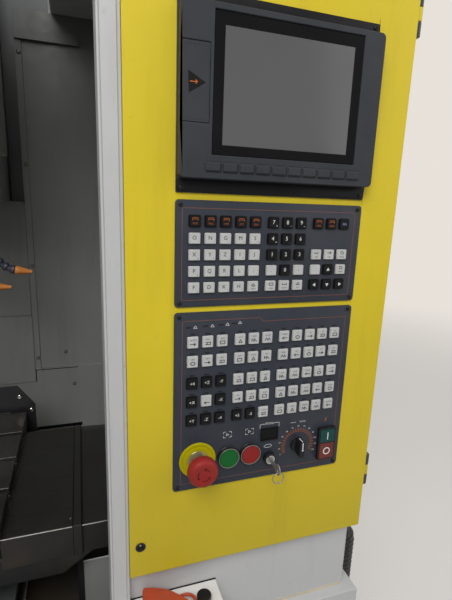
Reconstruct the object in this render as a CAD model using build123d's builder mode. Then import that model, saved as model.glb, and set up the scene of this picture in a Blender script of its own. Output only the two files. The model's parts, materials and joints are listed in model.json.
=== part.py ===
from build123d import *
import os

# A small vertical machining centre, seen by its operator from the front.
# The machine's own coordinates are used below: x runs right from the spindle's axis,
# y runs back from the control door's front face, z runs up from the floor, in millimetres.

# Base
BASE_HALF_WIDTH = 857
BASE_FRONT_Y = -5
BASE_TOP_Z = 672
BASE_CLEARANCE_Z = 70
BASE_SHEET = 3
LEDGE_WIDTH = 90
TRAY_Z = 560
TRAY_WALL_Y = 200
TRAY_WALL_TOP_Z = 712
TRAY_WALL_INNER_X = 278
REAR_Y = 1480

# Enclosure
SHELL_INSET = 25
SHELL_HALF_WIDTH = BASE_HALF_WIDTH - SHELL_INSET
SHELL_FRONT_Y = 20
SHELL_TOP_Z = 2060
SHEET = 3
FLANGE = 40
FIXED_FRONT_Y = 64
DOORWAY_LEFT_X = -420
DOORWAY_RIGHT_X = 330
ROOF_OPENING_GAP = 10
ROOF_OPENING_FRONT_Y = 300
HEADER_BOTTOM_Z = 2000
HEADER_FRONT_Y = 6
BACK_WALL_Y = 950
HEAD_OPENING_HALF_WIDTH = 131
HEAD_OPENING_BOTTOM_Z = 1074

# Bed and column castings
BED_HALF_WIDTH = 330
BED_FRONT_Y = 200
BED_REAR_Y = 1420
BED_BOTTOM_Z = 62
BED_STEP_Z = 450
WAY_TOP_Z = 640
WAY_HEIGHT = 40
WAY_CENTRE_X = 100
WAY_HEAD_WIDTH = 76
WAY_NECK_WIDTH = 50
WAY_HEAD_HEIGHT = 20
Y_WAY_END_Y = 1000
COLUMN_HALF_WIDTH = 230
COLUMN_FRONT_Y = 1010
COLUMN_REAR_Y = 1400
COLUMN_TOP_Z = 2250
COLUMN_WALL = 40
Z_WAY_FRONT_Y = 960
Z_WAY_CENTRE_X = 64
Z_WAY_WIDTH = 42
Z_WAY_BOTTOM_Z = 1000

# Levelling feet
FOOT_RADIUS = 55
FOOT_BOSS_RADIUS = 45
FOOT_PAD_HEIGHT = 28
FOOT_STUD_RADIUS = 12
FOOT_X = 285
FOOT_ROWS_Y = (260, 810, 1360)

# Axes
SPINDLE_Y = 485
TABLE_TOP_Z = 866
TABLE_HALF_DEPTH = 250
TABLE_CENTRE_Y = 405
TABLE_SLAB = 40
TABLE_RIGHT_X = 130
T_SLOT_PITCH = 125
T_SLOT_WIDTH = 14
T_SLOT_DEPTH = 23
T_SLOT_HEAD_WIDTH = 24
T_SLOT_HEAD_HEIGHT = 10
RUNNING_GAP = 0.3

# Ball screws and servo motors
SCREW_RADIUS = 16
BORE_CLEARANCE = 0.4
Y_SCREW_Z = 612
X_SCREW_Z = 766
Z_SCREW_Y = 985
MOTOR_SIDE = 110
MOTOR_LENGTH = 115
MOTOR_CORNER = 12
MOTOR_WALL_GAP = 5

# Telescopic way covers: the X screw, its end plate and its motor just fit between the sides,
# and the table travels three steps of COVER_VISIBLE less COVER_NESTED_STEP
END_PLATE_THICKNESS = 12
COVER_TOP_Z = 840
COVER_BOTTOM_Z = 770
COVER_FRONT_Y = 159
COVER_FLAT_END_Y = 573
COVER_FLAT_STEP = 28
COVER_REAR_Y = 655
COVER_SHEET = 2
COVER_NEST = 4
COVER_COUNT = 4
COVER_OVERLAP = 15
COVER_NESTED_STEP = 3
COVER_END_X = SHELL_HALF_WIDTH - SHEET - MOTOR_WALL_GAP - MOTOR_LENGTH - END_PLATE_THICKNESS
COVER_LENGTH = (COVER_END_X - TABLE_RIGHT_X + (COVER_COUNT - 1) * COVER_OVERLAP) / COVER_COUNT
COVER_VISIBLE = COVER_LENGTH - COVER_OVERLAP
WIPER_WIDTH = 19
WIPER_PROUD = 1.2

# Saddle
SADDLE_FRONT_Y = 165
SADDLE_REAR_Y = 645
SADDLE_UNDERSIDE_Z = 725
SADDLE_BODY_HALF_WIDTH = 242
SADDLE_TAPER_HALF_WIDTH = 306
SADDLE_WING_Z = 769
SADDLE_FOOT_HALF_WIDTH = 170
SADDLE_FOOT_FRONT_Y = 300
SADDLE_FOOT_REAR_Y = 600

# Spindle head
HEAD_HALF_WIDTH = 130
HEAD_FRONT_Y = 330
HEAD_BOTTOM_Z = 1598
HEAD_TOP_Z = 1990
SLIDE_FRONT_Y = 640
SLIDE_HALF_WIDTH = 86
SLIDE_BOTTOM_Z = 1480
CARTRIDGE_RADIUS = 75
CARTRIDGE_BOTTOM_Z = 1400
NOSE_RADIUS = 44
NOSE_BOTTOM_Z = 1366
SHAFT_RADIUS = 25
TAPER_MOUTH_RADIUS = 22.225
TAPER_DEPTH = 66
TAPER_PER_LENGTH = 7 / 24
SPINDLE_MOTOR_SIDE = 200
SPINDLE_MOTOR_HEIGHT = 330

# Sliding front door
LEAF_WIDTH = 395
LEAF_THICKNESS = 20
LEAF_REST_RIGHT_X = DOORWAY_LEFT_X - 2
FRONT_LEAF_Y = 12
REAR_LEAF_Y = 38
LEAF_TOP_Z = 2030
LEAF_RAIL_TOP_Z = 680
LEAF_SHEET = 2
WINDOW_WIDTH = 235
WINDOW_BOTTOM_Z = 1130
WINDOW_TOP_Z = 1760

# Control door and its panels
DOOR_LEFT_X = 363
DOOR_OVERHANG = 12
DOOR_RIGHT_X = SHELL_HALF_WIDTH + DOOR_OVERHANG
DOOR_BOTTOM_Z = 837
DOOR_TOP_Z = 1945
DOOR_THICKNESS = 20
DOOR_SHEET = 2
SCREEN_X = 503.7
SCREEN_Z = 1741
PANEL_LEFT = -65.5
PANEL_RIGHT = 265
PANEL_THICKNESS = 3

# Shift from the machine's coordinates to the model's own origin, which is
# the middle of the bounding box at floor level.
JUNCTION_REACH = 45
CONDUIT_REACH_X = BASE_HALF_WIDTH + JUNCTION_REACH
TRAY_REACH_Y = -118
CABINET_DEPTH = 320
CENTRE_X = (CONDUIT_REACH_X - BASE_HALF_WIDTH) / 2
CENTRE_Y = (TRAY_REACH_Y + REAR_Y + CABINET_DEPTH) / 2


def level(z):
    """Horizontal sketch plane at height z, with machine x and y as its own axes."""
    return Plane(origin=(-CENTRE_X, -CENTRE_Y, z), x_dir=(1, 0, 0), z_dir=(0, 0, 1))


def front(y):
    """Upright sketch plane at depth y facing the operator, with machine x and z as its axes."""
    return Plane(origin=(-CENTRE_X, y - CENTRE_Y, 0), x_dir=(1, 0, 0), z_dir=(0, -1, 0))


def side(x):
    """Upright sketch plane at x facing right, with machine y and z as its axes."""
    return Plane(origin=(x - CENTRE_X, -CENTRE_Y, 0), x_dir=(0, 1, 0), z_dir=(1, 0, 0))


def block(x_span, y_span, z_span, mode=Mode.ADD):
    """Add or cut a straight block that fills the three spans."""
    with BuildSketch(level(z_span[0])) as outline:
        with Locations((sum(x_span) / 2, sum(y_span) / 2)):
            Rectangle(x_span[1] - x_span[0], y_span[1] - y_span[0])
    extrude(outline.sketch, amount=z_span[1] - z_span[0], mode=mode)


def upright_rod(x, y, z_span, radius, mode=Mode.ADD):
    """Add or cut a round rod along z."""
    with BuildSketch(level(z_span[0])) as outline:
        with Locations((x, y)):
            Circle(radius)
    extrude(outline.sketch, amount=z_span[1] - z_span[0], mode=mode)


def deep_rod(x, z, y_span, radius, mode=Mode.ADD):
    """Add or cut a round rod along y."""
    with BuildSketch(front(y_span[0])) as outline:
        with Locations((x, z)):
            Circle(radius)
    extrude(outline.sketch, amount=y_span[0] - y_span[1], mode=mode)


def cross_rod(y, z, x_span, radius, mode=Mode.ADD):
    """Add or cut a round rod along x."""
    with BuildSketch(side(x_span[0])) as outline:
        with Locations((y, z)):
            Circle(radius)
    extrude(outline.sketch, amount=x_span[1] - x_span[0], mode=mode)


def outline_along_y(points, y_span, mode=Mode.ADD):
    """Add or cut the closed x-z outline, drawn through the points, between two depths."""
    with BuildSketch(front(y_span[0])) as outline:
        with BuildLine():
            Polyline(*points, close=True)
        make_face()
    extrude(outline.sketch, amount=y_span[0] - y_span[1], mode=mode)


def outline_along_x(points, x_span, mode=Mode.ADD):
    """Add or cut the closed y-z outline, drawn through the points, between two x places."""
    with BuildSketch(side(x_span[0])) as outline:
        with BuildLine():
            Polyline(*points, close=True)
        make_face()
    extrude(outline.sketch, amount=x_span[1] - x_span[0], mode=mode)


def outline_along_z(points, z_span, mode=Mode.ADD):
    """Add or cut the closed x-y outline, drawn through the points, between two heights."""
    with BuildSketch(level(z_span[0])) as outline:
        with BuildLine():
            Polyline(*points, close=True)
        make_face()
    extrude(outline.sketch, amount=z_span[1] - z_span[0], mode=mode)


os.makedirs("parts", exist_ok=True)

# Bed casting: a ribbed lower block, two T-headed Y ways and a seat for the column
BED_RIB = 30
BED_POCKET_TOP_Z = BED_STEP_Z - 40
SCREW_CHANNEL_HALF_WIDTH = 50
SCREW_CHANNEL_Z = 570
BEARING_BLOCK = 30
MOTOR_BRACKET_DEPTH = 50
MOTOR_SEAT_MARGIN = 8
BEARING_TOP_GAP = 2
COUPLING_RADIUS = 34
way_floor_z = WAY_TOP_Z - WAY_HEIGHT

with BuildPart() as base_casting:
    block((-BED_HALF_WIDTH, BED_HALF_WIDTH), (BED_FRONT_Y, BED_REAR_Y), (BED_BOTTOM_Z, BED_STEP_Z))
    pocket_width = BED_HALF_WIDTH - 1.5 * BED_RIB
    pocket_depth = (BED_REAR_Y - BED_FRONT_Y - 4 * BED_RIB) / 3
    with BuildSketch(level(BED_BOTTOM_Z)) as pockets:
        with Locations((0, (BED_FRONT_Y + BED_REAR_Y) / 2)):
            with GridLocations(pocket_width + BED_RIB, pocket_depth + BED_RIB, 2, 3):
                Rectangle(pocket_width, pocket_depth)
    extrude(pockets.sketch, amount=BED_POCKET_TOP_Z - BED_BOTTOM_Z, mode=Mode.SUBTRACT)
    for foot_y in FOOT_ROWS_Y:
        for foot_x in (-FOOT_X, FOOT_X):
            upright_rod(foot_x, foot_y, (BED_BOTTOM_Z, BED_POCKET_TOP_Z), FOOT_BOSS_RADIUS)
    way_outer_x = WAY_CENTRE_X + WAY_HEAD_WIDTH / 2
    block((-way_outer_x, way_outer_x), (BED_FRONT_Y, Y_WAY_END_Y), (BED_STEP_Z, way_floor_z))
    for way_x in (-WAY_CENTRE_X, WAY_CENTRE_X):
        neck = (way_x - WAY_NECK_WIDTH / 2, way_x + WAY_NECK_WIDTH / 2)
        head = (way_x - WAY_HEAD_WIDTH / 2, way_x + WAY_HEAD_WIDTH / 2)
        block(neck, (BED_FRONT_Y, Y_WAY_END_Y), (way_floor_z, WAY_TOP_Z))
        block(head, (BED_FRONT_Y, Y_WAY_END_Y), (WAY_TOP_Z - WAY_HEAD_HEIGHT, WAY_TOP_Z))
    channel = (-SCREW_CHANNEL_HALF_WIDTH, SCREW_CHANNEL_HALF_WIDTH)
    block(channel, (BED_FRONT_Y, Y_WAY_END_Y), (SCREW_CHANNEL_Z, way_floor_z), mode=Mode.SUBTRACT)
    block(
        (-COLUMN_HALF_WIDTH, COLUMN_HALF_WIDTH),
        (Y_WAY_END_Y, BED_REAR_Y),
        (BED_STEP_Z, WAY_TOP_Z),
    )
    for bearing_y in (BED_FRONT_Y, Y_WAY_END_Y - BEARING_BLOCK):
        block(channel, (bearing_y, bearing_y + BEARING_BLOCK), (SCREW_CHANNEL_Z, WAY_TOP_Z - BEARING_TOP_GAP))
    bracket_half = MOTOR_SIDE / 2 + MOTOR_SEAT_MARGIN
    block(
        (-bracket_half, bracket_half),
        (BED_FRONT_Y - MOTOR_BRACKET_DEPTH, BED_FRONT_Y),
        (Y_SCREW_Z - bracket_half, Y_SCREW_Z + bracket_half),
    )
    deep_rod(
        0,
        Y_SCREW_Z,
        (BED_FRONT_Y - MOTOR_BRACKET_DEPTH, BED_FRONT_Y),
        COUPLING_RADIUS,
        mode=Mode.SUBTRACT,
    )
    deep_rod(
        0,
        Y_SCREW_Z,
        (BED_FRONT_Y, Y_WAY_END_Y),
        SCREW_RADIUS + BORE_CLEARANCE,
        mode=Mode.SUBTRACT,
    )
base_casting.part.label = "base_casting"
export_step(base_casting.part, "parts/base_casting.step")

# Levelling feet: a round pad and a stud that stands under the bed's corner
FOOT_PAD_CHAMFER = 8
with BuildPart() as levelling_feet:
    for foot_y in FOOT_ROWS_Y:
        for foot_x in (-FOOT_X, FOOT_X):
            upright_rod(foot_x, foot_y, (0, FOOT_PAD_HEIGHT), FOOT_RADIUS)
            upright_rod(foot_x, foot_y, (FOOT_PAD_HEIGHT, BED_BOTTOM_Z), FOOT_STUD_RADIUS)
    pads = levelling_feet.edges().filter_by(GeomType.CIRCLE).filter_by(
        lambda edge: abs(edge.radius - FOOT_RADIUS) < 1 and edge.center().Z > 1
    )
    chamfer(pads, FOOT_PAD_CHAMFER)
levelling_feet.part.label = "levelling_feet"
export_step(levelling_feet.part, "parts/levelling_feet.step")

# Column casting: open at the rear, with two Z ways, screw bearings and a motor seat
MOTOR_SEAT_THICKNESS = 12
with BuildPart() as column:
    block(
        (-COLUMN_HALF_WIDTH, COLUMN_HALF_WIDTH),
        (COLUMN_FRONT_Y, COLUMN_REAR_Y),
        (WAY_TOP_Z, COLUMN_TOP_Z),
    )
    inner = COLUMN_HALF_WIDTH - COLUMN_WALL
    block(
        (-inner, inner),
        (COLUMN_FRONT_Y + COLUMN_WALL, COLUMN_REAR_Y),
        (WAY_TOP_Z + COLUMN_WALL, COLUMN_TOP_Z - COLUMN_WALL),
        mode=Mode.SUBTRACT,
    )
    for way_x in (-Z_WAY_CENTRE_X, Z_WAY_CENTRE_X):
        block(
            (way_x - Z_WAY_WIDTH / 2, way_x + Z_WAY_WIDTH / 2),
            (Z_WAY_FRONT_Y, COLUMN_FRONT_Y),
            (Z_WAY_BOTTOM_Z, COLUMN_TOP_Z),
        )
    z_screw_block = (-SCREW_CHANNEL_HALF_WIDTH, SCREW_CHANNEL_HALF_WIDTH)
    for bearing_z in (Z_WAY_BOTTOM_Z, COLUMN_TOP_Z - BEARING_BLOCK):
        block(
            z_screw_block,
            (Z_WAY_FRONT_Y, COLUMN_FRONT_Y),
            (bearing_z, bearing_z + BEARING_BLOCK),
        )
    seat_half = MOTOR_SIDE / 2 + MOTOR_SEAT_MARGIN
    block(
        (-seat_half, seat_half),
        (Z_SCREW_Y - seat_half, COLUMN_FRONT_Y + COLUMN_WALL),
        (COLUMN_TOP_Z, COLUMN_TOP_Z + MOTOR_SEAT_THICKNESS),
    )
    upright_rod(
        0,
        Z_SCREW_Y,
        (Z_WAY_BOTTOM_Z, COLUMN_TOP_Z + MOTOR_SEAT_THICKNESS),
        SCREW_RADIUS + BORE_CLEARANCE,
        mode=Mode.SUBTRACT,
    )
column.part.label = "column"
export_step(column.part, "parts/column.step")

# Base skirt: open-bottomed white box with a ledge, the door's bottom rails and the chip tray
RAIL_WIDTH = 8
RAIL_END_GAP = 5
CONDUIT_Y = 85
CONDUIT_END_Z = 500
JUNCTION_DEPTH = 56
JUNCTION_HEIGHT = 90
MOTOR_HOLE_GAP = 10
TRAY_LIP = 40
skirt_inner = BASE_HALF_WIDTH - BASE_SHEET
skirt_front_inner = BASE_FRONT_Y + BASE_SHEET
with BuildPart() as base_skirt:
    block(
        (-BASE_HALF_WIDTH, BASE_HALF_WIDTH),
        (BASE_FRONT_Y, REAR_Y),
        (BASE_CLEARANCE_Z, BASE_TOP_Z),
    )
    block(
        (-skirt_inner, skirt_inner),
        (skirt_front_inner, REAR_Y),
        (BASE_CLEARANCE_Z, BASE_TOP_Z - BASE_SHEET),
        mode=Mode.SUBTRACT,
    )
    well = BASE_HALF_WIDTH - LEDGE_WIDTH
    block(
        (-well, well),
        (BASE_FRONT_Y + LEDGE_WIDTH, REAR_Y),
        (BASE_TOP_Z - BASE_SHEET, BASE_TOP_Z),
        mode=Mode.SUBTRACT,
    )
    block((-skirt_inner, skirt_inner), (skirt_front_inner, REAR_Y), (TRAY_Z, TRAY_Z + BASE_SHEET))
    hole_front_y = BED_FRONT_Y - MOTOR_BRACKET_DEPTH - MOTOR_LENGTH - MOTOR_HOLE_GAP
    block(
        (-way_outer_x, way_outer_x),
        (hole_front_y, Y_WAY_END_Y),
        (TRAY_Z, TRAY_Z + BASE_SHEET),
        mode=Mode.SUBTRACT,
    )
    block(
        (-COLUMN_HALF_WIDTH, COLUMN_HALF_WIDTH),
        (Y_WAY_END_Y, REAR_Y),
        (TRAY_Z, TRAY_Z + BASE_SHEET),
        mode=Mode.SUBTRACT,
    )
    for sign in (-1, 1):
        lip = sorted((sign * way_outer_x, sign * (way_outer_x + BASE_SHEET)))
        block(lip, (hole_front_y, Y_WAY_END_Y), (TRAY_Z, TRAY_Z + TRAY_LIP))
        wall = sorted((sign * TRAY_WALL_INNER_X, sign * (SHELL_HALF_WIDTH - SHEET)))
        block(wall, (TRAY_WALL_Y, TRAY_WALL_Y + BASE_SHEET), (TRAY_Z, TRAY_WALL_TOP_Z))
    for leaf_y in (FRONT_LEAF_Y, REAR_LEAF_Y):
        rail_y = leaf_y + LEAF_THICKNESS / 2
        block(
            (-SHELL_HALF_WIDTH + RAIL_END_GAP, DOORWAY_RIGHT_X - RAIL_END_GAP),
            (rail_y - RAIL_WIDTH / 2, rail_y + RAIL_WIDTH / 2),
            (BASE_TOP_Z, LEAF_RAIL_TOP_Z - RUNNING_GAP),
        )
    block(
        (BASE_HALF_WIDTH, CONDUIT_REACH_X),
        (CONDUIT_Y - JUNCTION_DEPTH / 2, CONDUIT_Y + JUNCTION_DEPTH / 2),
        (CONDUIT_END_Z - JUNCTION_HEIGHT, CONDUIT_END_Z),
    )
base_skirt.part.label = "base_skirt"
export_step(base_skirt.part, "parts/base_skirt.step")

# Left side panel: side, rear flange and the fixed front sheet beside the doorway
fixed_front_right_x = DOORWAY_LEFT_X + 5
shell_inner = SHELL_HALF_WIDTH - SHEET
roof_underside = SHELL_TOP_Z - SHEET
with BuildPart() as left_panel:
    outline_along_z(
        [
            (fixed_front_right_x, FIXED_FRONT_Y),
            (-shell_inner, FIXED_FRONT_Y),
            (-shell_inner, SHELL_FRONT_Y),
            (-SHELL_HALF_WIDTH, SHELL_FRONT_Y),
            (-SHELL_HALF_WIDTH, REAR_Y),
            (-SHELL_HALF_WIDTH + FLANGE, REAR_Y),
            (-SHELL_HALF_WIDTH + FLANGE, REAR_Y - SHEET),
            (-shell_inner, REAR_Y - SHEET),
            (-shell_inner, FIXED_FRONT_Y + SHEET),
            (fixed_front_right_x, FIXED_FRONT_Y + SHEET),
        ],
        (BASE_TOP_Z, roof_underside),
    )
left_panel.part.label = "left_panel"
export_step(left_panel.part, "parts/left_panel.step")

# Right side panel: side, rear flange and the conduit's hole
CONDUIT_RADIUS = 21
CONDUIT_HOLE_RADIUS = 18
CONDUIT_EXIT_Z = 751
CONDUIT_STANDOFF = 48
CONDUIT_DROP_X = SHELL_HALF_WIDTH + CONDUIT_STANDOFF
with BuildPart() as right_panel:
    outline_along_z(
        [
            (shell_inner, SHELL_FRONT_Y),
            (SHELL_HALF_WIDTH, SHELL_FRONT_Y),
            (SHELL_HALF_WIDTH, REAR_Y),
            (SHELL_HALF_WIDTH - FLANGE, REAR_Y),
            (SHELL_HALF_WIDTH - FLANGE, REAR_Y - SHEET),
            (shell_inner, REAR_Y - SHEET),
        ],
        (BASE_TOP_Z, roof_underside),
    )
    cross_rod(
        CONDUIT_Y,
        CONDUIT_EXIT_Z,
        (shell_inner, SHELL_HALF_WIDTH),
        CONDUIT_HOLE_RADIUS,
        mode=Mode.SUBTRACT,
    )
right_panel.part.label = "right_panel"
export_step(right_panel.part, "parts/right_panel.step")

# Roof: sheet with the opening for head and column, and the sliding door's header
with BuildPart() as roof_panel:
    block(
        (-SHELL_HALF_WIDTH, SHELL_HALF_WIDTH),
        (SHELL_FRONT_Y, REAR_Y),
        (roof_underside, SHELL_TOP_Z),
    )
    block(
        (-COLUMN_HALF_WIDTH - ROOF_OPENING_GAP, COLUMN_HALF_WIDTH + ROOF_OPENING_GAP),
        (ROOF_OPENING_FRONT_Y, COLUMN_REAR_Y + ROOF_OPENING_GAP),
        (roof_underside, SHELL_TOP_Z),
        mode=Mode.SUBTRACT,
    )
    header_left = -SHELL_HALF_WIDTH
    block((header_left, DOORWAY_RIGHT_X), (HEADER_FRONT_Y, SHELL_FRONT_Y), (roof_underside, SHELL_TOP_Z))
    block(
        (header_left, DOORWAY_RIGHT_X),
        (HEADER_FRONT_Y, HEADER_FRONT_Y + SHEET),
        (HEADER_BOTTOM_Z, SHELL_TOP_Z),
    )
    block(
        (fixed_front_right_x, DOORWAY_RIGHT_X),
        (FIXED_FRONT_Y, FIXED_FRONT_Y + SHEET),
        (HEADER_BOTTOM_Z, SHELL_TOP_Z),
    )
roof_panel.part.label = "roof_panel"
export_step(roof_panel.part, "parts/roof_panel.step")

# Operator box: white front sheet and the box behind the control door
BOX_FRAME = 24
BOX_REAR_Y = 130
BOX_BOTTOM_Z = 885
BOX_TOP_Z = 1960
box_left = DOOR_LEFT_X + SHEET
box_right = shell_inner - SHEET
with BuildPart() as operator_box:
    block((DOOR_LEFT_X, shell_inner), (SHELL_FRONT_Y, SHELL_FRONT_Y + SHEET), (BASE_TOP_Z, roof_underside))
    block((box_left, box_right), (SHELL_FRONT_Y + SHEET, BOX_REAR_Y), (BOX_BOTTOM_Z, BOX_TOP_Z))
    block(
        (box_left + SHEET, box_right - SHEET),
        (SHELL_FRONT_Y + SHEET, BOX_REAR_Y - SHEET),
        (BOX_BOTTOM_Z + SHEET, BOX_TOP_Z - SHEET),
        mode=Mode.SUBTRACT,
    )
    block(
        (box_left + BOX_FRAME, box_right - BOX_FRAME),
        (SHELL_FRONT_Y, SHELL_FRONT_Y + SHEET),
        (BOX_BOTTOM_Z + BOX_FRAME, BOX_TOP_Z - 2 * BOX_FRAME),
        mode=Mode.SUBTRACT,
    )
operator_box.part.label = "operator_box"
export_step(operator_box.part, "parts/operator_box.step")

# Door pillar: folded strip between the doorway and the control door, with its seal
LIP_WIDTH = 4
LIP_PROUD = 2
SEAL_WIDTH = 5.6
SEAL_DEPTH = 14
pillar_right_x = DOOR_LEFT_X - SEAL_WIDTH - RUNNING_GAP
with BuildPart() as door_pillar:
    block((DOORWAY_RIGHT_X, pillar_right_x), (0, FIXED_FRONT_Y + SHEET), (BASE_TOP_Z, roof_underside))
    block(
        (DOORWAY_RIGHT_X + SHEET, pillar_right_x - SHEET),
        (SHEET, FIXED_FRONT_Y),
        (BASE_TOP_Z, roof_underside),
        mode=Mode.SUBTRACT,
    )
    block(
        (DOORWAY_RIGHT_X, DOORWAY_RIGHT_X + LIP_WIDTH),
        (-LIP_PROUD, 0),
        (BASE_TOP_Z, roof_underside),
    )
    block(
        (pillar_right_x, pillar_right_x + SEAL_WIDTH),
        (3, 3 + SEAL_DEPTH),
        (BASE_TOP_Z, roof_underside),
    )
    block(
        (pillar_right_x, DOOR_LEFT_X),
        (3 + SEAL_DEPTH, SHELL_FRONT_Y + SHEET),
        (BASE_TOP_Z, roof_underside),
    )
door_pillar.part.label = "door_pillar"
export_step(door_pillar.part, "parts/door_pillar.step")

# Inner back wall: sheet with two angled wings, an opening for the head, strips, bar and ledge
WALL_BOTTOM_Z = 641
WALL_FOLD_X = 319
WALL_WING_Y = 905
WALL_STRIP_PROUD = 6
WALL_STRIP_OUTER_X = 150
WALL_STRIP_BOTTOM_Z = 830
WALL_BAR_BOTTOM_Z = 1970
WALL_BAR_TOP_Z = 1999
WALL_BAR_PROUD = 14
LEDGE_Z = 890
LEDGE_PROUD = 9
WALL_PANEL_PROUD = 7
WALL_PANEL_BOTTOM_Z = 843
WALL_WING_RELIEF = 27
WALL_SCREW_X = 142
WALL_SCREW_PITCH = 334
WALL_SCREW_TOP_Z = 1934
WALL_SCREW_RADIUS = 6
LEDGE_SCREWS = ((236, 947), (261, 823))


def wall_line(proud):
    """Front corners of the wall's section, moved forward by the given amount."""
    return [
        (-shell_inner, WALL_WING_Y - proud),
        (-WALL_FOLD_X, BACK_WALL_Y - proud),
        (WALL_FOLD_X, BACK_WALL_Y - proud),
        (shell_inner, WALL_WING_Y - proud),
    ]


with BuildPart() as back_wall:
    outline_along_z(wall_line(0) + wall_line(-SHEET)[::-1], (WALL_BOTTOM_Z, roof_underside))
    outline_along_z(wall_line(LEDGE_PROUD) + wall_line(0)[::-1], (WALL_BOTTOM_Z, LEDGE_Z))
    for sign in (-1, 1):
        ledge_span = sorted((sign * (BASE_HALF_WIDTH - LEDGE_WIDTH - 1), sign * shell_inner))
        block(
            ledge_span,
            (WALL_WING_Y - WALL_WING_RELIEF, BACK_WALL_Y),
            (WALL_BOTTOM_Z, BASE_TOP_Z),
            mode=Mode.SUBTRACT,
        )
    strip_y = (BACK_WALL_Y - WALL_STRIP_PROUD, BACK_WALL_Y)
    block(
        (-WALL_STRIP_OUTER_X, WALL_STRIP_OUTER_X),
        strip_y,
        (WALL_STRIP_BOTTOM_Z, WALL_BAR_TOP_Z),
    )
    block(
        (-WALL_FOLD_X, WALL_FOLD_X),
        (BACK_WALL_Y - WALL_BAR_PROUD, BACK_WALL_Y),
        (WALL_BAR_BOTTOM_Z, WALL_BAR_TOP_Z),
    )
    block(
        (-HEAD_OPENING_HALF_WIDTH, HEAD_OPENING_HALF_WIDTH),
        (BACK_WALL_Y - WALL_PANEL_PROUD, BACK_WALL_Y),
        (WALL_PANEL_BOTTOM_Z, HEAD_OPENING_BOTTOM_Z),
    )
    block(
        (-HEAD_OPENING_HALF_WIDTH, HEAD_OPENING_HALF_WIDTH),
        (BACK_WALL_Y - WALL_BAR_PROUD, BACK_WALL_Y + SHEET),
        (HEAD_OPENING_BOTTOM_Z, roof_underside),
        mode=Mode.SUBTRACT,
    )
    for row in range(4):
        for sign in (-1, 1):
            deep_rod(
                sign * WALL_SCREW_X,
                WALL_SCREW_TOP_Z - row * WALL_SCREW_PITCH,
                (strip_y[0] - 4, strip_y[0]),
                WALL_SCREW_RADIUS,
            )
    for screw_x, screw_z in LEDGE_SCREWS:
        proud = LEDGE_PROUD if screw_z < LEDGE_Z else 0
        for sign in (-1, 1):
            deep_rod(
                sign * screw_x,
                screw_z,
                (BACK_WALL_Y - proud - 4, BACK_WALL_Y - proud),
                WALL_SCREW_RADIUS,
            )
back_wall.part.label = "back_wall"
export_step(back_wall.part, "parts/back_wall.step")

# Electrical cabinet behind the column, with its mounting plate and rows of modules
CABINET_INSET = 32
CABINET_HALF_WIDTH = SHELL_HALF_WIDTH - CABINET_INSET
CABINET_BOTTOM_Z = 700
CABINET_TOP_Z = 1960
CABINET_DOOR_THICKNESS = 22
cabinet_rear_y = REAR_Y + CABINET_DEPTH - CABINET_DOOR_THICKNESS - RUNNING_GAP
MOUNTING_PLATE_MARGIN = 60
MOUNTING_PLATE_THICKNESS = 25
MODULE_MARGIN = 100
MODULE_SHARE = 0.84
MODULE_ROWS = ((1660, 210, 9, 120), (1330, 180, 11, 90), (1010, 150, 7, 150))
with BuildPart() as electrical_cabinet:
    block(
        (-CABINET_HALF_WIDTH, CABINET_HALF_WIDTH),
        (REAR_Y, cabinet_rear_y),
        (CABINET_BOTTOM_Z, CABINET_TOP_Z),
    )
    block(
        (-CABINET_HALF_WIDTH + SHEET, CABINET_HALF_WIDTH - SHEET),
        (REAR_Y + SHEET, cabinet_rear_y),
        (CABINET_BOTTOM_Z + SHEET, CABINET_TOP_Z - SHEET),
        mode=Mode.SUBTRACT,
    )
    plate_half_width = CABINET_HALF_WIDTH - MOUNTING_PLATE_MARGIN
    plate_front_y = REAR_Y + SHEET + MOUNTING_PLATE_THICKNESS
    block(
        (-plate_half_width, plate_half_width),
        (REAR_Y + SHEET, plate_front_y),
        (CABINET_BOTTOM_Z + MOUNTING_PLATE_MARGIN, CABINET_TOP_Z - MOUNTING_PLATE_MARGIN),
    )
    row_half_width = CABINET_HALF_WIDTH - MODULE_MARGIN
    for row_z, row_height, count, depth in MODULE_ROWS:
        pitch = 2 * row_half_width / count
        half_module = pitch * MODULE_SHARE / 2
        for index in range(count):
            module_x = -row_half_width + pitch * (index + 0.5)
            block(
                (module_x - half_module, module_x + half_module),
                (plate_front_y, plate_front_y + depth),
                (row_z - row_height / 2, row_z + row_height / 2),
            )
electrical_cabinet.part.label = "electrical_cabinet"
export_step(electrical_cabinet.part, "parts/electrical_cabinet.step")

# Cabinet door: folded tray that closes the cabinet from behind
CABINET_HINGE_RADIUS = 8
CABINET_HINGE_LENGTH = 100
CABINET_HINGE_BOTTOMS_Z = (CABINET_BOTTOM_Z + 160, CABINET_TOP_Z - 260)
CABINET_HINGE_LEAF = 6
with BuildPart() as cabinet_door:
    door_y = (cabinet_rear_y + RUNNING_GAP, REAR_Y + CABINET_DEPTH)
    block(
        (-CABINET_HALF_WIDTH, CABINET_HALF_WIDTH),
        door_y,
        (CABINET_BOTTOM_Z, CABINET_TOP_Z),
    )
    block(
        (-CABINET_HALF_WIDTH + SHEET, CABINET_HALF_WIDTH - SHEET),
        (door_y[0], door_y[1] - SHEET),
        (CABINET_BOTTOM_Z + SHEET, CABINET_TOP_Z - SHEET),
        mode=Mode.SUBTRACT,
    )
    knuckle_x = CABINET_HALF_WIDTH + CABINET_HINGE_RADIUS
    knuckle_y = door_y[0] + CABINET_HINGE_RADIUS
    leaf_y = (knuckle_y - CABINET_HINGE_LEAF / 2, knuckle_y + CABINET_HINGE_LEAF / 2)
    for knuckle_z in CABINET_HINGE_BOTTOMS_Z:
        knuckle = (knuckle_z, knuckle_z + CABINET_HINGE_LENGTH)
        upright_rod(knuckle_x, knuckle_y, knuckle, CABINET_HINGE_RADIUS)
        block((CABINET_HALF_WIDTH - SHEET, knuckle_x), leaf_y, knuckle)
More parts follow.
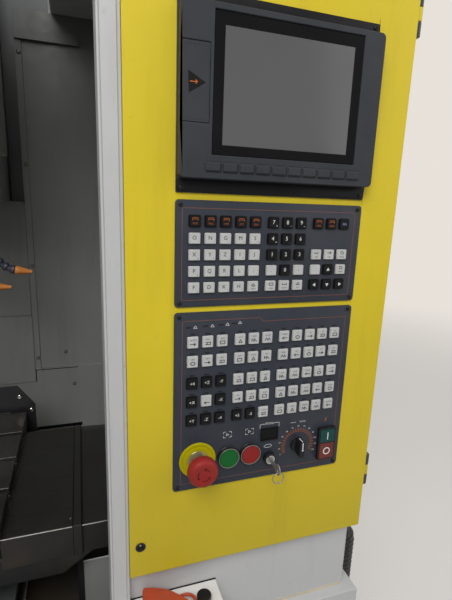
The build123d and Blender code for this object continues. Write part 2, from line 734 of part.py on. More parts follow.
cabinet_door.part.label = "cabinet_door"
export_step(cabinet_door.part, "parts/cabinet_door.step")

# Coolant tank beside the bed: lidded trough on skids with its pump
TANK_WIDTH = 450
TANK_SIDE_GAP = 57
TANK_X = (BASE_HALF_WIDTH - TANK_SIDE_GAP - TANK_WIDTH, BASE_HALF_WIDTH - TANK_SIDE_GAP)
TANK_Y = (250, 1250)
TANK_TOP_Z = 430
SKID_HEIGHT = 30
SKID_HALF_WIDTH = 20
TANK_MARGIN = 60
TANK_HATCH_Y = (330, 830)
PUMP_RADIUS = 60
PUMP_INSET_Y = 160
PUMP_FLANGE_RADIUS = 85
PUMP_FLANGE_HEIGHT = 12
PUMP_TOP_GAP = 10
with BuildPart() as coolant_tank:
    block(TANK_X, TANK_Y, (SKID_HEIGHT, TANK_TOP_Z))
    block(
        (TANK_X[0] + SHEET, TANK_X[1] - SHEET),
        (TANK_Y[0] + SHEET, TANK_Y[1] - SHEET),
        (SKID_HEIGHT + SHEET, TANK_TOP_Z - SHEET),
        mode=Mode.SUBTRACT,
    )
    block(
        (TANK_X[0] + TANK_MARGIN, TANK_X[1] - TANK_MARGIN),
        TANK_HATCH_Y,
        (TANK_TOP_Z - SHEET, TANK_TOP_Z),
        mode=Mode.SUBTRACT,
    )
    for skid_x in (TANK_X[0] + TANK_MARGIN, TANK_X[1] - TANK_MARGIN):
        block((skid_x - SKID_HALF_WIDTH, skid_x + SKID_HALF_WIDTH), TANK_Y, (0, SKID_HEIGHT))
    pump_x = sum(TANK_X) / 2
    pump_y = TANK_Y[1] - PUMP_INSET_Y
    flange_top_z = TANK_TOP_Z + PUMP_FLANGE_HEIGHT
    upright_rod(pump_x, pump_y, (TANK_TOP_Z, flange_top_z), PUMP_FLANGE_RADIUS)
    upright_rod(pump_x, pump_y, (flange_top_z, TRAY_Z - PUMP_TOP_GAP), PUMP_RADIUS)
coolant_tank.part.label = "coolant_tank"
export_step(coolant_tank.part, "parts/coolant_tank.step")

# Conduit: leaves the right side, turns down and ends in the junction box on the base
CONDUIT_BEND = 44
conduit_start_x = SHELL_HALF_WIDTH
with BuildPart() as cable_conduit:
    with BuildLine(front(CONDUIT_Y)) as conduit_path:
        conduit_route = FilletPolyline(
            (conduit_start_x, CONDUIT_EXIT_Z),
            (CONDUIT_DROP_X, CONDUIT_EXIT_Z),
            (CONDUIT_DROP_X, CONDUIT_END_Z),
            radius=CONDUIT_BEND,
        )
    with BuildSketch(side(conduit_start_x)) as conduit_section:
        with Locations((CONDUIT_Y, CONDUIT_EXIT_Z)):
            Circle(CONDUIT_RADIUS)
    sweep(conduit_section.sketch, path=conduit_path.wire())
cable_conduit.part.label = "cable_conduit"
export_step(cable_conduit.part, "parts/cable_conduit.step")

# Front tray: folded shelf under the control door, with its clamping knob
SHELF_X = (366, 530)
SHELF_Z = 771
SHELF_SHEET = 2.5
SHELF_BACK_HEIGHT = 30
SHELF_LIP = 8
KNOB_X = 495
KNOB_Y = -24
KNOB_RADIUS = 13
KNOB_HEIGHT = 16
with BuildPart() as front_tray:
    block(SHELF_X, (TRAY_REACH_Y, SHELL_FRONT_Y), (SHELF_Z - SHELF_SHEET, SHELF_Z))
    block(
        SHELF_X,
        (SHELL_FRONT_Y - SHELF_SHEET, SHELL_FRONT_Y),
        (SHELF_Z - SHELF_BACK_HEIGHT, SHELF_Z),
    )
    block(
        SHELF_X,
        (TRAY_REACH_Y, TRAY_REACH_Y + SHELF_SHEET),
        (SHELF_Z - SHELF_LIP - SHELF_SHEET, SHELF_Z),
    )
    upright_rod(KNOB_X, KNOB_Y, (SHELF_Z, SHELF_Z + KNOB_HEIGHT), KNOB_RADIUS)
front_tray.part.label = "front_tray"
export_step(front_tray.part, "parts/front_tray.step")

# Air gun lying on the tray: flat body, trigger loop and short nozzle
GUN_HEIGHT = 29
GUN_LOOP_CENTRE = (460, -26)
GUN_LOOP_OUTER = (20, 17)
GUN_LOOP_INNER = (14, 11)
GUN_LOOP_THICKNESS = 8
GUN_OUTLINE = [
    (385, 15),
    (431, -2),
    (468, -40),
    (478, -78),
    (456, -94),
    (438, -58),
    (408, -30),
    (384, -22),
]
with BuildPart() as air_gun:
    outline_along_z(GUN_OUTLINE, (SHELF_Z, SHELF_Z + GUN_HEIGHT))
    with BuildSketch(level(SHELF_Z + (GUN_HEIGHT - GUN_LOOP_THICKNESS) / 2)) as loop:
        with Locations(GUN_LOOP_CENTRE):
            Ellipse(*GUN_LOOP_OUTER)
            Ellipse(*GUN_LOOP_INNER, mode=Mode.SUBTRACT)
    extrude(loop.sketch, amount=GUN_LOOP_THICKNESS)
air_gun.part.label = "air_gun"
export_step(air_gun.part, "parts/air_gun.step")

# Sliding front door: two folded leaves that stand on the bottom rails, the front one glazed
WINDOW_GLASS = 6
WINDOW_REBATE = 8
HANDLE_X_INSET = 45
HANDLE_Z = (1180, 1480)
HANDLE_RADIUS = 11
HANDLE_STANDOFF = 38
HANDLE_POST_INSET = 30
HANDLE_POST_RADIUS = 9


def door_leaf(leaf_y, right_x):
    """Folded tray: a front sheet with returns all round, open at the back."""
    left_x = right_x - LEAF_WIDTH
    block((left_x, right_x), (leaf_y, leaf_y + LEAF_THICKNESS), (LEAF_RAIL_TOP_Z, LEAF_TOP_Z))
    block(
        (left_x + LEAF_SHEET, right_x - LEAF_SHEET),
        (leaf_y + LEAF_SHEET, leaf_y + LEAF_THICKNESS),
        (LEAF_RAIL_TOP_Z + LEAF_SHEET, LEAF_TOP_Z - LEAF_SHEET),
        mode=Mode.SUBTRACT,
    )


window_centre_x = LEAF_REST_RIGHT_X - LEAF_WIDTH / 2
window_half = WINDOW_WIDTH / 2
glass_y = FRONT_LEAF_Y + LEAF_SHEET
with BuildPart() as front_door_leaf:
    door_leaf(FRONT_LEAF_Y, LEAF_REST_RIGHT_X)
    block(
        (window_centre_x - window_half, window_centre_x + window_half),
        (FRONT_LEAF_Y, FRONT_LEAF_Y + LEAF_SHEET),
        (WINDOW_BOTTOM_Z, WINDOW_TOP_Z),
        mode=Mode.SUBTRACT,
    )
    handle_x = LEAF_REST_RIGHT_X - HANDLE_X_INSET
    handle_y = FRONT_LEAF_Y - HANDLE_STANDOFF
    for post_z in (HANDLE_Z[0] + HANDLE_POST_INSET, HANDLE_Z[1] - HANDLE_POST_INSET):
        deep_rod(handle_x, post_z, (handle_y, FRONT_LEAF_Y), HANDLE_POST_RADIUS)
    upright_rod(handle_x, handle_y, HANDLE_Z, HANDLE_RADIUS)
front_door_leaf.part.label = "front_door_leaf"
export_step(front_door_leaf.part, "parts/front_door_leaf.step")

with BuildPart() as front_door_window:
    block(
        (
            window_centre_x - window_half - WINDOW_REBATE,
            window_centre_x + window_half + WINDOW_REBATE,
        ),
        (glass_y, glass_y + WINDOW_GLASS),
        (WINDOW_BOTTOM_Z - WINDOW_REBATE, WINDOW_TOP_Z + WINDOW_REBATE),
    )
front_door_window.part.label = "front_door_window"
export_step(front_door_window.part, "parts/front_door_window.step")

with BuildPart() as rear_door_leaf:
    door_leaf(REAR_LEAF_Y, LEAF_REST_RIGHT_X)
rear_door_leaf.part.label = "rear_door_leaf"
export_step(rear_door_leaf.part, "parts/rear_door_leaf.step")

# Control door: folded yellow tray with cut-outs behind the screen and both keyboards
CUTOUT_INSET = 12
BODY_INSET = CUTOUT_INSET + 2
SCREEN_FLANGE = (-46, 228)
MDI_SPAN = (238, 406.6)
OPERATOR_SPAN = (415.5, 740.7)
HINGE_STANDOFF = 8
HINGE_X = DOOR_RIGHT_X + HINGE_STANDOFF
HINGE_Y = 13
HINGE_RADIUS = 7
HINGE_PIN_RADIUS = 3
HINGE_LENGTH = 68
HINGE_BOTTOMS_Z = (930, 1784)
HINGE_LEAF = 4
HINGE_LEAF_DEPTH = 44
HINGE_LEAF_GAP = 0.4
HINGE_KNUCKLE_OVERLAP = 2
LOCK_X = 382
LOCK_Z = 899
LOCK_RADIUS = 8
panel_x = (SCREEN_X + PANEL_LEFT, SCREEN_X + PANEL_RIGHT)


def panel_z(drop):
    """Height of a point that lies the given distance below the screen's top edge."""
    return SCREEN_Z - drop


def panel_cutout(span, inset, y_span, mode=Mode.SUBTRACT):
    """Straight block behind one panel plate, smaller than the plate all round."""
    block(
        (panel_x[0] + inset, panel_x[1] - inset),
        y_span,
        (panel_z(span[1]) + inset, panel_z(span[0]) - inset),
        mode=mode,
    )


with BuildPart() as control_door:
    block((DOOR_LEFT_X, DOOR_RIGHT_X), (0, DOOR_THICKNESS), (DOOR_BOTTOM_Z, DOOR_TOP_Z))
    block(
        (DOOR_LEFT_X + DOOR_SHEET, DOOR_RIGHT_X - DOOR_SHEET),
        (DOOR_SHEET, DOOR_THICKNESS),
        (DOOR_BOTTOM_Z + DOOR_SHEET, DOOR_TOP_Z - DOOR_SHEET),
        mode=Mode.SUBTRACT,
    )
    for span in (SCREEN_FLANGE, MDI_SPAN, OPERATOR_SPAN):
        panel_cutout(span, CUTOUT_INSET, (0, DOOR_SHEET))
    deep_rod(LOCK_X, LOCK_Z, (0, DOOR_SHEET), LOCK_RADIUS, mode=Mode.SUBTRACT)
    for bottom_z in HINGE_BOTTOMS_Z:
        third = HINGE_LENGTH / 3
        knuckle = (bottom_z + third + RUNNING_GAP, bottom_z + 2 * third - RUNNING_GAP)
        upright_rod(HINGE_X, HINGE_Y, knuckle, HINGE_RADIUS)
        block(
            (DOOR_RIGHT_X - DOOR_SHEET, HINGE_X),
            (HINGE_Y - HINGE_LEAF, HINGE_Y),
            knuckle,
        )
        upright_rod(
            HINGE_X,
            HINGE_Y,
            knuckle,
            HINGE_PIN_RADIUS + BORE_CLEARANCE / 4,
            mode=Mode.SUBTRACT,
        )
control_door.part.label = "control_door"
export_step(control_door.part, "parts/control_door.step")

# Door hinges: fixed halves on the side panel, each with its pin
with BuildPart() as door_hinges:
    for bottom_z in HINGE_BOTTOMS_Z:
        third = HINGE_LENGTH / 3
        hinge_span = (bottom_z, bottom_z + HINGE_LENGTH)
        side_leaf = (SHELL_HALF_WIDTH, SHELL_HALF_WIDTH + HINGE_LEAF)
        leaf_front_y = SHELL_FRONT_Y + HINGE_LEAF_GAP
        block(side_leaf, (leaf_front_y, SHELL_FRONT_Y + HINGE_LEAF_DEPTH), hinge_span)
        for start in (bottom_z, bottom_z + 2 * third):
            knuckle = (start, start + third)
            upright_rod(HINGE_X, HINGE_Y, knuckle, HINGE_RADIUS)
            block(
                (HINGE_X - HINGE_KNUCKLE_OVERLAP, HINGE_X + HINGE_RADIUS),
                (HINGE_Y, SHELL_FRONT_Y + HINGE_LEAF),
                knuckle,
            )
            block(
                (SHELL_HALF_WIDTH, HINGE_X + HINGE_RADIUS),
                (leaf_front_y, SHELL_FRONT_Y + HINGE_LEAF),
                knuckle,
            )
        upright_rod(HINGE_X, HINGE_Y, hinge_span, HINGE_PIN_RADIUS)
door_hinges.part.label = "door_hinges"
export_step(door_hinges.part, "parts/door_hinges.step")

# Screen frame: flange, bezel with its glass pocket and port pocket, and the row of soft keys
BEZEL_PROUD = 22
BEZEL_SPAN = (-27, 207)
BEZEL_X = (-64, 265)
BEZEL_FILLET = 8
GLASS_X = (-16, 227)
GLASS_SPAN = (-18, 173)
GLASS_THICKNESS = 4
GLASS_RECESS = 2
GLASS_GAP = 0.3
SCREEN_BODY_DEPTH = 60
SOFT_KEY_COUNT = 10
SOFT_KEY_PITCH = 26.6
SOFT_KEY_FIRST_X = -13.6
SOFT_KEY_DROP = 190
SOFT_KEY_SIZE = (23, 13)
SOFT_KEY_HEIGHT = 3
PORT_X = (-63, -21)
PORT_SPAN = (25, 130.5)
PORT_DEPTH = 10
PORT_DOOR_THICKNESS = 4
PORT_DOOR_GAP = 0.6


def panel_block(x_span, drop_span, y_span, mode=Mode.ADD):
    """Straight block given from the screen's top left corner, right and down."""
    block(
        (SCREEN_X + x_span[0], SCREEN_X + x_span[1]),
        y_span,
        (panel_z(drop_span[1]), panel_z(drop_span[0])),
        mode=mode,
    )


def key_grid(columns, drops, size, base_y, height):
    """Raised key caps, tapered a little towards their tops."""
    for drop in drops:
        for column_x in columns:
            with BuildSketch(front(base_y)) as cap:
                with Locations((SCREEN_X + column_x, panel_z(drop))):
                    Rectangle(*size)
            extrude(cap.sketch, amount=height, taper=KEY_TAPER)


KEY_TAPER = 14
with BuildPart() as screen_frame:
    panel_block((PANEL_LEFT, PANEL_RIGHT), SCREEN_FLANGE, (-PANEL_THICKNESS, 0))
    with BuildSketch(front(-PANEL_THICKNESS)) as bezel:
        with Locations((SCREEN_X + sum(BEZEL_X) / 2, panel_z(sum(BEZEL_SPAN) / 2))):
            RectangleRounded(BEZEL_X[1] - BEZEL_X[0], BEZEL_SPAN[1] - BEZEL_SPAN[0], BEZEL_FILLET)
    extrude(bezel.sketch, amount=BEZEL_PROUD - PANEL_THICKNESS)
    panel_cutout(SCREEN_FLANGE, BODY_INSET, (0, SCREEN_BODY_DEPTH), mode=Mode.ADD)
    glass_back_y = -BEZEL_PROUD + GLASS_RECESS + GLASS_THICKNESS
    panel_block(GLASS_X, GLASS_SPAN, (-BEZEL_PROUD, glass_back_y), mode=Mode.SUBTRACT)
    panel_block(PORT_X, PORT_SPAN, (-BEZEL_PROUD, -BEZEL_PROUD + PORT_DEPTH), mode=Mode.SUBTRACT)
    soft_columns = [SOFT_KEY_FIRST_X + SOFT_KEY_PITCH * index for index in range(SOFT_KEY_COUNT)]
    key_grid(soft_columns, [SOFT_KEY_DROP], SOFT_KEY_SIZE, -BEZEL_PROUD, SOFT_KEY_HEIGHT)
screen_frame.part.label = "screen_frame"
export_step(screen_frame.part, "parts/screen_frame.step")

with BuildPart() as screen_glass:
    panel_block(
        (GLASS_X[0] + GLASS_GAP, GLASS_X[1] - GLASS_GAP),
        (GLASS_SPAN[0] + GLASS_GAP, GLASS_SPAN[1] - GLASS_GAP),
        (glass_back_y - GLASS_THICKNESS, glass_back_y),
    )
screen_glass.part.label = "screen_glass"
export_step(screen_glass.part, "parts/screen_glass.step")

# Port door: hinged flap at the left of the screen with a triangular finger recess
PORT_RECESS = ((-53.3, 63.5), (-27.3, 77.3), (-51.7, 92.8))
PORT_RECESS_DEPTH = 1.5
PORT_DOOR_SUNK = 0.5
port_door_y = -BEZEL_PROUD + PORT_DOOR_SUNK
port_hinge_x = PORT_X[0] + PORT_DOOR_GAP + PORT_DOOR_THICKNESS / 2
port_door_span = (PORT_SPAN[0] + PORT_DOOR_GAP, PORT_SPAN[1] - PORT_DOOR_GAP)
with BuildPart() as usb_door:
    panel_block(
        (port_hinge_x, PORT_X[1] - PORT_DOOR_GAP),
        port_door_span,
        (port_door_y, port_door_y + PORT_DOOR_THICKNESS),
    )
    upright_rod(
        SCREEN_X + port_hinge_x,
        port_door_y + PORT_DOOR_THICKNESS / 2,
        (panel_z(port_door_span[1]), panel_z(port_door_span[0])),
        PORT_DOOR_THICKNESS / 2,
    )
    recess = [(SCREEN_X + x, panel_z(drop)) for x, drop in PORT_RECESS]
    outline_along_y(recess, (port_door_y, port_door_y + PORT_RECESS_DEPTH), mode=Mode.SUBTRACT)
usb_door.part.label = "usb_door"
export_step(usb_door.part, "parts/usb_door.step")

# Typing keyboard: plate, shallow body behind the door and five rows of keys
MDI_COLUMNS = (-35, -9.6, 15.6, 40.8, 66, 97.8, 123, 148.4, 180.8, 205.8, 231)
MDI_ROWS = (270, 296.4, 322.4, 348.6, 374.8)
MDI_RIGHT_BLOCK = 3
MDI_KEY_SIZE = (19, 17.6)
MDI_KEY_HEIGHT = 4
MDI_BODY_DEPTH = 25
with BuildPart() as mdi_keyboard:
    panel_block((PANEL_LEFT, PANEL_RIGHT), MDI_SPAN, (-PANEL_THICKNESS, 0))
    panel_cutout(MDI_SPAN, BODY_INSET, (0, MDI_BODY_DEPTH), mode=Mode.ADD)
    bare_row = MDI_ROWS[1]
    full_rows = [drop for drop in MDI_ROWS if drop != bare_row]
    key_grid(MDI_COLUMNS, full_rows, MDI_KEY_SIZE, -PANEL_THICKNESS, MDI_KEY_HEIGHT)
    left_columns = MDI_COLUMNS[:-MDI_RIGHT_BLOCK]
    key_grid(left_columns, [bare_row], MDI_KEY_SIZE, -PANEL_THICKNESS, MDI_KEY_HEIGHT)
mdi_keyboard.part.label = "mdi_keyboard"
export_step(mdi_keyboard.part, "parts/mdi_keyboard.step")

# Operator keyboard: plate, body, five rows of keys and the seats of the controls below them
OPERATOR_COLUMNS = (-34.6, -9.2, 16, 47.9, 73.1, 98.2, 130.3, 155.8, 181.2, 206.1, 231.9)
OPERATOR_ROWS = (466, 499.5, 538, 572, 606)
OPERATOR_KEY_SIZE = (19, 20)
OPERATOR_KEY_HEIGHT = 4
OPERATOR_BODY_DEPTH = 45
ESTOP_AT = (-22, 683.5)
START_AT = (35.3, 687)
STOP_AT = (77, 686.5)
KEY_SWITCH_AT = (115.5, 701.5)
FEED_KNOB_AT = (174, 684.5)
BUTTON_CAP_RADIUS = 17.5
BUTTON_BEZEL_RADIUS = 20
BUTTON_BEZEL_PROUD = 7
BUTTON_CAP_PROUD = 8
BUTTON_CAP_ROUND = 1.5
BUTTON_TRAVEL = 4
BUTTON_SEAT_DEPTH = 14
STEM_RADIUS = 8
STEM_CLEARANCE = 0.3


def seat_hole(place, radius, depth):
    """Blind round hole for one control, bored from the plate's front."""
    deep_rod(
        SCREEN_X + place[0],
        panel_z(place[1]),
        (-PANEL_THICKNESS, depth),
        radius,
        mode=Mode.SUBTRACT,
    )


def panel_rod(place, y_span, radius, mode=Mode.ADD):
    """Round rod along y at a place on the panel."""
    deep_rod(SCREEN_X + place[0], panel_z(place[1]), y_span, radius, mode=mode)


with BuildPart() as operator_keyboard:
    panel_block((PANEL_LEFT, PANEL_RIGHT), OPERATOR_SPAN, (-PANEL_THICKNESS, 0))
    panel_cutout(OPERATOR_SPAN, BODY_INSET, (0, OPERATOR_BODY_DEPTH), mode=Mode.ADD)
    key_grid(
        OPERATOR_COLUMNS,
        OPERATOR_ROWS,
        OPERATOR_KEY_SIZE,
        -PANEL_THICKNESS,
        OPERATOR_KEY_HEIGHT,
    )
    for place in (START_AT, STOP_AT):
        panel_rod(place, (-PANEL_THICKNESS - BUTTON_BEZEL_PROUD, -PANEL_THICKNESS), BUTTON_BEZEL_RADIUS)
        panel_rod(
            place,
            (-PANEL_THICKNESS - BUTTON_BEZEL_PROUD, BUTTON_SEAT_DEPTH),
            BUTTON_CAP_RADIUS + STEM_CLEARANCE,
            mode=Mode.SUBTRACT,
        )
    for place in (ESTOP_AT, KEY_SWITCH_AT, FEED_KNOB_AT):
        seat_hole(place, STEM_RADIUS + STEM_CLEARANCE, BUTTON_SEAT_DEPTH)
operator_keyboard.part.label = "operator_keyboard"
export_step(operator_keyboard.part, "parts/operator_keyboard.step")

# Emergency stop: yellow disc with a metal collar, and the red mushroom that is pushed into it
ESTOP_DISC_RADIUS = 33
ESTOP_DISC_THICKNESS = 3
ESTOP_COLLAR_RADIUS = 18.5
ESTOP_COLLAR_HEIGHT = 18
ESTOP_TRAVEL = 5
ESTOP_HEAD_RADIUS = 26
ESTOP_HEAD_HEIGHT = 21
ESTOP_HEAD_ROUND = 8
ESTOP_HEAD_BACK_ROUND = 2
ESTOP_COLLAR_CHAMFER = 1.5
ESTOP_STEM_END_GAP = 2
estop_disc_y = -PANEL_THICKNESS - ESTOP_DISC_THICKNESS
estop_collar_y = estop_disc_y - ESTOP_COLLAR_HEIGHT
estop_head_y = estop_collar_y - ESTOP_TRAVEL - 1
with BuildPart() as estop_base:
    panel_rod(ESTOP_AT, (estop_disc_y, -PANEL_THICKNESS), ESTOP_DISC_RADIUS)
    panel_rod(ESTOP_AT, (estop_collar_y, estop_disc_y), ESTOP_COLLAR_RADIUS)
    chamfer(estop_base.edges().group_by(Axis.Y)[0], ESTOP_COLLAR_CHAMFER)
    panel_rod(
        ESTOP_AT,
        (estop_collar_y, -PANEL_THICKNESS),
        STEM_RADIUS + STEM_CLEARANCE,
        mode=Mode.SUBTRACT,
    )
estop_base.part.label = "estop_base"
export_step(estop_base.part, "parts/estop_base.step")

with BuildPart() as estop_button:
    panel_rod(ESTOP_AT, (estop_head_y - ESTOP_HEAD_HEIGHT, estop_head_y), ESTOP_HEAD_RADIUS)
    fillet(estop_button.edges().group_by(Axis.Y)[0], ESTOP_HEAD_ROUND)
    fillet(estop_button.edges().group_by(Axis.Y)[-1], ESTOP_HEAD_BACK_ROUND)
    estop_stem_y = BUTTON_SEAT_DEPTH - ESTOP_TRAVEL - ESTOP_STEM_END_GAP
    panel_rod(ESTOP_AT, (estop_head_y, estop_stem_y), STEM_RADIUS)
estop_button.part.label = "estop_button"
export_step(estop_button.part, "parts/estop_button.step")

# Start and stop buttons: plain round caps in their bezels
cap_front_y = -PANEL_THICKNESS - BUTTON_CAP_PROUD
cap_back_y = BUTTON_SEAT_DEPTH - BUTTON_TRAVEL - 1
with BuildPart() as start_button:
    panel_rod(START_AT, (cap_front_y, cap_back_y), BUTTON_CAP_RADIUS)
    fillet(start_button.edges().group_by(Axis.Y)[0], BUTTON_CAP_ROUND)
start_button.part.label = "start_button"
export_step(start_button.part, "parts/start_button.step")

with BuildPart() as stop_button:
    panel_rod(STOP_AT, (cap_front_y, cap_back_y), BUTTON_CAP_RADIUS)
    fillet(stop_button.edges().group_by(Axis.Y)[0], BUTTON_CAP_ROUND)
stop_button.part.label = "stop_button"
export_step(stop_button.part, "parts/stop_button.step")

# Key switch: round body with a bore, and the turning plug with its key and a ring
SWITCH_RADIUS = 12
SWITCH_PROUD = 10
SWITCH_CHAMFER = 1.5
PLUG_RADIUS = 6
PLUG_CLEARANCE = 0.2
PLUG_DEPTH = 14
KEY_BLADE = (2, 8)
KEY_BOW_RADIUS = 10
KEY_BOW_STANDOFF = 21
KEY_HOLE_RADIUS = 4
KEY_HOLE_EDGE = 2
KEY_RING_RADIUS = 10.5
KEY_RING_WIRE = 1
switch_front_y = -PANEL_THICKNESS - SWITCH_PROUD
switch_x = SCREEN_X + KEY_SWITCH_AT[0]
switch_z = panel_z(KEY_SWITCH_AT[1])
with BuildPart() as key_switch:
    panel_rod(KEY_SWITCH_AT, (switch_front_y, -PANEL_THICKNESS), SWITCH_RADIUS)
    chamfer(key_switch.edges().group_by(Axis.Y)[0], SWITCH_CHAMFER)
    panel_rod(KEY_SWITCH_AT, (-PANEL_THICKNESS, BUTTON_SEAT_DEPTH), STEM_RADIUS)
    panel_rod(
        KEY_SWITCH_AT,
        (switch_front_y, switch_front_y + PLUG_DEPTH),
        PLUG_RADIUS + PLUG_CLEARANCE,
        mode=Mode.SUBTRACT,
    )
key_switch.part.label = "key_switch"
export_step(key_switch.part, "parts/key_switch.step")

bow_y = switch_front_y - KEY_BOW_STANDOFF - KEY_BOW_RADIUS
with BuildPart() as key:
    with BuildSketch(front(bow_y)) as blade:
        with Locations((switch_x, switch_z)):
            Rectangle(*KEY_BLADE)
    extrude(blade.sketch, amount=bow_y - switch_front_y)
    plug_y = (switch_front_y - PLUG_CLEARANCE, switch_front_y + PLUG_DEPTH - PLUG_CLEARANCE)
    panel_rod(KEY_SWITCH_AT, plug_y, PLUG_RADIUS)
    half_thickness = KEY_BLADE[0] / 2
    cross_rod(bow_y, switch_z, (switch_x - half_thickness, switch_x + half_thickness), KEY_BOW_RADIUS)
    hole_y = bow_y - KEY_BOW_RADIUS + KEY_HOLE_EDGE + KEY_HOLE_RADIUS
    cross_rod(
        hole_y,
        switch_z,
        (switch_x - half_thickness, switch_x + half_thickness),
        KEY_HOLE_RADIUS,
        mode=Mode.SUBTRACT,
    )
    ring_centre_z = switch_z - KEY_HOLE_RADIUS - KEY_RING_RADIUS
    ring_plane = Plane(front(hole_y).from_local_coords((switch_x, ring_centre_z, 0)), z_dir=(0, 1, 0))
    with Locations(ring_plane):
        Torus(KEY_RING_RADIUS, KEY_RING_WIRE)
key.part.label = "key"
export_step(key.part, "parts/key.step")

# Feed override knob: fluted skirt, an upright grip bar with a pointer line, a stem in the plate
KNOB_SKIRT_RADIUS = 14.5
KNOB_SKIRT_HEIGHT = 5
KNOB_FLUTES = 24
KNOB_FLUTE_RADIUS = 1
KNOB_GRIP_SIZE = (12, 33)
KNOB_GRIP_HEIGHT = 17
KNOB_GRIP_ROUND = 5.5
KNOB_GRIP_CHAMFER = 1.5
POINTER_SIZE = (1.6, 14)
POINTER_HEIGHT = 0.5
KNOB_STEM_END_GAP = 3
knob_back_y = -PANEL_THICKNESS - RUNNING_GAP
knob_skirt_y = knob_back_y - KNOB_SKIRT_HEIGHT
knob_front_y = knob_skirt_y - KNOB_GRIP_HEIGHT
knob_place = (SCREEN_X + FEED_KNOB_AT[0], panel_z(FEED_KNOB_AT[1]))
with BuildPart() as feed_knob:
    panel_rod(FEED_KNOB_AT, (knob_skirt_y, knob_back_y), KNOB_SKIRT_RADIUS)
    with BuildSketch(front(knob_skirt_y)) as flutes:
        with Locations(knob_place):
            with PolarLocations(KNOB_SKIRT_RADIUS + KNOB_FLUTE_RADIUS / 2, KNOB_FLUTES):
                Circle(KNOB_FLUTE_RADIUS)
    extrude(flutes.sketch, amount=-KNOB_SKIRT_HEIGHT, mode=Mode.SUBTRACT)
    with BuildSketch(front(knob_front_y)) as grip:
        with Locations(knob_place):
            RectangleRounded(*KNOB_GRIP_SIZE, KNOB_GRIP_ROUND)
    extrude(grip.sketch, amount=-KNOB_GRIP_HEIGHT)
    chamfer(feed_knob.edges().group_by(Axis.Y)[0], KNOB_GRIP_CHAMFER)
    pointer_top = KNOB_GRIP_SIZE[1] / 2 - KNOB_GRIP_CHAMFER
    with BuildSketch(front(knob_front_y)) as pointer:
        with Locations((knob_place[0], knob_place[1] + pointer_top - POINTER_SIZE[1] / 2)):
            Rectangle(*POINTER_SIZE)
    extrude(pointer.sketch, amount=POINTER_HEIGHT)
    panel_rod(FEED_KNOB_AT, (knob_back_y, BUTTON_SEAT_DEPTH - KNOB_STEM_END_GAP), STEM_RADIUS)
feed_knob.part.label = "feed_knob"
export_step(feed_knob.part, "parts/feed_knob.step")

# Power switch: black block with two pockets and the two keys in them
POWER_X = (216.5, 253)
POWER_SPAN = (655, 722)
POWER_PROUD = 7
POWER_ROUND = 2
POWER_KEY_X = (219, 250.5)
POWER_ON_SPAN = (658.5, 685)
POWER_OFF_SPAN = (687, 719.5)
POWER_POCKET_DEPTH = 6
POWER_KEY_PROUD = 1.5
POWER_KEY_GAP = 0.4
POWER_KEY_TRAVEL = 3
POWER_KEY_CHAMFER = 0.8
power_front_y = -PANEL_THICKNESS - POWER_PROUD
power_pocket_y = power_front_y + POWER_POCKET_DEPTH
with BuildPart() as power_block:
    panel_block(POWER_X, POWER_SPAN, (power_front_y, -PANEL_THICKNESS))
    fillet(power_block.edges().filter_by(Axis.Y), POWER_ROUND)
    for span in (POWER_ON_SPAN, POWER_OFF_SPAN):
        panel_block(POWER_KEY_X, span, (power_front_y, power_pocket_y), mode=Mode.SUBTRACT)
power_block.part.label = "power_block"
export_step(power_block.part, "parts/power_block.step")


def power_key(span):
    """One rectangular key cap that stands clear of its pocket all round."""
    panel_block(
        (POWER_KEY_X[0] + POWER_KEY_GAP, POWER_KEY_X[1] - POWER_KEY_GAP),
        (span[0] + POWER_KEY_GAP, span[1] - POWER_KEY_GAP),
        (power_front_y - POWER_KEY_PROUD, power_pocket_y - POWER_KEY_TRAVEL - RUNNING_GAP),
    )


with BuildPart() as power_on_key:
    power_key(POWER_ON_SPAN)
    chamfer(power_on_key.edges().group_by(Axis.Y)[0], POWER_KEY_CHAMFER)
power_on_key.part.label = "power_on_key"
export_step(power_on_key.part, "parts/power_on_key.step")

with BuildPart() as power_off_key:
    power_key(POWER_OFF_SPAN)
    chamfer(power_off_key.edges().group_by(Axis.Y)[0], POWER_KEY_CHAMFER)
power_off_key.part.label = "power_off_key"
export_step(power_off_key.part, "parts/power_off_key.step")

# Tool number display: flat dark window in a low frame
DISPLAY_X = (97, 131)
DISPLAY_SPAN = (641, 665)
DISPLAY_PROUD = 3
DISPLAY_RIM = 2.5
with BuildPart() as tool_display:
    panel_block(DISPLAY_X, DISPLAY_SPAN, (-PANEL_THICKNESS - DISPLAY_PROUD, -PANEL_THICKNESS))
    panel_block(
        (DISPLAY_X[0] + DISPLAY_RIM, DISPLAY_X[1] - DISPLAY_RIM),
        (DISPLAY_SPAN[0] + DISPLAY_RIM, DISPLAY_SPAN[1] - DISPLAY_RIM),
        (-PANEL_THICKNESS - DISPLAY_PROUD, -PANEL_THICKNESS - DISPLAY_PROUD + 1),
        mode=Mode.SUBTRACT,
    )
tool_display.part.label = "tool_display"
export_step(tool_display.part, "parts/tool_display.step")

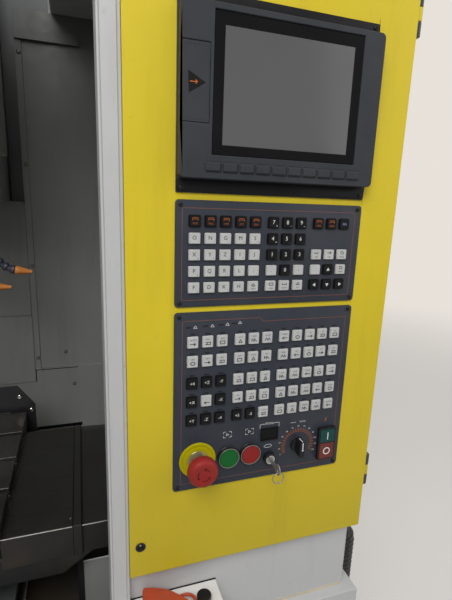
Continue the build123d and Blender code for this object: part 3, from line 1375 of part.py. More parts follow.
# Panel screws: pan heads at the corners of the three plates
SCREW_INSET = 8
SCREW_DROP_INSET = 7
SCREW_HEAD_RADIUS = 3.5
SCREW_HEAD_HEIGHT = 2.2
SCREW_HEAD_CHAMFER = 0.9
with BuildPart() as panel_screws:
    for span in (SCREEN_FLANGE, MDI_SPAN, OPERATOR_SPAN):
        for drop in (span[0] + SCREW_DROP_INSET, span[1] - SCREW_DROP_INSET):
            for screw_x in (PANEL_LEFT + SCREW_INSET, PANEL_RIGHT - SCREW_INSET):
                panel_rod(
                    (screw_x, drop),
                    (-PANEL_THICKNESS - SCREW_HEAD_HEIGHT, -PANEL_THICKNESS),
                    SCREW_HEAD_RADIUS,
                )
    chamfer(panel_screws.edges().group_by(Axis.Y)[0], SCREW_HEAD_CHAMFER)
panel_screws.part.label = "panel_screws"
export_step(panel_screws.part, "parts/panel_screws.step")

# Saddle: stepped casting on the Y ways, with wings, end plates and the Y screw's nut
SADDLE_GIB_X = 138.5
SADDLE_GIB_BOTTOM_Z = 612
WING_BEAMS_Y = ((200, 280), (530, 610))
WING_BOTTOM_Z = 772
CHANNEL_Y = (330, 480)
CHANNEL_BOTTOM_Z = 743
END_PLATE_Y = (165, 650)
END_PLATE_Z = (752, 838)
NUT_HALF_WIDTH = 40
NUT_LENGTH = 60
Y_NUT_OFFSET = 80
Y_NUT_DROP = 30
BEAM_OVERLAP = 20
TABLE_BODY_HEIGHT = 36
X_SCREW_RADIUS = 12.5
table_bottom_z = TABLE_TOP_Z - TABLE_SLAB - TABLE_BODY_HEIGHT
saddle_top_z = table_bottom_z - RUNNING_GAP
saddle_foot_z = WAY_TOP_Z + RUNNING_GAP
with BuildPart() as saddle:
    outline_along_y(
        [
            (-SADDLE_TAPER_HALF_WIDTH, saddle_top_z),
            (SADDLE_TAPER_HALF_WIDTH, saddle_top_z),
            (SADDLE_TAPER_HALF_WIDTH, SADDLE_WING_Z),
            (SADDLE_BODY_HALF_WIDTH, SADDLE_UNDERSIDE_Z),
            (-SADDLE_BODY_HALF_WIDTH, SADDLE_UNDERSIDE_Z),
            (-SADDLE_TAPER_HALF_WIDTH, SADDLE_WING_Z),
        ],
        (SADDLE_FRONT_Y, SADDLE_REAR_Y),
    )
    foot_y = (SADDLE_FOOT_FRONT_Y, SADDLE_FOOT_REAR_Y)
    block((-SADDLE_FOOT_HALF_WIDTH, SADDLE_FOOT_HALF_WIDTH), foot_y, (saddle_foot_z, SADDLE_UNDERSIDE_Z))
    for sign in (-1, 1):
        gib = sorted((sign * SADDLE_GIB_X, sign * SADDLE_FOOT_HALF_WIDTH))
        block(gib, foot_y, (SADDLE_GIB_BOTTOM_Z, saddle_foot_z))
        for beam_y in WING_BEAMS_Y:
            beam = sorted((sign * (SADDLE_TAPER_HALF_WIDTH - BEAM_OVERLAP), sign * COVER_END_X))
            block(beam, beam_y, (WING_BOTTOM_Z, saddle_top_z))
        plate = sorted((sign * COVER_END_X, sign * (COVER_END_X + END_PLATE_THICKNESS)))
        block(plate, END_PLATE_Y, END_PLATE_Z)
    nut_y = (SPINDLE_Y - Y_NUT_OFFSET, SPINDLE_Y - Y_NUT_OFFSET + NUT_LENGTH)
    block((-NUT_HALF_WIDTH, NUT_HALF_WIDTH), nut_y, (Y_SCREW_Z - Y_NUT_DROP, saddle_foot_z))
    block(
        (-SADDLE_TAPER_HALF_WIDTH, SADDLE_TAPER_HALF_WIDTH),
        CHANNEL_Y,
        (CHANNEL_BOTTOM_Z, saddle_top_z),
        mode=Mode.SUBTRACT,
    )
    deep_rod(0, Y_SCREW_Z, nut_y, SCREW_RADIUS + BORE_CLEARANCE, mode=Mode.SUBTRACT)
    plate_reach = COVER_END_X + END_PLATE_THICKNESS
    cross_rod(
        TABLE_CENTRE_Y,
        X_SCREW_Z,
        (-plate_reach, plate_reach),
        X_SCREW_RADIUS + BORE_CLEARANCE,
        mode=Mode.SUBTRACT,
    )
saddle.part.label = "saddle"
export_step(saddle.part, "parts/saddle.step")

# Table: slab with three T-slots on a narrower way body, with the X screw's nut
TABLE_WAY_Y = (190, 620)
TABLE_NUT_BOTTOM_Z = 747
table_left_x = -(COVER_END_X - (COVER_COUNT - 1) * COVER_NESTED_STEP - COVER_LENGTH)
table_centre_x = (table_left_x + TABLE_RIGHT_X) / 2
table_x = (table_left_x, TABLE_RIGHT_X)
with BuildPart() as table:
    table_y = (TABLE_CENTRE_Y - TABLE_HALF_DEPTH, TABLE_CENTRE_Y + TABLE_HALF_DEPTH)
    block(table_x, table_y, (TABLE_TOP_Z - TABLE_SLAB, TABLE_TOP_Z))
    block(table_x, TABLE_WAY_Y, (table_bottom_z, TABLE_TOP_Z - TABLE_SLAB))
    table_nut_x = (table_centre_x - NUT_HALF_WIDTH, table_centre_x + NUT_HALF_WIDTH)
    block(
        table_nut_x,
        (TABLE_CENTRE_Y - NUT_HALF_WIDTH, TABLE_CENTRE_Y + NUT_HALF_WIDTH),
        (TABLE_NUT_BOTTOM_Z, table_bottom_z),
    )
    cross_rod(
        TABLE_CENTRE_Y,
        X_SCREW_Z,
        table_nut_x,
        X_SCREW_RADIUS + BORE_CLEARANCE,
        mode=Mode.SUBTRACT,
    )
    for slot in (-1, 0, 1):
        slot_y = TABLE_CENTRE_Y + slot * T_SLOT_PITCH
        block(
            table_x,
            (slot_y - T_SLOT_WIDTH / 2, slot_y + T_SLOT_WIDTH / 2),
            (TABLE_TOP_Z - T_SLOT_DEPTH, TABLE_TOP_Z),
            mode=Mode.SUBTRACT,
        )
        block(
            table_x,
            (slot_y - T_SLOT_HEAD_WIDTH / 2, slot_y + T_SLOT_HEAD_WIDTH / 2),
            (TABLE_TOP_Z - T_SLOT_DEPTH, TABLE_TOP_Z - T_SLOT_DEPTH + T_SLOT_HEAD_HEIGHT),
            mode=Mode.SUBTRACT,
        )
table.part.label = "table"
export_step(table.part, "parts/table.step")

# Rear guard: black sheet with cut corners that stands behind the table on three brackets
GUARD_Y = 672
GUARD_SHEET = 4
GUARD_OVERHANG = 23
GUARD_Z = (760, 945)
GUARD_CHAMFER = (47, 65)
GUARD_BRACKET_Z = (846, 860)
GUARD_BRACKET_WIDTH = 40
GUARD_BOLTS = ((42, 910), (12, 864))
GUARD_BOLT_RADIUS = 6
GUARD_BOLT_HEIGHT = 5
guard_x = (table_left_x - GUARD_OVERHANG, TABLE_RIGHT_X + GUARD_OVERHANG)
with BuildPart() as rear_guard:
    outline_along_y(
        [
            (guard_x[0], GUARD_Z[0]),
            (guard_x[1], GUARD_Z[0]),
            (guard_x[1], GUARD_Z[1] - GUARD_CHAMFER[1]),
            (guard_x[1] - GUARD_CHAMFER[0], GUARD_Z[1]),
            (guard_x[0] + GUARD_CHAMFER[0], GUARD_Z[1]),
            (guard_x[0], GUARD_Z[1] - GUARD_CHAMFER[1]),
        ],
        (GUARD_Y, GUARD_Y + GUARD_SHEET),
    )
    for fraction in (0.1, 0.5, 0.9):
        bracket_x = table_left_x + fraction * (TABLE_RIGHT_X - table_left_x)
        block(
            (bracket_x - GUARD_BRACKET_WIDTH / 2, bracket_x + GUARD_BRACKET_WIDTH / 2),
            (table_y[1], GUARD_Y),
            GUARD_BRACKET_Z,
        )
    for inset, bolt_z in GUARD_BOLTS:
        for bolt_x in (guard_x[0] + inset, guard_x[1] - inset):
            deep_rod(bolt_x, bolt_z, (GUARD_Y - GUARD_BOLT_HEIGHT, GUARD_Y), GUARD_BOLT_RADIUS)
rear_guard.part.label = "rear_guard"
export_step(rear_guard.part, "parts/rear_guard.step")

# Telescopic way covers: four nested channels on each side of the table
COVER_SHOULDER_Z = 800
WIPER_LIP_LENGTH = 8
WIPER_LIP = COVER_NEST - COVER_SHEET - RUNNING_GAP


def cover_outline(nest, inset):
    """Closed y-z outline of one cover's section, moved inwards by the inset."""
    front_y = COVER_FRONT_Y + nest * COVER_NEST + inset
    rear_y = COVER_REAR_Y - nest * COVER_NEST - inset
    top_z = COVER_TOP_Z - nest * COVER_NEST - inset
    flat_end_y = COVER_FLAT_END_Y - nest * COVER_FLAT_STEP - inset / 2
    shoulder_z = COVER_SHOULDER_Z - nest * COVER_NEST - inset / 2
    return [
        (front_y, COVER_BOTTOM_Z),
        (front_y, top_z),
        (flat_end_y, top_z),
        (rear_y, shoulder_z),
        (rear_y, COVER_BOTTOM_Z),
    ]


def cover_segment(nest, near_x, direction):
    """One nested channel that reaches outwards from its table end."""
    far_x = near_x + direction * COVER_LENGTH
    lip_x = far_x - direction * WIPER_LIP_LENGTH
    span = sorted((near_x, far_x))
    outline_along_x(cover_outline(nest, 0), span)
    if nest == 0:
        strip = sorted((far_x - direction * WIPER_WIDTH, far_x))
        outline_along_x(cover_outline(nest, -WIPER_PROUD), strip)
    last = nest == COVER_COUNT - 1
    body = span if last else sorted((near_x, lip_x))
    outline_along_x(cover_outline(nest, COVER_SHEET), body, mode=Mode.SUBTRACT)
    if not last:
        lip = sorted((lip_x, far_x))
        outline_along_x(cover_outline(nest, COVER_SHEET + WIPER_LIP), lip, mode=Mode.SUBTRACT)


for nest in range(COVER_COUNT):
    with BuildPart() as right_cover:
        cover_segment(nest, TABLE_RIGHT_X + nest * COVER_VISIBLE, 1)
    right_cover.part.label = f"right_cover_{nest + 1}"
    export_step(right_cover.part, f"parts/right_cover_{nest + 1}.step")
    with BuildPart() as left_cover:
        cover_segment(nest, table_left_x - nest * COVER_NESTED_STEP, -1)
    left_cover.part.label = f"left_cover_{nest + 1}"
    export_step(left_cover.part, f"parts/left_cover_{nest + 1}.step")

# Spindle head: casting with its slide, spindle cartridge and the Z screw's nut
HEAD_SLOPE = 90
HEAD_ROUND = 22
CARTRIDGE_FLANGE_RADIUS = 105
CARTRIDGE_FLANGE_HEIGHT = 28
HEAD_GUSSET = 80
HEAD_GUSSET_INSET = 20
SHAFT_TOP_Z = 1745
SHAFT_CLEARANCE = 0.05
Z_NUT_Z = (1600, 1680)
Z_NUT_HALF_WIDTH = 30
Z_NUT_END_GAP = 0.5
slide_rear_y = Z_WAY_FRONT_Y - RUNNING_GAP
with BuildPart() as spindle_head:
    outline_along_x(
        [
            (HEAD_FRONT_Y, HEAD_BOTTOM_Z),
            (HEAD_FRONT_Y, HEAD_TOP_Z - HEAD_SLOPE),
            (HEAD_FRONT_Y + HEAD_SLOPE / 2, HEAD_TOP_Z),
            (SLIDE_FRONT_Y, HEAD_TOP_Z),
            (SLIDE_FRONT_Y, HEAD_BOTTOM_Z),
        ],
        (-HEAD_HALF_WIDTH, HEAD_HALF_WIDTH),
    )
    fillet(spindle_head.edges().filter_by(Axis.Z).group_by(Axis.Y)[0], HEAD_ROUND)
    block(
        (-SLIDE_HALF_WIDTH, SLIDE_HALF_WIDTH),
        (SLIDE_FRONT_Y, slide_rear_y),
        (SLIDE_BOTTOM_Z, HEAD_TOP_Z),
    )
    outline_along_x(
        [
            (SLIDE_FRONT_Y - HEAD_GUSSET, HEAD_BOTTOM_Z),
            (SLIDE_FRONT_Y, SLIDE_BOTTOM_Z + HEAD_GUSSET_INSET),
            (SLIDE_FRONT_Y, HEAD_BOTTOM_Z),
        ],
        (-SLIDE_HALF_WIDTH + HEAD_GUSSET_INSET, SLIDE_HALF_WIDTH - HEAD_GUSSET_INSET),
    )
    flange_z = (HEAD_BOTTOM_Z - CARTRIDGE_FLANGE_HEIGHT, HEAD_BOTTOM_Z)
    upright_rod(0, SPINDLE_Y, flange_z, CARTRIDGE_FLANGE_RADIUS)
    upright_rod(0, SPINDLE_Y, (CARTRIDGE_BOTTOM_Z, HEAD_BOTTOM_Z), CARTRIDGE_RADIUS)
    block((-Z_NUT_HALF_WIDTH, Z_NUT_HALF_WIDTH), (slide_rear_y, COLUMN_FRONT_Y - Z_NUT_END_GAP), Z_NUT_Z)
    upright_rod(0, Z_SCREW_Y, Z_NUT_Z, SCREW_RADIUS + BORE_CLEARANCE, mode=Mode.SUBTRACT)
    upright_rod(
        0,
        SPINDLE_Y,
        (CARTRIDGE_BOTTOM_Z, SHAFT_TOP_Z + 1),
        SHAFT_RADIUS + SHAFT_CLEARANCE,
        mode=Mode.SUBTRACT,
    )
spindle_head.part.label = "spindle_head"
export_step(spindle_head.part, "parts/spindle_head.step")

# Spindle: nose with its tool taper and two drive keys, on the shaft in the cartridge
DRIVE_KEY = (16, 15.9)
DRIVE_KEY_HEIGHT = 8
DRIVE_KEY_X = 34
DRAWBAR_RADIUS = 9
NOSE_CHAMFER = 3
with BuildPart() as spindle:
    upright_rod(0, SPINDLE_Y, (NOSE_BOTTOM_Z, CARTRIDGE_BOTTOM_Z - RUNNING_GAP), NOSE_RADIUS)
    chamfer(spindle.edges().group_by(Axis.Z)[0], NOSE_CHAMFER)
    upright_rod(0, SPINDLE_Y, (CARTRIDGE_BOTTOM_Z - RUNNING_GAP, SHAFT_TOP_Z), SHAFT_RADIUS)
    with BuildSketch(level(NOSE_BOTTOM_Z - DRIVE_KEY_HEIGHT)) as drive_keys:
        with Locations((-DRIVE_KEY_X, SPINDLE_Y), (DRIVE_KEY_X, SPINDLE_Y)):
            Rectangle(DRIVE_KEY[0], DRIVE_KEY[1])
    extrude(drive_keys.sketch, amount=DRIVE_KEY_HEIGHT)
    taper_top_radius = TAPER_MOUTH_RADIUS - TAPER_DEPTH * TAPER_PER_LENGTH / 2
    with BuildSketch(side(0)) as taper:
        with BuildLine():
            Polyline(
                (SPINDLE_Y, NOSE_BOTTOM_Z),
                (SPINDLE_Y + TAPER_MOUTH_RADIUS, NOSE_BOTTOM_Z),
                (SPINDLE_Y + taper_top_radius, NOSE_BOTTOM_Z + TAPER_DEPTH),
                (SPINDLE_Y, NOSE_BOTTOM_Z + TAPER_DEPTH),
                close=True,
            )
        make_face()
    spindle_axis = Axis((-CENTRE_X, SPINDLE_Y - CENTRE_Y, 0), (0, 0, 1))
    revolve(taper.sketch, axis=spindle_axis, mode=Mode.SUBTRACT)
    upright_rod(
        0,
        SPINDLE_Y,
        (NOSE_BOTTOM_Z + TAPER_DEPTH, SHAFT_TOP_Z),
        DRAWBAR_RADIUS,
        mode=Mode.SUBTRACT,
    )
spindle.part.label = "spindle"
export_step(spindle.part, "parts/spindle.step")

# Spindle motor on the head: ribbed square body with a round fan cowl
FAN_COWL_HEIGHT = 60
FAN_COWL_INSET = 4
FAN_COWL_CHAMFER = 12
MOTOR_CORNER_RADIUS = 18
MOTOR_RIB_PITCH = 20
MOTOR_RIB_DEPTH = 6
MOTOR_RIB_WIDTH = 8
with BuildPart() as spindle_motor:
    motor_top_z = HEAD_TOP_Z + SPINDLE_MOTOR_HEIGHT
    body_z = (HEAD_TOP_Z, motor_top_z - FAN_COWL_HEIGHT)
    with BuildSketch(level(body_z[0])) as motor_outline:
        with Locations((0, SPINDLE_Y)):
            RectangleRounded(SPINDLE_MOTOR_SIDE, SPINDLE_MOTOR_SIDE, MOTOR_CORNER_RADIUS)
            half_side = SPINDLE_MOTOR_SIDE / 2
            with GridLocations(SPINDLE_MOTOR_SIDE, MOTOR_RIB_PITCH, 2, 7):
                Rectangle(2 * MOTOR_RIB_DEPTH, MOTOR_RIB_WIDTH, mode=Mode.SUBTRACT)
    extrude(motor_outline.sketch, amount=body_z[1] - body_z[0])
    upright_rod(0, SPINDLE_Y, (body_z[1], motor_top_z), half_side - FAN_COWL_INSET)
    chamfer(spindle_motor.edges().group_by(Axis.Z)[-1], FAN_COWL_CHAMFER)
spindle_motor.part.label = "spindle_motor"
export_step(spindle_motor.part, "parts/spindle_motor.step")

# Coolant nozzles: ring round the cartridge with two jointed hoses and their tips
RING_OUTER_RADIUS = 92
RING_Z = (1404, 1428)
HOSE_RADIUS = 8
HOSE_LINK_RADIUS = 11
HOSE_LINK_LENGTH = 9
HOSE_LINKS = 7
NOZZLE_LENGTH = 34
NOZZLE_TIP_RADIUS = 4
HOSE_ROUTES = (
    ((89, 1414), (103, 1330), (153, 1323)),
    ((89, 1414), (70, 1284), (104, 1283)),
)
with BuildPart() as coolant_nozzles:
    with BuildSketch(level(RING_Z[0])) as ring:
        with Locations((0, SPINDLE_Y)):
            Circle(RING_OUTER_RADIUS)
            Circle(CARTRIDGE_RADIUS, mode=Mode.SUBTRACT)
    extrude(ring.sketch, amount=RING_Z[1] - RING_Z[0])
    for start, middle, end in HOSE_ROUTES:
        with BuildLine(front(SPINDLE_Y)) as hose_line:
            route = Bezier(start, middle, end)
        hose_path = hose_line.edge()
        with BuildSketch(Plane(origin=hose_path @ 0, z_dir=hose_path % 0)) as hose_section:
            Circle(HOSE_RADIUS)
        sweep(hose_section.sketch, path=hose_path)
        for link in range(HOSE_LINKS):
            at = (link + 0.6) / (HOSE_LINKS + 0.2)
            with BuildSketch(Plane(origin=hose_path @ at, z_dir=hose_path % at)) as link_section:
                Circle(HOSE_LINK_RADIUS)
            extrude(link_section.sketch, amount=HOSE_LINK_LENGTH / 2, both=True)
        tip_plane = Plane(origin=hose_path @ 1, z_dir=hose_path % 1)
        with BuildSketch(tip_plane) as nozzle_base:
            Circle(HOSE_LINK_RADIUS - 1)
        with BuildSketch(tip_plane.offset(NOZZLE_LENGTH)) as nozzle_tip:
            Circle(NOZZLE_TIP_RADIUS)
        loft([nozzle_base.sketch.face(), nozzle_tip.sketch.face()])
coolant_nozzles.part.label = "coolant_nozzles"
export_step(coolant_nozzles.part, "parts/coolant_nozzles.step")

# Z cover: folded plate under the slide that closes the wall's opening behind it
Z_COVER_HALF_WIDTH = HEAD_OPENING_HALF_WIDTH - 2
Z_COVER_Y = (954, 956)
Z_COVER_BOTTOM_Z = 1045
Z_COVER_FLANGE_Y = 900
Z_COVER_FLANGE = 4
with BuildPart() as z_cover:
    z_cover_x = (-Z_COVER_HALF_WIDTH, Z_COVER_HALF_WIDTH)
    block(z_cover_x, Z_COVER_Y, (Z_COVER_BOTTOM_Z, SLIDE_BOTTOM_Z))
    block(
        z_cover_x,
        (Z_COVER_FLANGE_Y, Z_COVER_Y[0]),
        (SLIDE_BOTTOM_Z - Z_COVER_FLANGE, SLIDE_BOTTOM_Z),
    )
z_cover.part.label = "z_cover"
export_step(z_cover.part, "parts/z_cover.step")

# Ball screws, one for each axis
SCREW_END_GAP = 2
with BuildPart() as x_screw:
    cross_rod(
        TABLE_CENTRE_Y,
        X_SCREW_Z,
        (-plate_reach + SCREW_END_GAP, plate_reach - SCREW_END_GAP),
        X_SCREW_RADIUS,
    )
x_screw.part.label = "x_screw"
export_step(x_screw.part, "parts/x_screw.step")

y_motor_y = BED_FRONT_Y - MOTOR_BRACKET_DEPTH
with BuildPart() as y_screw:
    deep_rod(
        0,
        Y_SCREW_Z,
        (y_motor_y + SCREW_END_GAP, Y_WAY_END_Y - SCREW_END_GAP),
        SCREW_RADIUS,
    )
y_screw.part.label = "y_screw"
export_step(y_screw.part, "parts/y_screw.step")

z_motor_z = COLUMN_TOP_Z + MOTOR_SEAT_THICKNESS
with BuildPart() as z_screw:
    upright_rod(0, Z_SCREW_Y, (Z_WAY_BOTTOM_Z + SCREW_END_GAP, z_motor_z - SCREW_END_GAP), SCREW_RADIUS)
z_screw.part.label = "z_screw"
export_step(z_screw.part, "parts/z_screw.step")

# Servo motors: rounded square body with a round encoder cap, one for each screw
ENCODER_CAP = 20
ENCODER_RADIUS = 46


def servo_motor(seat, place, direction):
    """Servo motor that stands on its seat plane and reaches away from it."""
    body_length = MOTOR_LENGTH - ENCODER_CAP
    with BuildSketch(seat) as body:
        with Locations(place):
            RectangleRounded(MOTOR_SIDE, MOTOR_SIDE, MOTOR_CORNER)
    extrude(body.sketch, amount=direction * body_length)
    with BuildSketch(seat.offset(direction * body_length)) as cap:
        with Locations(place):
            Circle(ENCODER_RADIUS)
    extrude(cap.sketch, amount=direction * ENCODER_CAP)


with BuildPart() as x_motor:
    servo_motor(side(-plate_reach), (TABLE_CENTRE_Y, X_SCREW_Z), -1)
x_motor.part.label = "x_motor"
export_step(x_motor.part, "parts/x_motor.step")

with BuildPart() as y_motor:
    servo_motor(front(y_motor_y), (0, Y_SCREW_Z), 1)
y_motor.part.label = "y_motor"
export_step(y_motor.part, "parts/y_motor.step")

with BuildPart() as z_motor:
    servo_motor(level(z_motor_z), (0, Z_SCREW_Y), 1)
z_motor.part.label = "z_motor"
export_step(z_motor.part, "parts/z_motor.step")
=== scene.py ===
"""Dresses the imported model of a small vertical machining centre.

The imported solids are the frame. This script gives each of them its finish, lays key caps,
legends, buttons, hoses and trim over them, and sets up floor, light and camera. Lengths are
millimetres in the machine's own coordinates (x right from the spindle's axis, y back from the
control door's face, z up from the floor) until a mesh is made, which is in metres in the
model's frame.
"""

from __future__ import annotations

import json
import logging
import math
from dataclasses import dataclass, field
from enum import Enum
from functools import reduce
from operator import add
from typing import Iterable, Sequence

import bmesh
import bpy
import numpy as np
from mathutils import Matrix, Vector

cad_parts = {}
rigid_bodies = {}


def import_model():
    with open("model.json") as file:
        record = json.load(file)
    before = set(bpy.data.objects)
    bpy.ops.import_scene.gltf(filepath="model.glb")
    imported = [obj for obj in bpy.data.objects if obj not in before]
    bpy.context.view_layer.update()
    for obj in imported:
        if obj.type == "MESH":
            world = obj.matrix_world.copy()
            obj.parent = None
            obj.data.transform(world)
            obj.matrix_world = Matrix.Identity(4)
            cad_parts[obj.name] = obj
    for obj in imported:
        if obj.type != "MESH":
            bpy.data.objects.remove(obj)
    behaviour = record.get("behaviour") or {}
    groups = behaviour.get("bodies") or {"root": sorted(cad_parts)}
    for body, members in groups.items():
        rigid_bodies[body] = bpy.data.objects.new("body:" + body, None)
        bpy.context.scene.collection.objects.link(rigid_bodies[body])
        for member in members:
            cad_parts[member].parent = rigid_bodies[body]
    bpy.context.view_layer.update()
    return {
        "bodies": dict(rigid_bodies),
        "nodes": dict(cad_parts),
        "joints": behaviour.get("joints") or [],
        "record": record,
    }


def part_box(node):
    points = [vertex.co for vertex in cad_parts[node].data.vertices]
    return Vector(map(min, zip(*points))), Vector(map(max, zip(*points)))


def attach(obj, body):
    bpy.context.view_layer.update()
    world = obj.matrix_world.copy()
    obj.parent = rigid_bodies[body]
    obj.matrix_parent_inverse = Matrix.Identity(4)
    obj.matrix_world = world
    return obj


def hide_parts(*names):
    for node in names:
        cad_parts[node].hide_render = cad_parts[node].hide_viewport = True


LOG = logging.getLogger("machining_centre")
MODEL_CENTRE = np.array([22.5, 841.0, 0.0])
MILLIMETRE = 0.001
SEED = 7
# Distance in metres at which a solid's points are one point, the angle up to which its
# triangles are one flat face, and the angle over which an edge is rounded.
WELD = 5e-6
FLAT_ANGLE = math.radians(0.6)
EDGE_ANGLE = math.radians(34)
# Thickness of a printed mark in millimetres.
PRINT_DEPTH = 0.08
# Least corner radius of an outline and least radius of a lathed form, in millimetres.
LEAST_CORNER = 0.05
LEAST_RADIUS = 0.02
Colour = tuple[float, float, float]


def in_model(points: np.ndarray) -> np.ndarray:
    """Machine millimetres as metres in the model's frame.

    Args:
        points: Array whose last axis holds x, y and z.

    Returns:
        The array (p - centre) / 1000, of the same shape.
    """
    return (np.asarray(points, dtype=float) - MODEL_CENTRE) * MILLIMETRE


def unit(vectors: np.ndarray) -> np.ndarray:
    """Vectors divided by their own lengths.

    Args:
        vectors: Array of shape (n, 3) or (3,).

    Returns:
        Array of the same shape, each vector one long.
    """
    return vectors / np.linalg.norm(vectors, axis=-1, keepdims=True)


@dataclass
class Surface:
    """A bare surface: points in machine millimetres, four-cornered faces and flat caps."""

    points: np.ndarray
    quads: np.ndarray
    caps: list[np.ndarray] = field(default_factory=list)

    @classmethod
    def grid(cls, points: np.ndarray, round_u: bool = False) -> Surface:
        """Surface over a grid of points p(u, v), with a face between each four neighbours.

        The last column always meets the first one.

        Args:
            points: Array of shape (rows, columns, 3).
            round_u: True where the last row meets the first one as well. Otherwise a flat face
                closes the first row and another one the last.

        Returns:
            The surface.
        """
        rows, columns, _ = points.shape
        index = np.arange(rows * columns).reshape(rows, columns)
        ends = [] if round_u else [index[0], index[-1]]
        index = np.concatenate([index, index[:, :1]], axis=1)
        if round_u:
            index = np.concatenate([index, index[:1]], axis=0)
        quads = np.stack([index[:-1, :-1], index[:-1, 1:], index[1:, 1:], index[1:, :-1]], axis=-1)
        return cls(points.reshape(-1, 3), quads.reshape(-1, 4), ends)

    def repeated(self, offsets: np.ndarray) -> Surface:
        """Copies of the surface, one moved by each offset: p + o for every pair.

        Args:
            offsets: Array of shape (copies, 3) in millimetres.

        Returns:
            One surface that holds all the copies.
        """
        offsets = np.asarray(offsets, dtype=float).reshape(-1, 3)
        count = len(self.points)
        shifts = np.arange(len(offsets)) * count
        points = (self.points[None, :, :] + offsets[:, None, :]).reshape(-1, 3)
        quads = (self.quads[None, :, :] + shifts[:, None, None]).reshape(-1, 4)
        caps = [cap + shift for shift in shifts for cap in self.caps]
        return Surface(points, quads, caps)

    def turned(self, angle: float, axis: Sequence[float], centre: Sequence[float]) -> Surface:
        """Copy turned about an axis through a centre: R (p - c) + c.

        Args:
            angle: Turn in degrees.
            axis: Direction of the axis.
            centre: A point on the axis.

        Returns:
            The turned surface.
        """
        matrix = np.array(Matrix.Rotation(math.radians(angle), 3, Vector(axis)))
        middle = np.asarray(centre, dtype=float)
        return Surface((self.points - middle) @ matrix.T + middle, self.quads, self.caps)

    def __add__(self, other: Surface) -> Surface:
        """Both surfaces as one."""
        shift = len(self.points)
        return Surface(
            np.vstack([self.points, other.points]),
            np.vstack([self.quads.reshape(-1, 4), other.quads.reshape(-1, 4) + shift]),
            self.caps + [cap + shift for cap in other.caps],
        )

    def to_object(self, name: str, smooth: float) -> bpy.types.Object:
        """Makes the Blender object, at the origin with its place in its mesh.

        Its faces are turned outwards.

        Args:
            name: The object's name.
            smooth: Edges sharper than this many degrees stay sharp.

        Returns:
            The new mesh object.
        """
        mesh = bpy.data.meshes.new(name)
        faces = self.quads.tolist() + [cap.tolist() for cap in self.caps]
        mesh.from_pydata(in_model(self.points).tolist(), [], faces)
        shell = bmesh.new()
        shell.from_mesh(mesh)
        bmesh.ops.recalc_face_normals(shell, faces=shell.faces)
        shell.to_mesh(mesh)
        shell.free()
        mesh.shade_smooth()
        mesh.set_sharp_from_angle(angle=math.radians(smooth))
        made = bpy.data.objects.new(name, mesh)
        bpy.context.scene.collection.objects.link(made)
        return made


def rounded_outline(width: float, height: float, radius: float, steps: int = 4) -> np.ndarray:
    """Outline of a rectangle with round corners: corner centre + radius (cos a, sin a).

    Args:
        width: Size along the first axis.
        height: Size along the second axis.
        radius: Radius of the corners.
        steps: Points less one on each corner.

    Returns:
        Array of shape (4 * (steps + 1), 2), anticlockwise.
    """
    radius = min(radius, width / 2 - 1e-3, height / 2 - 1e-3)
    angles = np.linspace(0, math.pi / 2, steps + 1)[None, :] + np.arange(4)[:, None] * math.pi / 2
    sign = np.array([[1, 1], [-1, 1], [-1, -1], [1, -1]], dtype=float)
    centres = sign * np.array([width / 2 - radius, height / 2 - radius])
    arcs = np.stack([np.cos(angles), np.sin(angles)], axis=-1) * radius
    return (centres[:, None, :] + arcs).reshape(-1, 2)


def facing(outline: np.ndarray, centre: Sequence[float], y: float) -> np.ndarray:
    """The points of an outline in x and z, round a centre and at depth y."""
    return np.column_stack([centre[0] + outline[:, 0], np.full(len(outline), y), centre[1] + outline[:, 1]])


def front_block(
    centre: tuple[float, float],
    size: tuple[float, float],
    corner: float,
    profile: Sequence[tuple[float, float]],
    steps: int = 4,
) -> Surface:
    """Rounded block that faces the operator: rings of a rounded rectangle, ring by ring.

    Each ring is the outline shrunk by its inset, at its own depth y.

    Args:
        centre: x and z of the middle.
        size: Width and height before the inset.
        corner: Corner radius before the inset.
        profile: Pairs of inset and y, from back to front.
        steps: Points less one on each corner.

    Returns:
        The closed surface.
    """
    rings = []
    for inset, y in profile:
        corner_now = max(corner - inset, LEAST_CORNER)
        outline = rounded_outline(size[0] - 2 * inset, size[1] - 2 * inset, corner_now, steps)
        rings.append(facing(outline, centre, y))
    return Surface.grid(np.stack(rings))


def lathe(
    profile: Sequence[tuple[float, float]],
    origin: Sequence[float],
    axis: Sequence[float],
    segments: int = 40,
) -> Surface:
    """Surface of revolution: origin + h axis + r (cos a first + sin a second).

    A profile that ends at its first point makes a ring with an open middle.

    Args:
        profile: Pairs of radius r and height h along the axis.
        origin: Point where h is zero.
        axis: Direction of the axis.
        segments: Points around.

    Returns:
        The closed surface.
    """
    shape = np.asarray(profile, dtype=float)
    along = unit(np.asarray(axis, dtype=float))
    helper = np.array([0.0, 0.0, 1.0]) if abs(along[2]) < 0.9 else np.array([1.0, 0.0, 0.0])
    first = unit(np.cross(helper, along))
    second = np.cross(along, first)
    angles = np.linspace(0, 2 * math.pi, segments, endpoint=False)
    around = np.cos(angles)[:, None] * first + np.sin(angles)[:, None] * second
    radii = np.maximum(shape[:, 0], LEAST_RADIUS)
    points = (
        np.asarray(origin, dtype=float)
        + shape[:, 1][:, None, None] * along
        + radii[:, None, None] * around[None, :, :]
    )
    if np.array_equal(shape[0], shape[-1]):
        return Surface.grid(points[:-1], round_u=True)
    return Surface.grid(points)


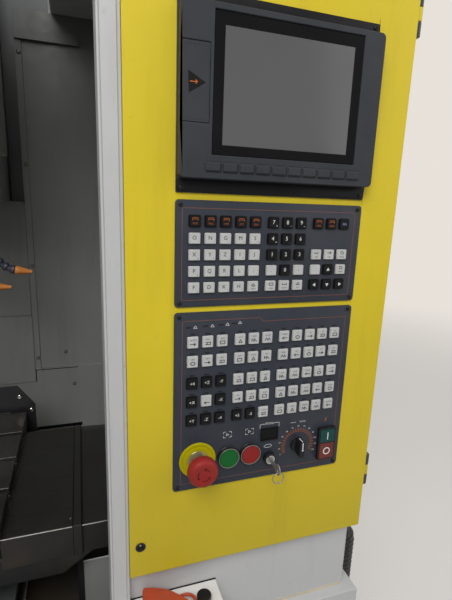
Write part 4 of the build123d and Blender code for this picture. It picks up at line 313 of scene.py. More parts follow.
def sweep(path: np.ndarray, outline: np.ndarray, up: Sequence[float]) -> Surface:
    """Profile carried along a path: p(u) + a(u, v) side(u) + b(u, v) top(u).

    Args:
        path: Array of shape (n, 3).
        outline: Array of shape (m, 2) or (n, m, 2) with the profile's a and b.
        up: Direction that the profile's b axis keeps closest to.

    Returns:
        The closed surface.
    """
    tangents = unit(np.gradient(path, axis=0))
    side = unit(np.cross(tangents, np.asarray(up, dtype=float)))
    top = np.cross(side, tangents)
    shape = outline if outline.ndim == 3 else np.repeat(outline[None], len(path), axis=0)
    points = (
        path[:, None, :]
        + shape[:, :, :1] * side[:, None, :]
        + shape[:, :, 1:] * top[:, None, :]
    )
    return Surface.grid(points)


def circle_outline(radius: float, segments: int = 16) -> np.ndarray:
    """Points (r cos a, r sin a) around a circle."""
    angles = np.linspace(0, 2 * math.pi, segments, endpoint=False)
    return np.column_stack([np.cos(angles), np.sin(angles)]) * radius


def flat_frame(
    centre: tuple[float, float],
    size: tuple[float, float],
    corner: float,
    line: float,
    y_span: tuple[float, float],
) -> Surface:
    """Thin raised line round a rounded rectangle, facing the operator.

    Its section is the line's width by the y span; outer and inner outlines are rings.

    Args:
        centre: x and z of the middle.
        size: Outer width and height.
        corner: Outer corner radius.
        line: Width of the line.
        y_span: Back and front y.

    Returns:
        The closed ring.
    """
    rings = []
    for inset, y in ((0, y_span[0]), (0, y_span[1]), (line, y_span[1]), (line, y_span[0])):
        outline = rounded_outline(size[0] - 2 * inset, size[1] - 2 * inset, max(corner - inset, LEAST_CORNER))
        rings.append(facing(outline, centre, y))
    return Surface.grid(np.stack(rings), round_u=True)


def joined(surfaces: Iterable[Surface]) -> Surface:
    """All the surfaces as one, in their order."""
    return reduce(add, surfaces)


class NodeBoard:
    """Lays out the nodes of one material round a Principled shader."""

    def __init__(self, name: str) -> None:
        """Makes the material with its shader, output and Object coordinates."""
        self.material = bpy.data.materials.new(name)
        self.material.use_nodes = True
        self.tree = self.material.node_tree
        self.tree.nodes.clear()
        output = self.tree.nodes.new("ShaderNodeOutputMaterial")
        self.shader = self.tree.nodes.new("ShaderNodeBsdfPrincipled")
        self.tree.links.new(self.shader.outputs["BSDF"], output.inputs["Surface"])
        self.place = self.tree.nodes.new("ShaderNodeTexCoord").outputs["Object"]

    def feed(self, socket: bpy.types.NodeSocket, value: object) -> None:
        """Links a socket to the value, or sets it where the value is plain."""
        if isinstance(value, bpy.types.NodeSocket):
            self.tree.links.new(value, socket)
        elif isinstance(value, tuple) and len(value) == 3 and socket.type == "RGBA":
            socket.default_value = (*value, 1.0)
        else:
            socket.default_value = value

    def shade(self, **values: object) -> None:
        """Feeds the shader's inputs, named with underscores for spaces."""
        for name, value in values.items():
            self.feed(self.shader.inputs[name.replace("_", " ")], value)

    def stretched(self, scale: Sequence[float]) -> bpy.types.NodeSocket:
        """Object coordinates multiplied by one factor for each axis."""
        mapping = self.tree.nodes.new("ShaderNodeMapping")
        mapping.inputs["Scale"].default_value = tuple(scale)
        self.feed(mapping.inputs["Vector"], self.place)
        return mapping.outputs["Vector"]

    def noise(
        self,
        scale: float,
        detail: float = 3.0,
        stretch: Sequence[float] = (1, 1, 1),
        roughness: float = 0.55,
    ) -> bpy.types.NodeSocket:
        """Noise with about `scale` patches to the metre, drawn out by `stretch`."""
        node = self.tree.nodes.new("ShaderNodeTexNoise")
        node.inputs["Scale"].default_value = scale
        node.inputs["Detail"].default_value = detail
        node.inputs["Roughness"].default_value = roughness
        self.feed(node.inputs["Vector"], self.stretched(stretch))
        return node.outputs["Fac"]

    def ramp(self, factor: object, stops: Sequence[tuple[float, object]]) -> bpy.types.NodeSocket:
        """Colour ramp through the stops, each a position and a colour or grey."""
        node = self.tree.nodes.new("ShaderNodeValToRGB")
        elements = node.color_ramp.elements
        while len(elements) < len(stops):
            elements.new(0.5)
        for element, (position, value) in zip(elements, stops):
            element.position = position
            element.color = (*(value if isinstance(value, tuple) else (value,) * 3), 1.0)
        self.feed(node.inputs["Fac"], factor)
        return node.outputs["Color"]

    def mix(self, factor: object, first: object, second: object, kind: str = "MIX") -> bpy.types.NodeSocket:
        """Two colours mixed by a factor, in one of Blender's blend kinds."""
        node = self.tree.nodes.new("ShaderNodeMix")
        node.data_type = "RGBA"
        node.blend_type = kind
        self.feed(node.inputs[0], factor)
        self.feed(node.inputs[6], first)
        self.feed(node.inputs[7], second)
        return node.outputs[2]

    def math(self, kind: str, first: object, second: object = 0.0) -> bpy.types.NodeSocket:
        """One arithmetic step between two values."""
        node = self.tree.nodes.new("ShaderNodeMath")
        node.operation = kind
        self.feed(node.inputs[0], first)
        self.feed(node.inputs[1], second)
        return node.outputs[0]

    def height_of(self) -> bpy.types.NodeSocket:
        """The z coordinate of the point, in metres."""
        return self.coordinate("Z")

    def coordinate(self, axis: str) -> bpy.types.NodeSocket:
        """One coordinate of the point, in metres."""
        node = self.tree.nodes.new("ShaderNodeSeparateXYZ")
        self.feed(node.inputs[0], self.place)
        return node.outputs[axis]

    def bump(self, height: object, distance_mm: float, under: object = None) -> bpy.types.NodeSocket:
        """Normal raised by a height map of the given depth, over another normal."""
        node = self.tree.nodes.new("ShaderNodeBump")
        node.inputs["Distance"].default_value = distance_mm * MILLIMETRE
        self.feed(node.inputs["Height"], height)
        if under is not None:
            self.feed(node.inputs["Normal"], under)
        return node.outputs["Normal"]


@dataclass(frozen=True)
class PowderCoat:
    """Powder-coated sheet steel: fine orange peel, faint tone shifts, streaks of grime, and where set, painted
    shade that darkens it by height.
    """

    name: str
    colour: Colour
    grime: Colour = (0.16, 0.14, 0.10)
    grime_share: float = 0.25
    grime_start: float = 0.60
    roughness: float = 0.42
    peel_mm: float = 0.06
    # Painted shade: the colour is darkened by this share at the first height of the span below, in metres, and
    # not at all at the second.
    low_shade: float = 0.0
    low_span: tuple[float, float] = (0.7, 1.5)
    specular: float = 0.5

    def make(self) -> bpy.types.Material:
        """Lays the nodes: tone, painted shade by height, streaks and dirt spots under an orange-peel bump."""
        board = NodeBoard(self.name)
        tone = board.ramp(board.noise(2.2, 4), [(0.3, 0.93), (0.7, 1.05)])
        colour = board.mix(1.0, self.colour, tone, "MULTIPLY")
        # Painted shade by height.
        if self.low_shade > 0:
            span = self.low_span
            above = board.math("SUBTRACT", board.height_of(), span[0])
            rise = board.math("DIVIDE", above, span[1] - span[0])
            dim = board.ramp(rise, [(0.0, 1 - self.low_shade), (1.0, 1.0)])
            colour = board.mix(1.0, colour, dim, "MULTIPLY")
        streaks = board.noise(5.0, 5, (5, 5, 0.5), 0.62)
        start = self.grime_start
        mask = board.ramp(streaks, [(start - 0.08, 0.0), (start + 0.12, self.grime_share)])
        spots = board.ramp(board.noise(60.0, 4), [(0.66, 0.0), (0.74, self.grime_share * 0.9)])
        dirt = board.mix(1.0, mask, spots, "SCREEN")
        colour = board.mix(dirt, colour, self.grime)
        peel = board.bump(board.noise(650.0, 2), self.peel_mm)
        waves = board.bump(board.noise(9.0, 2), 0.35, peel)
        rough = board.ramp(board.noise(35.0, 3), [(0.3, self.roughness - 0.06), (0.7, self.roughness + 0.08)])
        board.shade(Base_Color=colour, Roughness=rough, Normal=waves, Specular_IOR_Level=self.specular)
        return board.material


@dataclass(frozen=True)
class CastingPaint:
    """Thick machine paint over sand-cast iron: pitted bump, oil film and darker patches."""

    name: str
    colour: Colour
    roughness: float = 0.5
    grain_mm: float = 0.5

    def make(self) -> bpy.types.Material:
        """Lays the nodes: casting grain at two scales under oily patches."""
        board = NodeBoard(self.name)
        tone = board.ramp(board.noise(4.0, 5), [(0.25, 0.78), (0.75, 1.08)])
        colour = board.mix(1.0, self.colour, tone, "MULTIPLY")
        oil = board.ramp(board.noise(7.0, 6, (1, 1, 0.35)), [(0.52, 0.0), (0.68, 0.45)])
        colour = board.mix(oil, colour, (0.05, 0.045, 0.03))
        grain = board.bump(board.noise(260.0, 3), self.grain_mm * 0.3)
        lumps = board.bump(board.noise(38.0, 4), self.grain_mm, grain)
        rough = board.ramp(board.noise(7.0, 6, (1, 1, 0.35)), [(0.5, self.roughness), (0.7, 0.25)])
        board.shade(Base_Color=colour, Roughness=rough, Normal=lumps)
        return board.material


@dataclass(frozen=True)
class MachinedMetal:
    """Bare metal with tool marks along one axis, scratches and an uneven film of oil."""

    name: str
    colour: Colour
    marks: tuple[float, float, float] = (1, 40, 1)
    roughness: float = 0.3
    metallic: float = 0.95
    oil: float = 0.5
    mark_mm: float = 0.03
    scale: float = 18.0

    def make(self) -> bpy.types.Material:
        """Lays the nodes: long stretched noise for the marks, broad noise for the oil."""
        board = NodeBoard(self.name)
        marks = board.noise(self.scale, 5, self.marks, 0.7)
        tone = board.ramp(marks, [(0.3, 0.72), (0.7, 1.12)])
        colour = board.mix(1.0, self.colour, tone, "MULTIPLY")
        film = board.noise(6.0, 6)
        stain = board.ramp(film, [(0.45, 0.0), (0.66, self.oil)])
        colour = board.mix(stain, colour, (0.055, 0.042, 0.024))
        spots = board.ramp(board.noise(120.0, 3), [(0.68, 0.0), (0.76, self.oil * 0.8)])
        colour = board.mix(spots, colour, (0.09, 0.05, 0.025))
        rough = board.ramp(film, [(0.35, self.roughness + 0.12), (0.7, self.roughness - 0.06)])
        normal = board.bump(marks, self.mark_mm)
        board.shade(Base_Color=colour, Roughness=rough, Metallic=self.metallic, Normal=normal)
        return board.material


@dataclass(frozen=True)
class Moulded:
    """Moulded plastic or rubber: spark-eroded grain, faint handling marks."""

    name: str
    colour: Colour
    roughness: float = 0.45
    grain_mm: float = 0.04
    grain_scale: float = 1400.0
    variation: float = 0.08
    dust: float = 0.0
    coat: float = 0.0
    specular: float = 0.35

    def make(self) -> bpy.types.Material:
        """Lays the nodes: grain bump, tone variation, dust and handling marks."""
        board = NodeBoard(self.name)
        span = self.variation
        tone = board.ramp(board.noise(30.0, 4), [(0.3, 1 - span), (0.7, 1 + span)])
        colour = board.mix(1.0, self.colour, tone, "MULTIPLY")
        if self.dust > 0:
            dusty = board.ramp(board.noise(9.0, 6), [(0.45, 0.0), (0.7, self.dust)])
            colour = board.mix(dusty, colour, (0.34, 0.32, 0.28))
        rough = board.ramp(
            board.noise(55.0, 4), [(0.35, max(self.roughness - 0.05, 0.04)), (0.7, self.roughness + 0.07)]
        )
        normal = board.bump(board.noise(self.grain_scale, 2), self.grain_mm)
        board.shade(
            Base_Color=colour, Roughness=rough, Normal=normal, Coat_Weight=self.coat, Coat_Roughness=0.08,
            Specular_IOR_Level=self.specular,
        )
        return board.material


@dataclass(frozen=True)
class ClearPane:
    """Clear laminated pane: almost no colour, wiped streaks in its gloss."""

    name: str
    colour: Colour = (0.90, 0.95, 0.94)
    roughness: float = 0.03

    def make(self) -> bpy.types.Material:
        """Lays the nodes: full transmission with wipe marks in the roughness."""
        board = NodeBoard(self.name)
        streaks = board.noise(8.0, 5, (0.6, 1, 3))
        wipes = board.ramp(streaks, [(0.4, self.roughness), (0.7, self.roughness + 0.12)])
        tint = board.ramp(board.noise(3.0, 2), [(0.3, self.colour), (0.7, (0.95, 0.97, 0.96))])
        board.shade(Base_Color=tint, Roughness=wipes, Transmission_Weight=1.0, IOR=1.45)
        return board.material


@dataclass(frozen=True)
class DisplayPane:
    """Switched-off display behind glass: grey cell that is lighter low down, all painted reflection, and dusty
    gloss.
    """

    name: str
    top: Colour
    bottom: Colour
    span: tuple[float, float]

    def make(self) -> bpy.types.Material:
        """Lays the nodes: painted reflection as a tone by height with a faint cloud, under a glossy coat."""
        board = NodeBoard(self.name)
        # Painted reflection: lighter towards the bottom, with a faint cloud.
        rise = board.math("SUBTRACT", board.height_of(), self.span[0])
        share = board.math("DIVIDE", rise, self.span[1] - self.span[0])
        reflection_cloud = board.math("MULTIPLY", board.math("SUBTRACT", board.noise(7.0, 3), 0.5), 0.5)
        colour = board.ramp(board.math("ADD", share, reflection_cloud), [(0.05, self.bottom), (0.95, self.top)])
        rough = board.ramp(board.noise(160.0, 3), [(0.4, 0.16), (0.75, 0.26)])
        board.shade(Base_Color=colour, Roughness=rough, Specular_IOR_Level=0.3)
        return board.material


class Finish(Enum):
    """Every finish on the machine."""

    WHITE = PowderCoat("white_coat", (0.545, 0.548, 0.54), grime_share=0.14, grime_start=0.62)
    # Lighter copy of the white coat for the shelf's top: painted light.
    SHELF_WHITE = PowderCoat("shelf_white", (0.82, 0.81, 0.78), grime_share=0.08, grime_start=0.66)
    # Darker copy of the white coat that stands in for the shade inside the enclosure, with more painted shade
    # from 1.3 m up to 2.0 m.
    INNER_WHITE = PowderCoat(
        "inner_white_coat_painted_shade", (0.30, 0.305, 0.285), (0.10, 0.10, 0.085), 0.16, 0.60, 0.5, 0.06, 0.62, (2.0, 1.3)
    )
    # Yellow coat with painted shade: darker towards the bottom of the door, from 1.3 m down to 0.8 m.
    YELLOW = PowderCoat(
        "yellow_coat", (0.735, 0.572, 0.024), (0.30, 0.20, 0.03), 0.12, 0.62, 0.40, 0.05, 0.24,
        (0.8, 1.3), 0.3,
    )
    GUARD_BLACK = PowderCoat("guard_black", (0.013, 0.013, 0.016), (0.06, 0.055, 0.05), 0.2, 0.60, 0.40, 0.07)
    BLACK_SHEET = PowderCoat(
        "black_coat", (0.022, 0.023, 0.026), (0.10, 0.095, 0.085), 0.35, 0.56, 0.42, 0.07
    )
    TANK_GREY = PowderCoat("tank_grey_coat", (0.16, 0.17, 0.175), (0.06, 0.05, 0.035), 0.5, 0.52, 0.5, 0.08)
    CASTING = CastingPaint("casting_paint", (0.085, 0.092, 0.092))
    # Near-black copy of the casting paint for the saddle: painted shade under the table.
    SADDLE_PAINT = CastingPaint("saddle_paint", (0.007, 0.007, 0.0075), 0.55, 0.4)
    HEAD_PAINT = CastingPaint("head_paint", (0.46, 0.475, 0.465), 0.45, 0.25)
    TABLE_TOP = MachinedMetal("table_steel", (0.17, 0.165, 0.155), (45, 1, 1), 0.30, 0.85, 0.6)
    COVER_SHEET = MachinedMetal("cover_sheet", (0.068, 0.066, 0.062), (1, 26, 4), 0.36, 0.70, 0.35, 0.02)
    # Near-black front faces of the covers: painted shade, with some oil stain.
    COVER_FACE = MachinedMetal("cover_face", (0.011, 0.010, 0.010), (3, 3, 3), 0.50, 0.15, 0.35, 0.03, 30.0)
    TRAY_SHEET = MachinedMetal("tray_sheet", (0.050, 0.044, 0.038), (2, 2, 2), 0.42, 0.25, 0.6, 0.05)
    GROUND = MachinedMetal("ground_rod", (0.46, 0.46, 0.45), (1, 1, 60), 0.24, 1.0, 0.25)
    TURNED = MachinedMetal("turned_steel", (0.50, 0.49, 0.46), (1, 90, 1), 0.26, 1.0, 0.15, 0.015)
    PLATED = MachinedMetal("plated_steel", (0.60, 0.60, 0.58), (3, 3, 3), 0.18, 1.0, 0.12, 0.01)
    COLLAR = MachinedMetal("collar_metal", (0.30, 0.25, 0.14), (1, 120, 1), 0.30, 0.9, 0.3, 0.02)
    KEY_STEEL = MachinedMetal("key_steel", (0.33, 0.32, 0.30), (3, 3, 3), 0.34, 0.5, 0.12, 0.01)
    RING_METAL = MachinedMetal("ring_metal", (0.30, 0.32, 0.29), (3, 3, 3), 0.30, 0.7, 0.12, 0.01)
    PANEL = Moulded("panel_foil", (0.032, 0.037, 0.050), 0.44, 0.03, 1700.0, 0.07, 0.03, 0.0, 0.2)
    BEZEL = Moulded("bezel_plastic", (0.034, 0.037, 0.044), 0.46, 0.05, 1500.0, 0.08, 0.03, 0.0, 0.2)
    FLANGE = Moulded("flange_plastic", (0.009, 0.009, 0.011), 0.44, 0.04, 1500.0, 0.08, 0.02, 0.0, 0.12)
    BLACK_PLASTIC = Moulded("black_plastic", (0.011, 0.011, 0.013), 0.36, 0.03, 1500.0, 0.08, 0.0, 0.0, 0.25)
    SCREW_DARK = Moulded("screw_dark", (0.035, 0.033, 0.030), 0.40, 0.03, 900.0, 0.2, 0.0, 0.0, 0.5)
    # Dark surrounds round the keys: painted shadow of their gaps.
    GAP = Moulded("key_gap_painted_shadow", (0.004, 0.004, 0.005), 0.6)
    WHITE_KEY = Moulded("white_key", (0.53, 0.53, 0.515), 0.34, 0.02, 900.0, 0.05, 0.04)
    BLACK_KEY = Moulded("black_key", (0.006, 0.006, 0.007), 0.34, 0.02, 900.0, 0.08, 0.0, 0.0, 0.16)
    DARK_PRINT = Moulded("dark_print", (0.004, 0.004, 0.005), 0.6, specular=0.1)
    WHITE_PRINT = Moulded("white_print", (0.74, 0.74, 0.72), 0.5)
    LINE_DARK = Moulded("line_dark", (0.006, 0.006, 0.006), 0.5, specular=0.15)
    BROWN_PRINT = Moulded("brown_print", (0.34, 0.085, 0.022), 0.5)
    STRIPE_PRINT = Moulded("stripe_print", (0.20, 0.075, 0.045), 0.5)
    DIAL_PRINT = Moulded("dial_print", (0.30, 0.095, 0.035), 0.5)
    DARK_RED = Moulded("dark_red_print", (0.085, 0.008, 0.008), 0.5)
    ORANGE_PRINT = Moulded("orange_print", (0.62, 0.16, 0.02), 0.5)
    BLUE_PRINT = Moulded("blue_print", (0.25, 0.34, 0.62), 0.5)
    RED = Moulded("stop_red", (0.29, 0.021, 0.018), 0.42, 0.02, 900.0, 0.08, 0.03, 0.0, 0.18)
    RED_CAP = Moulded("red_cap", (0.27, 0.016, 0.014), 0.34, 0.02, 900.0, 0.05, 0.03, 0.0, 0.18)
    GREEN_CAP = Moulded("green_cap", (0.006, 0.12, 0.022), 0.34, 0.02, 900.0, 0.06, 0.01, 0.0, 0.15)
    POWER_GREEN = Moulded("power_green", (0.012, 0.066, 0.062), 0.40, 0.02, 900.0, 0.06, 0.01, 0.0, 0.12)
    POWER_RED = Moulded("power_red", (0.16, 0.040, 0.030), 0.40, 0.02, 900.0, 0.06, 0.01, 0.0, 0.12)
    DISC_YELLOW = Moulded("disc_yellow", (0.45, 0.385, 0.003), 0.42, 0.02, 900.0, 0.04, 0.0, 0.0, 0.08)
    GUN_ORANGE = Moulded("gun_orange", (0.46, 0.065, 0.022), 0.36, 0.05, 700.0, 0.10, 0.10)
    HOSE_NAVY = Moulded("hose_navy", (0.025, 0.030, 0.050), 0.36, 0.02, 900.0, 0.08, 0.12)
    NOZZLE_ORANGE = Moulded("nozzle_orange", (0.60, 0.20, 0.03), 0.38, 0.02, 900.0, 0.08, 0.12)
    CONDUIT = Moulded("conduit_rubber", (0.006, 0.006, 0.007), 0.32, 0.03, 1200.0, 0.1, 0.0, 0.0, 0.4)
    RUBBER = Moulded("rubber_lip", (0.018, 0.018, 0.018), 0.62, 0.06, 800.0, 0.12, 0.14)
    SEALANT = Moulded("sealant", (0.52, 0.44, 0.31), 0.4, 0.25, 160.0, 0.12, 0.1)
    MOTOR = PowderCoat("motor_enamel", (0.025, 0.026, 0.03), (0.09, 0.085, 0.08), 0.3, 0.58, 0.4, 0.08)
    PANE = ClearPane("door_pane")
    GLASS_BLACK = Moulded("display_border", (0.004, 0.004, 0.005), 0.12, 0.004, 300.0, 0.1, 0.01, 0.0, 0.12)
    # Display cell whose grey, lighter low down, is painted reflection.
    DISPLAY = DisplayPane("display_cell_painted_reflection", (0.094, 0.093, 0.094), (0.112, 0.112, 0.115), (1.583, 1.741))

    def material(self) -> bpy.types.Material:
        """The finish's material, made once."""
        found = bpy.data.materials.get(self.value.name)
        return found if found is not None else self.value.make()


class Dresser:
    """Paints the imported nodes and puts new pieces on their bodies."""

    def __init__(self, frame: dict) -> None:
        """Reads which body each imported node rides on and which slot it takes."""
        record = frame["record"]
        self.nodes: dict[str, bpy.types.Object] = frame["nodes"]
        bodies = record["behaviour"]["bodies"]
        self.body_of = {node: body for body, members in bodies.items() for node in members}
        self.slot_of = {part["node"]: part["material_slot"] for part in record["subparts"]}
        self.made = 0

    def paint(self, node: str, finish: Finish) -> None:
        """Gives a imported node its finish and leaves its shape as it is."""
        part = self.nodes[node]
        if not part.material_slots:
            part.data.materials.append(finish.material())
        for material_slot in part.material_slots:
            material_slot.material = finish.material()

    def add(
        self,
        surface: Surface,
        name: str,
        finish: Finish,
        like: str,
        replaced: Sequence[str] = (),
        smooth: float = 32.0,
    ) -> bpy.types.Object:
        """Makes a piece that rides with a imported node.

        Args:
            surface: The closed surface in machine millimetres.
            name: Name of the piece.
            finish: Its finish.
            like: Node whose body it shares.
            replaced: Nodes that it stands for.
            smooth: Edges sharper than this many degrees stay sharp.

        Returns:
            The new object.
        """
        piece = surface.to_object(name, smooth)
        return self.settle(piece, finish, like, replaced)

    def settle(
        self, piece: bpy.types.Object, finish: Finish, like: str, replaced: Sequence[str] = ()
    ) -> bpy.types.Object:
        """Gives a finished mesh object its finish and body, and reports it."""
        piece.data.materials.append(finish.material())
        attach(piece, self.body_of[like])
        if replaced:
            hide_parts(*replaced)
        self.made += 1
        LOG.info("%s on %s, %d faces", piece.name, self.body_of[like], len(piece.data.polygons))
        return piece

    def soften(self, node: str, finish: Finish, width: float, segments: int = 2) -> bpy.types.Object:
        """Replaces a node by a copy of itself with its edges rounded a little.

        The copy's loose triangles are merged into flat faces before the bevel, and its normals
        are weighted by the faces' areas after it, so that flat faces look flat.

        Args:
            node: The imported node.
            finish: Its finish.
            width: Width of the rounding in millimetres.
            segments: Steps of the rounding.

        Returns:
            The copy.
        """
        mesh = self.nodes[node].data.copy()
        mesh.name = f"{node}_body"
        shell = bmesh.new()
        shell.from_mesh(mesh)
        bmesh.ops.remove_doubles(shell, verts=shell.verts, dist=WELD)
        bmesh.ops.dissolve_limit(shell, angle_limit=FLAT_ANGLE, verts=shell.verts, edges=shell.edges)
        shell.to_mesh(mesh)
        shell.free()
        mesh.materials.clear()
        mesh.shade_smooth()
        piece = bpy.data.objects.new(f"{node}_body", mesh)
        bpy.context.scene.collection.objects.link(piece)
        bevel = piece.modifiers.new("edge_rounding", "BEVEL")
        bevel.width = width * MILLIMETRE
        bevel.segments = segments
        bevel.limit_method = "ANGLE"
        bevel.angle_limit = EDGE_ANGLE
        bevel.use_clamp_overlap = False
        flat = piece.modifiers.new("flat_faces", "WEIGHTED_NORMAL")
        flat.mode = "FACE_AREA"
        flat.weight = 100
        return self.settle(piece, finish, node, (node,))


class Lettering:
    """Print made from the outlines of Blender's own font, as thin closed shells."""

    CAPITAL_SHARE = 0.70

    def __init__(self) -> None:
        """Starts with no word made yet."""
        self.words: dict[str, tuple[np.ndarray, list[np.ndarray]]] = {}

    def outline_of(self, word: str) -> tuple[np.ndarray, list[np.ndarray]]:
        """Points and faces of one word at size 1, centred, made once."""
        if word not in self.words:
            curve = bpy.data.curves.new("word", "FONT")
            curve.body = word
            curve.align_x, curve.align_y = "CENTER", "CENTER"
            curve.extrude = 0.5
            curve.resolution_u = 2
            holder = bpy.data.objects.new("word", curve)
            bpy.context.scene.collection.objects.link(holder)
            graph = bpy.context.evaluated_depsgraph_get()
            mesh = bpy.data.meshes.new_from_object(holder.evaluated_get(graph))
            points = np.empty(len(mesh.vertices) * 3)
            mesh.vertices.foreach_get("co", points)
            faces = [np.array(polygon.vertices) for polygon in mesh.polygons]
            self.words[word] = (points.reshape(-1, 3), faces)
            bpy.data.objects.remove(holder)
            bpy.data.meshes.remove(mesh)
        return self.words[word]

    def printed(
        self, word: str, at: tuple[float, float], height: float, y: float, depth: float = PRINT_DEPTH
    ) -> Surface:
        """One word facing the operator: x + h a, y - d b, z + h c over its outline.

        Args:
            word: The letters.
            at: x and z of the middle.
            height: Height of a capital.
            y: Depth of the face that carries it.
            depth: Thickness of the print.

        Returns:
            The word's closed surface.
        """
        points, faces = self.outline_of(word)
        size = height / self.CAPITAL_SHARE
        placed = np.column_stack(
            [at[0] + points[:, 0] * size, y - depth * (points[:, 2] + 0.5), at[1] + points[:, 1] * size]
        )
        return Surface(placed, np.empty((0, 4), dtype=int), list(faces))


def strokes(lines: np.ndarray, width: float, y_span: tuple[float, float]) -> Surface:
    """Thin bars along straight lines, facing the operator.

    Each bar has the corners p ± w n and q ± w n at both depths, with n square to the line.

    Args:
        lines: Array of shape (n, 4) with x and z of both ends.
        width: Width of a bar.
        y_span: Back and front y.

    Returns:
        All the bars as one surface.
    """
    lines = np.asarray(lines, dtype=float).reshape(-1, 4)
    start, end = lines[:, :2], lines[:, 2:]
    along = unit(end - start) * width / 2
    across = np.column_stack([-along[:, 1], along[:, 0]])
    corners = np.stack(
        [start - along + across, start - along - across, end + along - across, end + along + across], axis=1
    )
    layers = [
        np.stack([corners[..., 0], np.full(corners.shape[:2], y), corners[..., 1]], axis=-1) for y in y_span
    ]
    points = np.concatenate(layers, axis=1).reshape(-1, 3)
    box = np.array([[0, 1, 2, 3], [7, 6, 5, 4], [0, 4, 5, 1], [1, 5, 6, 2], [2, 6, 7, 3], [3, 7, 4, 0]])
    shifts = np.arange(len(lines)) * 8
    return Surface(points, (box[None] + shifts[:, None, None]).reshape(-1, 4))


def polyline(points: Sequence[tuple[float, float]], closed: bool = False) -> np.ndarray:
    """Lines through the points, as rows of both ends."""
    corners = np.asarray(points, dtype=float)
    following = np.roll(corners, -1, axis=0)
    lines = np.hstack([corners, following])
    return lines if closed else lines[:-1]


def arc_points(radius: float, start: float, stop: float, count: int) -> np.ndarray:
    """Points on an arc round the origin, angles in degrees from the x axis."""
    angles = np.radians(np.linspace(start, stop, count))
    return np.column_stack([np.cos(angles), np.sin(angles)]) * radius


@dataclass
class ControlPanel:
    """The three plates on the control door, placed right and down from the display's corner."""

    screen_x: float = 503.7
    screen_z: float = 1741.0
    left: float = -65.5
    right: float = 265.0
    plate_front: float = -3.0
    plate_corner: float = 6.0
    body_inset: float = 14.0

    def at(self, right: float, drop: float) -> tuple[float, float]:
        """x and z of a point given right and down from the display's corner."""
        return (self.screen_x + right, self.screen_z - drop)

    def offsets(self, rights: Sequence[float], drops: Sequence[float]) -> np.ndarray:
        """Every pair of the columns and rows as x, 0, z, row by row."""
        grid_x, grid_z = np.meshgrid(np.asarray(rights), np.asarray(drops))
        xs, zs = self.screen_x + grid_x.ravel(), self.screen_z - grid_z.ravel()
        return np.column_stack([xs, np.zeros(xs.size), zs])

    def places(self, places: Sequence[tuple[float, float]]) -> np.ndarray:
        """Panel places as x, 0, z."""
        pairs = np.asarray(places, dtype=float)
        return np.column_stack(
            [self.screen_x + pairs[:, 0], np.zeros(len(pairs)), self.screen_z - pairs[:, 1]]
        )

    def plate(self, drops: tuple[float, float], body_depth: float) -> Surface:
        """Plate with a rounded front edge and its shallow body behind the door."""
        middle = self.at((self.left + self.right) / 2, sum(drops) / 2)
        size = (self.right - self.left, drops[1] - drops[0])
        front = self.plate_front
        profile = [
            (self.body_inset, body_depth),
            (self.body_inset, 0.0),
            (0.0, 0.0),
            (0.0, front + 0.8),
            (0.3, front + 0.25),
            (0.9, front),
        ]
        return front_block(middle, size, self.plate_corner, profile, 6)


@dataclass
class KeyField:
    """A field of square key caps with dished tops, and dark surrounds round them that are painted shadow of
    their gaps.
    """

    panel: ControlPanel
    size: tuple[float, float]
    height: float
    corner: float = 1.6
    well_margin: float = 0.9

    def top_y(self) -> float:
        """Depth of the middle of a cap's top."""
        return self.panel.plate_front - self.height + 0.2

    def cap(self) -> Surface:
        """One cap at the origin: walls that lean in, a rounded rim and a dished top."""
        front = self.panel.plate_front
        top = front - self.height
        profile = [
            (0.0, front + 0.3),
            (0.0, front - 0.8),
            (0.75, top + 0.7),
            (1.15, top + 0.12),
            (1.9, top),
            (3.2, top + 0.18),
        ]
        return front_block((0, 0), self.size, self.corner, profile, 3)

    def well(self) -> Surface:
        """One dark surround at the origin, flush with the plate: painted shadow of the gap round a cap."""
        front = self.panel.plate_front
        margin = self.well_margin
        size = (self.size[0] + 2 * margin, self.size[1] + 2 * margin)
        return front_block((0, 0), size, self.corner + margin, [(0, front + 0.2), (0, front - 0.12)], 2)


